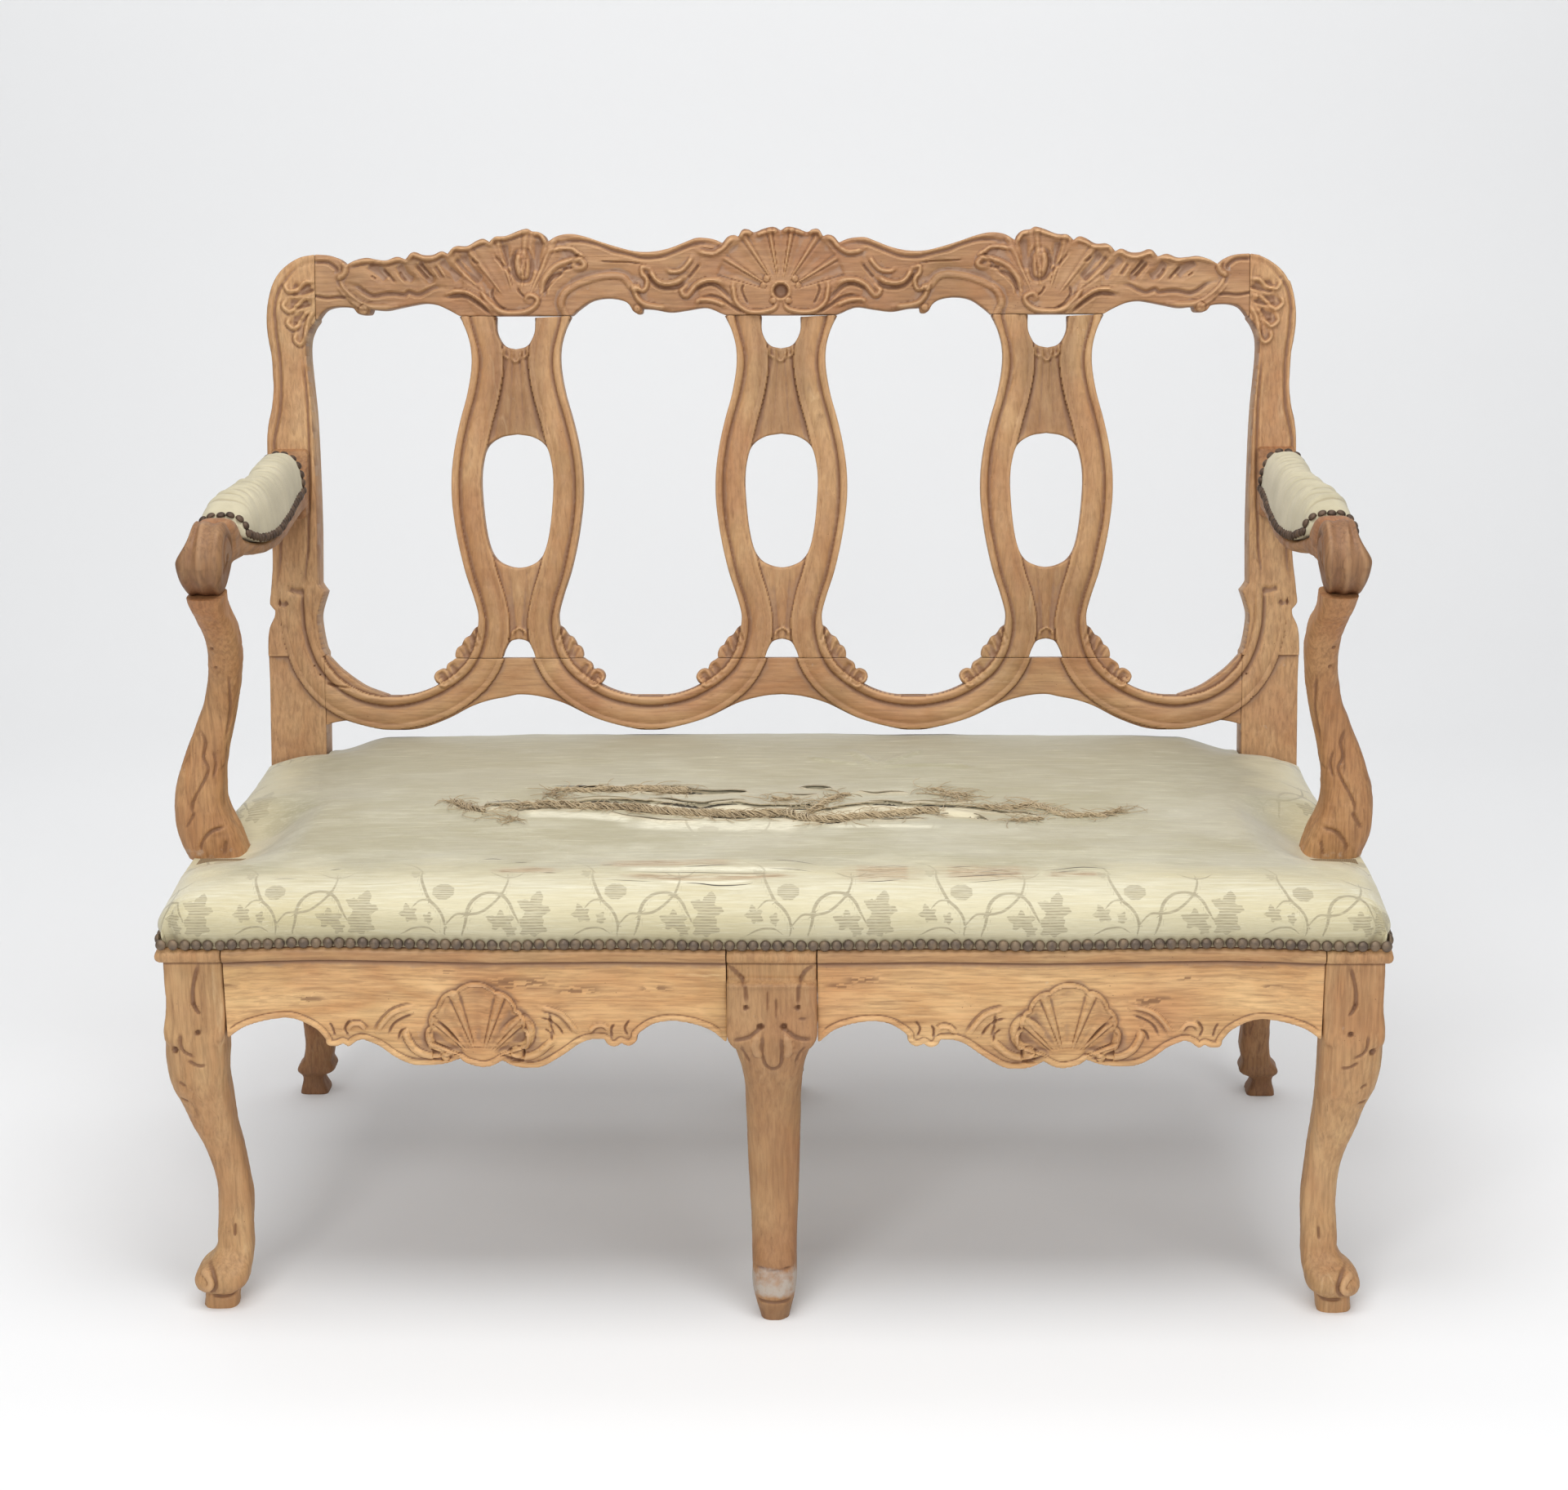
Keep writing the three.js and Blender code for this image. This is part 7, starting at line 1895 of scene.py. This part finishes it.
def damask(A, B):
    """The woven vine with its leaves: place across the line, half width of the line, depth in a leaf."""
    strokes, leaf = [], np.full(A.shape, -3.0)
    for row in range(-1, 5):
        for column in range(-4, 9):
            shift = np.array([column * TILE[0] + 0.5 * TILE[0] * (row % 2), row * TILE[1]])
            strokes += [(1.35 * width, np.asarray(points, float) + shift) for width, points in VINE]
            for x, y, radius, lobed, turn in LEAVES:
                centre = np.array([x, y]) + shift
                win = window(A, B, centre - 1.4 * radius, centre + 1.4 * radius)
                dx, dy = A[win] - centre[0], B[win] - centre[1]
                angle = np.arctan2(dy, dx) - turn
                point = np.abs(np.cos(2.5 * angle))
                leafy = 0.42 + (0.42 * point ** 0.7 + 0.20 * point ** 8) * (0.80 + 0.20 * np.cos(angle))
                leafy = leafy * (1 + 0.16 * np.sin(2 * angle + x)) + 0.05 * np.sin(17 * angle)
                rim = radius * (leafy if lobed else 0.92 + 0.10 * np.abs(np.sin(4 * angle)))
                leaf[win] = np.maximum(leaf[win], np.clip(rim - np.hypot(dx, dy), -3, 3))
    offset, half = nearest_stroke(A, B, strokes, 5.0, 0.25)
    return offset, half, leaf


def two_skins(name, faces, loops, skins, material, values):
    """A closed piece of two skins that are joined along their rims."""
    count = len(skins[0])
    rim = np.concatenate(loops)
    after = np.concatenate([np.roll(loop, -1) for loop in loops])
    walls = np.stack([after, rim, count + rim, count + after], 1)
    every = [*faces, *[f[:, ::-1] + count for f in faces], walls]
    both = {key: np.concatenate([c, c]) for key, c in values.items()}
    return new_object(name, in_frame(np.concatenate(skins)), every, material, 60, **both)


def seat_shell(s, A, B, lift, **values):
    """The silk where s is above 0, lifted off the plan's surface."""
    p = seat_places(A, B)
    n = seat_normals(p)
    p = p + n * lift[..., None]
    faces, loops, columns = marched(s, [*np.moveaxis(p, -1, 0), *np.moveaxis(n, -1, 0), *values.values()])
    top = np.stack(columns[:3], 1)
    down = top - SILK_THICK * np.stack(columns[3:6], 1)
    return two_skins("seat_silk", faces, loops, [top, down], SILK, dict(zip(values, columns[6:])))


def from_edge(A, B):
    """Length of cloth to its edge, which runs round the posts at the rear corners."""
    x, y, _ = np.moveaxis(seat_places(A, B), -1, 0)
    post = np.maximum(POST_GAP - np.abs(x), POST_FRONT - y)
    return np.minimum(np.minimum(CLOTH_HALF - np.abs(A), post), np.minimum(B, CLOTH_LONG - B))


def slit_strokes(least):
    """Half widths and lines of the slits at least so wide: those on the flat top open wider."""
    wide = [(width * (2.9 if points[0][1] > 200 else 1.6), points) for width, points in SLITS]
    return [(0.5 * width, points) for width, points in wide if width >= least]


def seat_cloth():
    A, B = uneven_grid(2.4, (0, 132, 1.6), (132, 228, 2.4), (228, 356, 1.5), (356, CLOTH_LONG - 2, 4.0))
    edge = from_edge(A, B)
    hole = np.full(A.shape, -20.0)
    ragged = 1.2 * noise2(A, B, 6, 7) + 0.6 * noise2(A, B, 2.8, 8)
    for points in OPENINGS:
        win, depth = depth_in(A, B, points)
        hole[win] = np.maximum(hole[win], depth + ragged[win])
    slit, gape = nearest_stroke(A, B, slit_strokes(0.0), 6.0, 0.5)
    wide, gap = nearest_stroke(A, B, slit_strokes(4.0), 10.0, 0.5)
    hole = np.maximum(hole, gap - np.abs(wide) - 12.0 * (gap < 0))
    wrinkle = 0.6 * noise2(A, B, 60, 5) + 0.3 * noise2(A, B * 2.5, 25, 6) + 0.12 * noise2(A * 0.15, B, 3.0,
                                                                                          9)
    wrinkle *= smoothstep(2, 40, edge)
    near_hole = np.exp(np.minimum(hole, 0) / 3.5)
    wrinkle += near_hole * (1.1 + 0.9 * noise2(A, B, 22, 12))
    wrinkle += 2.2 * patches(A, B, PINCHES) + 0.6 * np.exp(-(slit / 4.0) ** 2) * (gape > 0)
    across, half, leaf = damask(A, B)
    roll = np.minimum(CLOTH_HALF - np.abs(A), B)
    face = smoothstep(150, 55, roll + 16 * noise2(A, B * 3, 60, 15) + 6 * noise2(A * 0.3, B, 5, 16))
    made = seat_shell(np.minimum(edge - 0.5, -hole), A, B, wrinkle, face=face, vine=across, vine_half=half,
                      leaf=leaf, weft=B, slit=slit, gape=gape, pale=patches(A, B, PALE),
                      bare=patches(A, B, BARE), frayed=near_hole)
    settle(made, "damask_silk", "seat_cover")


def jute_threads():
    """Frayed threads that lie in the tears."""
    rng = np.random.default_rng(171)
    threads = []
    for width, path in ROPES:
        line = smooth(path, 2.5)
        width = 1.35 * width
        reach = lengths(line)
        tangent = unit(np.gradient(line, axis=0))
        across = np.stack([-tangent[:, 1], tangent[:, 0]], 1)
        for _ in range(int(width * 3.0)):
            low = rng.uniform(0, 0.55) * reach[-1]
            high = min(reach[-1], low + rng.uniform(0.35, 1.0) * reach[-1])
            held = (reach >= low) & (reach <= high)
            if held.sum() < 4:
                continue
            turn = rng.uniform(0, 6.3) + 6.3 * reach[held] / rng.uniform(16, 46)
            side = 0.5 * width * rng.uniform(0.3, 1.0) * np.cos(turn) + 0.8 * rng.normal(0, 1, held.sum())
            lift = -0.7 + (0.8 + 0.19 * width) * (1 + np.sin(turn)) * rng.uniform(0.6, 1.1)
            threads.append((line[held] + across[held] * side[:, None], lift, rng.uniform(0.4, 0.85)))
        for _ in range(int(reach[-1] / 1.7)):
            start = line[rng.integers(len(line))] + rng.normal(0, width / 3, 2)
            heading = rng.choice([0, math.pi]) + rng.normal(0, 0.7)
            t = np.linspace(0, rng.uniform(8, 36), 9)
            bend = rng.normal(0, 0.04)
            hair = start + np.stack([t * np.cos(heading + bend * t), 0.8 * t * np.sin(heading + bend * t)],
                                    1)
            threads.append((hair, 0.6 + rng.uniform(0, 4.5) * np.sin(t / t[-1] * rng.uniform(1.0, 2.6)),
                            0.36))
    points, quads, tris, count, sides = [], [], [], 0, 5
    spin = np.linspace(0, 2 * math.pi, sides, endpoint=False)
    k = np.arange(sides)
    for flat, lift, radius in threads:
        middle = seat_places(flat[:, 0], flat[:, 1], lift)
        ahead = np.gradient(middle, axis=0)
        level = unit(np.cross(ahead, [0.0, 0.0, 1.0]))
        upward = unit(np.cross(level, ahead))
        size = radius * np.interp(np.arange(len(flat)), [0, 1, len(flat) - 2, len(flat) - 1],
                                  [0.3, 1, 1, 0.3])
        ring = np.cos(spin)[None, :, None] * level[:, None] + np.sin(spin)[None, :, None] * upward[:, None]
        points += [(middle[:, None] + ring * size[:, None, None]).reshape(-1, 3), middle[:1], middle[-1:]]
        row = count + sides * np.arange(len(flat) - 1)[:, None]
        after = (k + 1) % sides
        quads.append(np.stack([row + k, row + sides + k, row + sides + after, row + after], -1).reshape(-1,
                                                                                                        4))
        last, tip = count + sides * (len(flat) - 1), count + sides * len(flat)
        tris.append(np.stack([np.full(sides, tip), count + k, count + (k + 1) % sides], 1))
        tris.append(np.stack([np.full(sides, tip + 1), last + (k + 1) % sides, last + k], 1))
        count = tip + 2
    points = np.concatenate(points)
    made = new_object("seat_frayed_jute", in_frame(points), [np.concatenate(quads), np.concatenate(tris)],
                      TOW, None)
    settle(made, "jute")


def seat_padding():
    A, B = uneven_grid(4.0, (0, 220, 7.0), (220, 360, 2.4), (360, CLOTH_LONG - 4, 7.0))
    edge = from_edge(A, B)
    p = seat_places(A, B)
    wide = [(half + 1.6, points) for half, points in slit_strokes(4.0)]
    slit, gape = nearest_stroke(A, B, wide, 11.0, 0.5)
    puff = np.zeros(A.shape)
    for points in OPENINGS:
        win, depth = depth_in(A, B, points)
        puff[win] = np.maximum(puff[win], smoothstep(0, 12, depth))
    fold = 0.8 * noise2(A * 0.3, B, 8, 17) + 0.5 * noise2(A, B, 14, 18)
    lift = puff * (1.6 + fold) - 3.0 * smoothstep(1.0, -1.0, np.abs(slit) - gape) * (gape > 0)
    top = p - (PAD_GAP - lift[..., None]) * seat_normals(p)
    shade = -0.9 * puff * smoothstep(0.2, -0.8, fold)
    fields = [*np.moveaxis(top, -1, 0), shade, slit, gape]
    faces, loops, columns = marched(edge - PAD_INSET, fields)
    upper = np.stack(columns[:3], 1)
    lower = upper.copy()
    lower[:, 2] = np.minimum(PAD_FOOT, upper[:, 2] - 3.0)
    values = dict(zip(("crease", "slit", "gape"), columns[3:]))
    made = two_skins("seat_pad", faces, loops, [upper, lower], UNDER_CLOTH, values)
    settle(made, "stuffing", "seat_stuffing")


def seat_nails():
    """Rows of heads along the seat's front, sides and rear."""
    x = np.linspace(-622, 622, 900)
    y = front_line(np.clip(x, -SEAT_HALF, SEAT_HALF)) - NAIL_STAND
    line = np.stack([x, y, np.full(len(x), NAIL_HEIGHT)], 1)
    out = np.stack([np.gradient(y, x), -np.ones(len(x)), np.zeros(len(x))], 1)
    nail_row("nail_heads_front", line, out, SEAT_NAIL, 141, BRONZE, "seat_nails_front")
    for name, side in SIDES:
        y = np.linspace(6, 489, 200)
        line = np.stack([side * (side_face(y) + NAIL_STAND), y, np.full(len(y), NAIL_HEIGHT)], 1)
        out = np.tile([side * 1.0, 0, 0], (len(y), 1))
        nail_row(f"nail_heads_{name}", line, out, SEAT_NAIL, 150 + side, BRONZE, f"seat_nails_{name}")
    x = np.linspace(-519, 519, 100)
    line = np.stack([x, np.full(100, SEAT_BACK + NAIL_STAND), np.full(100, NAIL_HEIGHT)], 1)
    nail_row("nail_heads_rear", line, np.tile([0, 1.0, 0], (100, 1)), SEAT_NAIL, 160, BRONZE,
             "seat_nails_rear")


seat_padding()
seat_cloth()
jute_threads()
seat_nails()

# Plain solids keep their shape: only their finish is set
def finish_cad(finish, *names):
    for name in names:
        node = bpy.data.objects[name]
        for slot in node.material_slots:
            slot.material = finish


finish_cad(JUTE, *[f"webbing_long_{k}" for k in (1, 2)], *[f"webbing_cross_{k}" for k in range(1, 7)],
           "hessian")
finish_cad(PLAIN_Y, "cross_brace")
CORNERS = [f"{end}_{side}" for end in ("front", "rear") for side in ("left", "right")]
finish_cad(PLAIN_X, "rear_rail_left", "rear_rail_right", *[f"corner_brace_{corner}" for corner in CORNERS])
finish_cad(STEEL, *[f"brace_screw_{corner}" for corner in CORNERS])

# Stage: a plain pale floor that rises into a backdrop, soft light and the camera
CAMERA_PLACE = (0.08705, -3.29781, 1.61349)
CAMERA_PITCH, CAMERA_YAW, CAMERA_ROLL = 0.3205, -0.02444, -0.00821
LENS = 73.07


def build_stage():
    n = Nodes("studio white")
    n.finish(Base_Color=(0.86, 0.865, 0.87, 1), Roughness=0.9)
    # from behind, the backdrop doesn't hide the settee
    rear_side = n.node("ShaderNodeNewGeometry").outputs["Backfacing"]
    clear = n.node("ShaderNodeBsdfTransparent").outputs[0]
    seen = n.node("ShaderNodeMixShader", {0: rear_side, 1: n.shader.outputs[0], 2: clear}).outputs[0]
    n.link(seen, n.tree.nodes["Material Output"].inputs["Surface"])
    rows = [(-6.0, 0.0), (1.6, 0.0)] + [
        (1.6 + 0.9 * math.sin(a), 0.9 - 0.9 * math.cos(a)) for a in np.linspace(0.1, math.pi / 2,
                                                                                12)] + [(2.5, 6.0)]
    points = [(x, y, z) for y, z in rows for x in (-8.0, 8.0)]
    faces = [(2 * k, 2 * k + 1, 2 * k + 3, 2 * k + 2) for k in range(len(rows) - 1)]
    floor = new_object("studio_sweep", np.array(points), [np.array(faces)], n.material)


def area_light(name, place, aim, size, power):
    data = bpy.data.lights.new(name, "AREA")
    data.shape, data.size, data.size_y = "RECTANGLE", size[0], size[1]
    data.energy = power
    lamp = bpy.data.objects.new(name, data)
    lamp.location = place
    lamp.rotation_euler = (Vector(aim) - Vector(place)).to_track_quat("-Z", "Y").to_euler()
    bpy.context.scene.collection.objects.link(lamp)


def build_light():
    area_light("key", (-0.9, -3.4, 2.4), (0, 0, 0.5), (2.0, 1.3), 54)
    area_light("fill", (2.2, -3.0, 1.9), (0, 0, 0.5), (2.0, 1.4), 26)
    area_light("top", (0, -0.72, 3.2), (0, 0.1, 0), (3.2, 1.7), 66)
    area_light("backdrop", (-0.7, 0.9, 3.1), (-0.7, 2.4, 0.5), (6.0, 0.8), 21)
    world = bpy.data.worlds.new("studio")
    world.use_nodes = True
    world.node_tree.nodes["Background"].inputs["Color"].default_value = (0.97, 0.98, 1.0, 1)
    world.node_tree.nodes["Background"].inputs["Strength"].default_value = 0.272
    bpy.context.scene.world = world


def build_camera():
    data = bpy.data.cameras.new("camera")
    data.lens, data.sensor_width = LENS, 36.0
    data.sensor_fit = "HORIZONTAL"
    cam = bpy.data.objects.new("camera", data)
    th, ps, ro = CAMERA_PITCH, CAMERA_YAW, CAMERA_ROLL
    forward = Vector((math.sin(ps) * math.cos(th), math.cos(ps) * math.cos(th), -math.sin(th)))
    right = Vector((math.cos(ps), -math.sin(ps), 0))
    up = right.cross(forward)
    right2 = math.cos(ro) * right + math.sin(ro) * up
    up2 = -math.sin(ro) * right + math.cos(ro) * up
    turn = Matrix((right2, up2, -forward)).transposed()
    cam.matrix_world = Matrix.Translation(CAMERA_PLACE) @ turn.to_4x4()
    bpy.context.scene.collection.objects.link(cam)
    bpy.context.scene.camera = cam


build_stage()
build_light()
build_camera()
bpy.context.scene.view_settings.view_transform = "Standard"
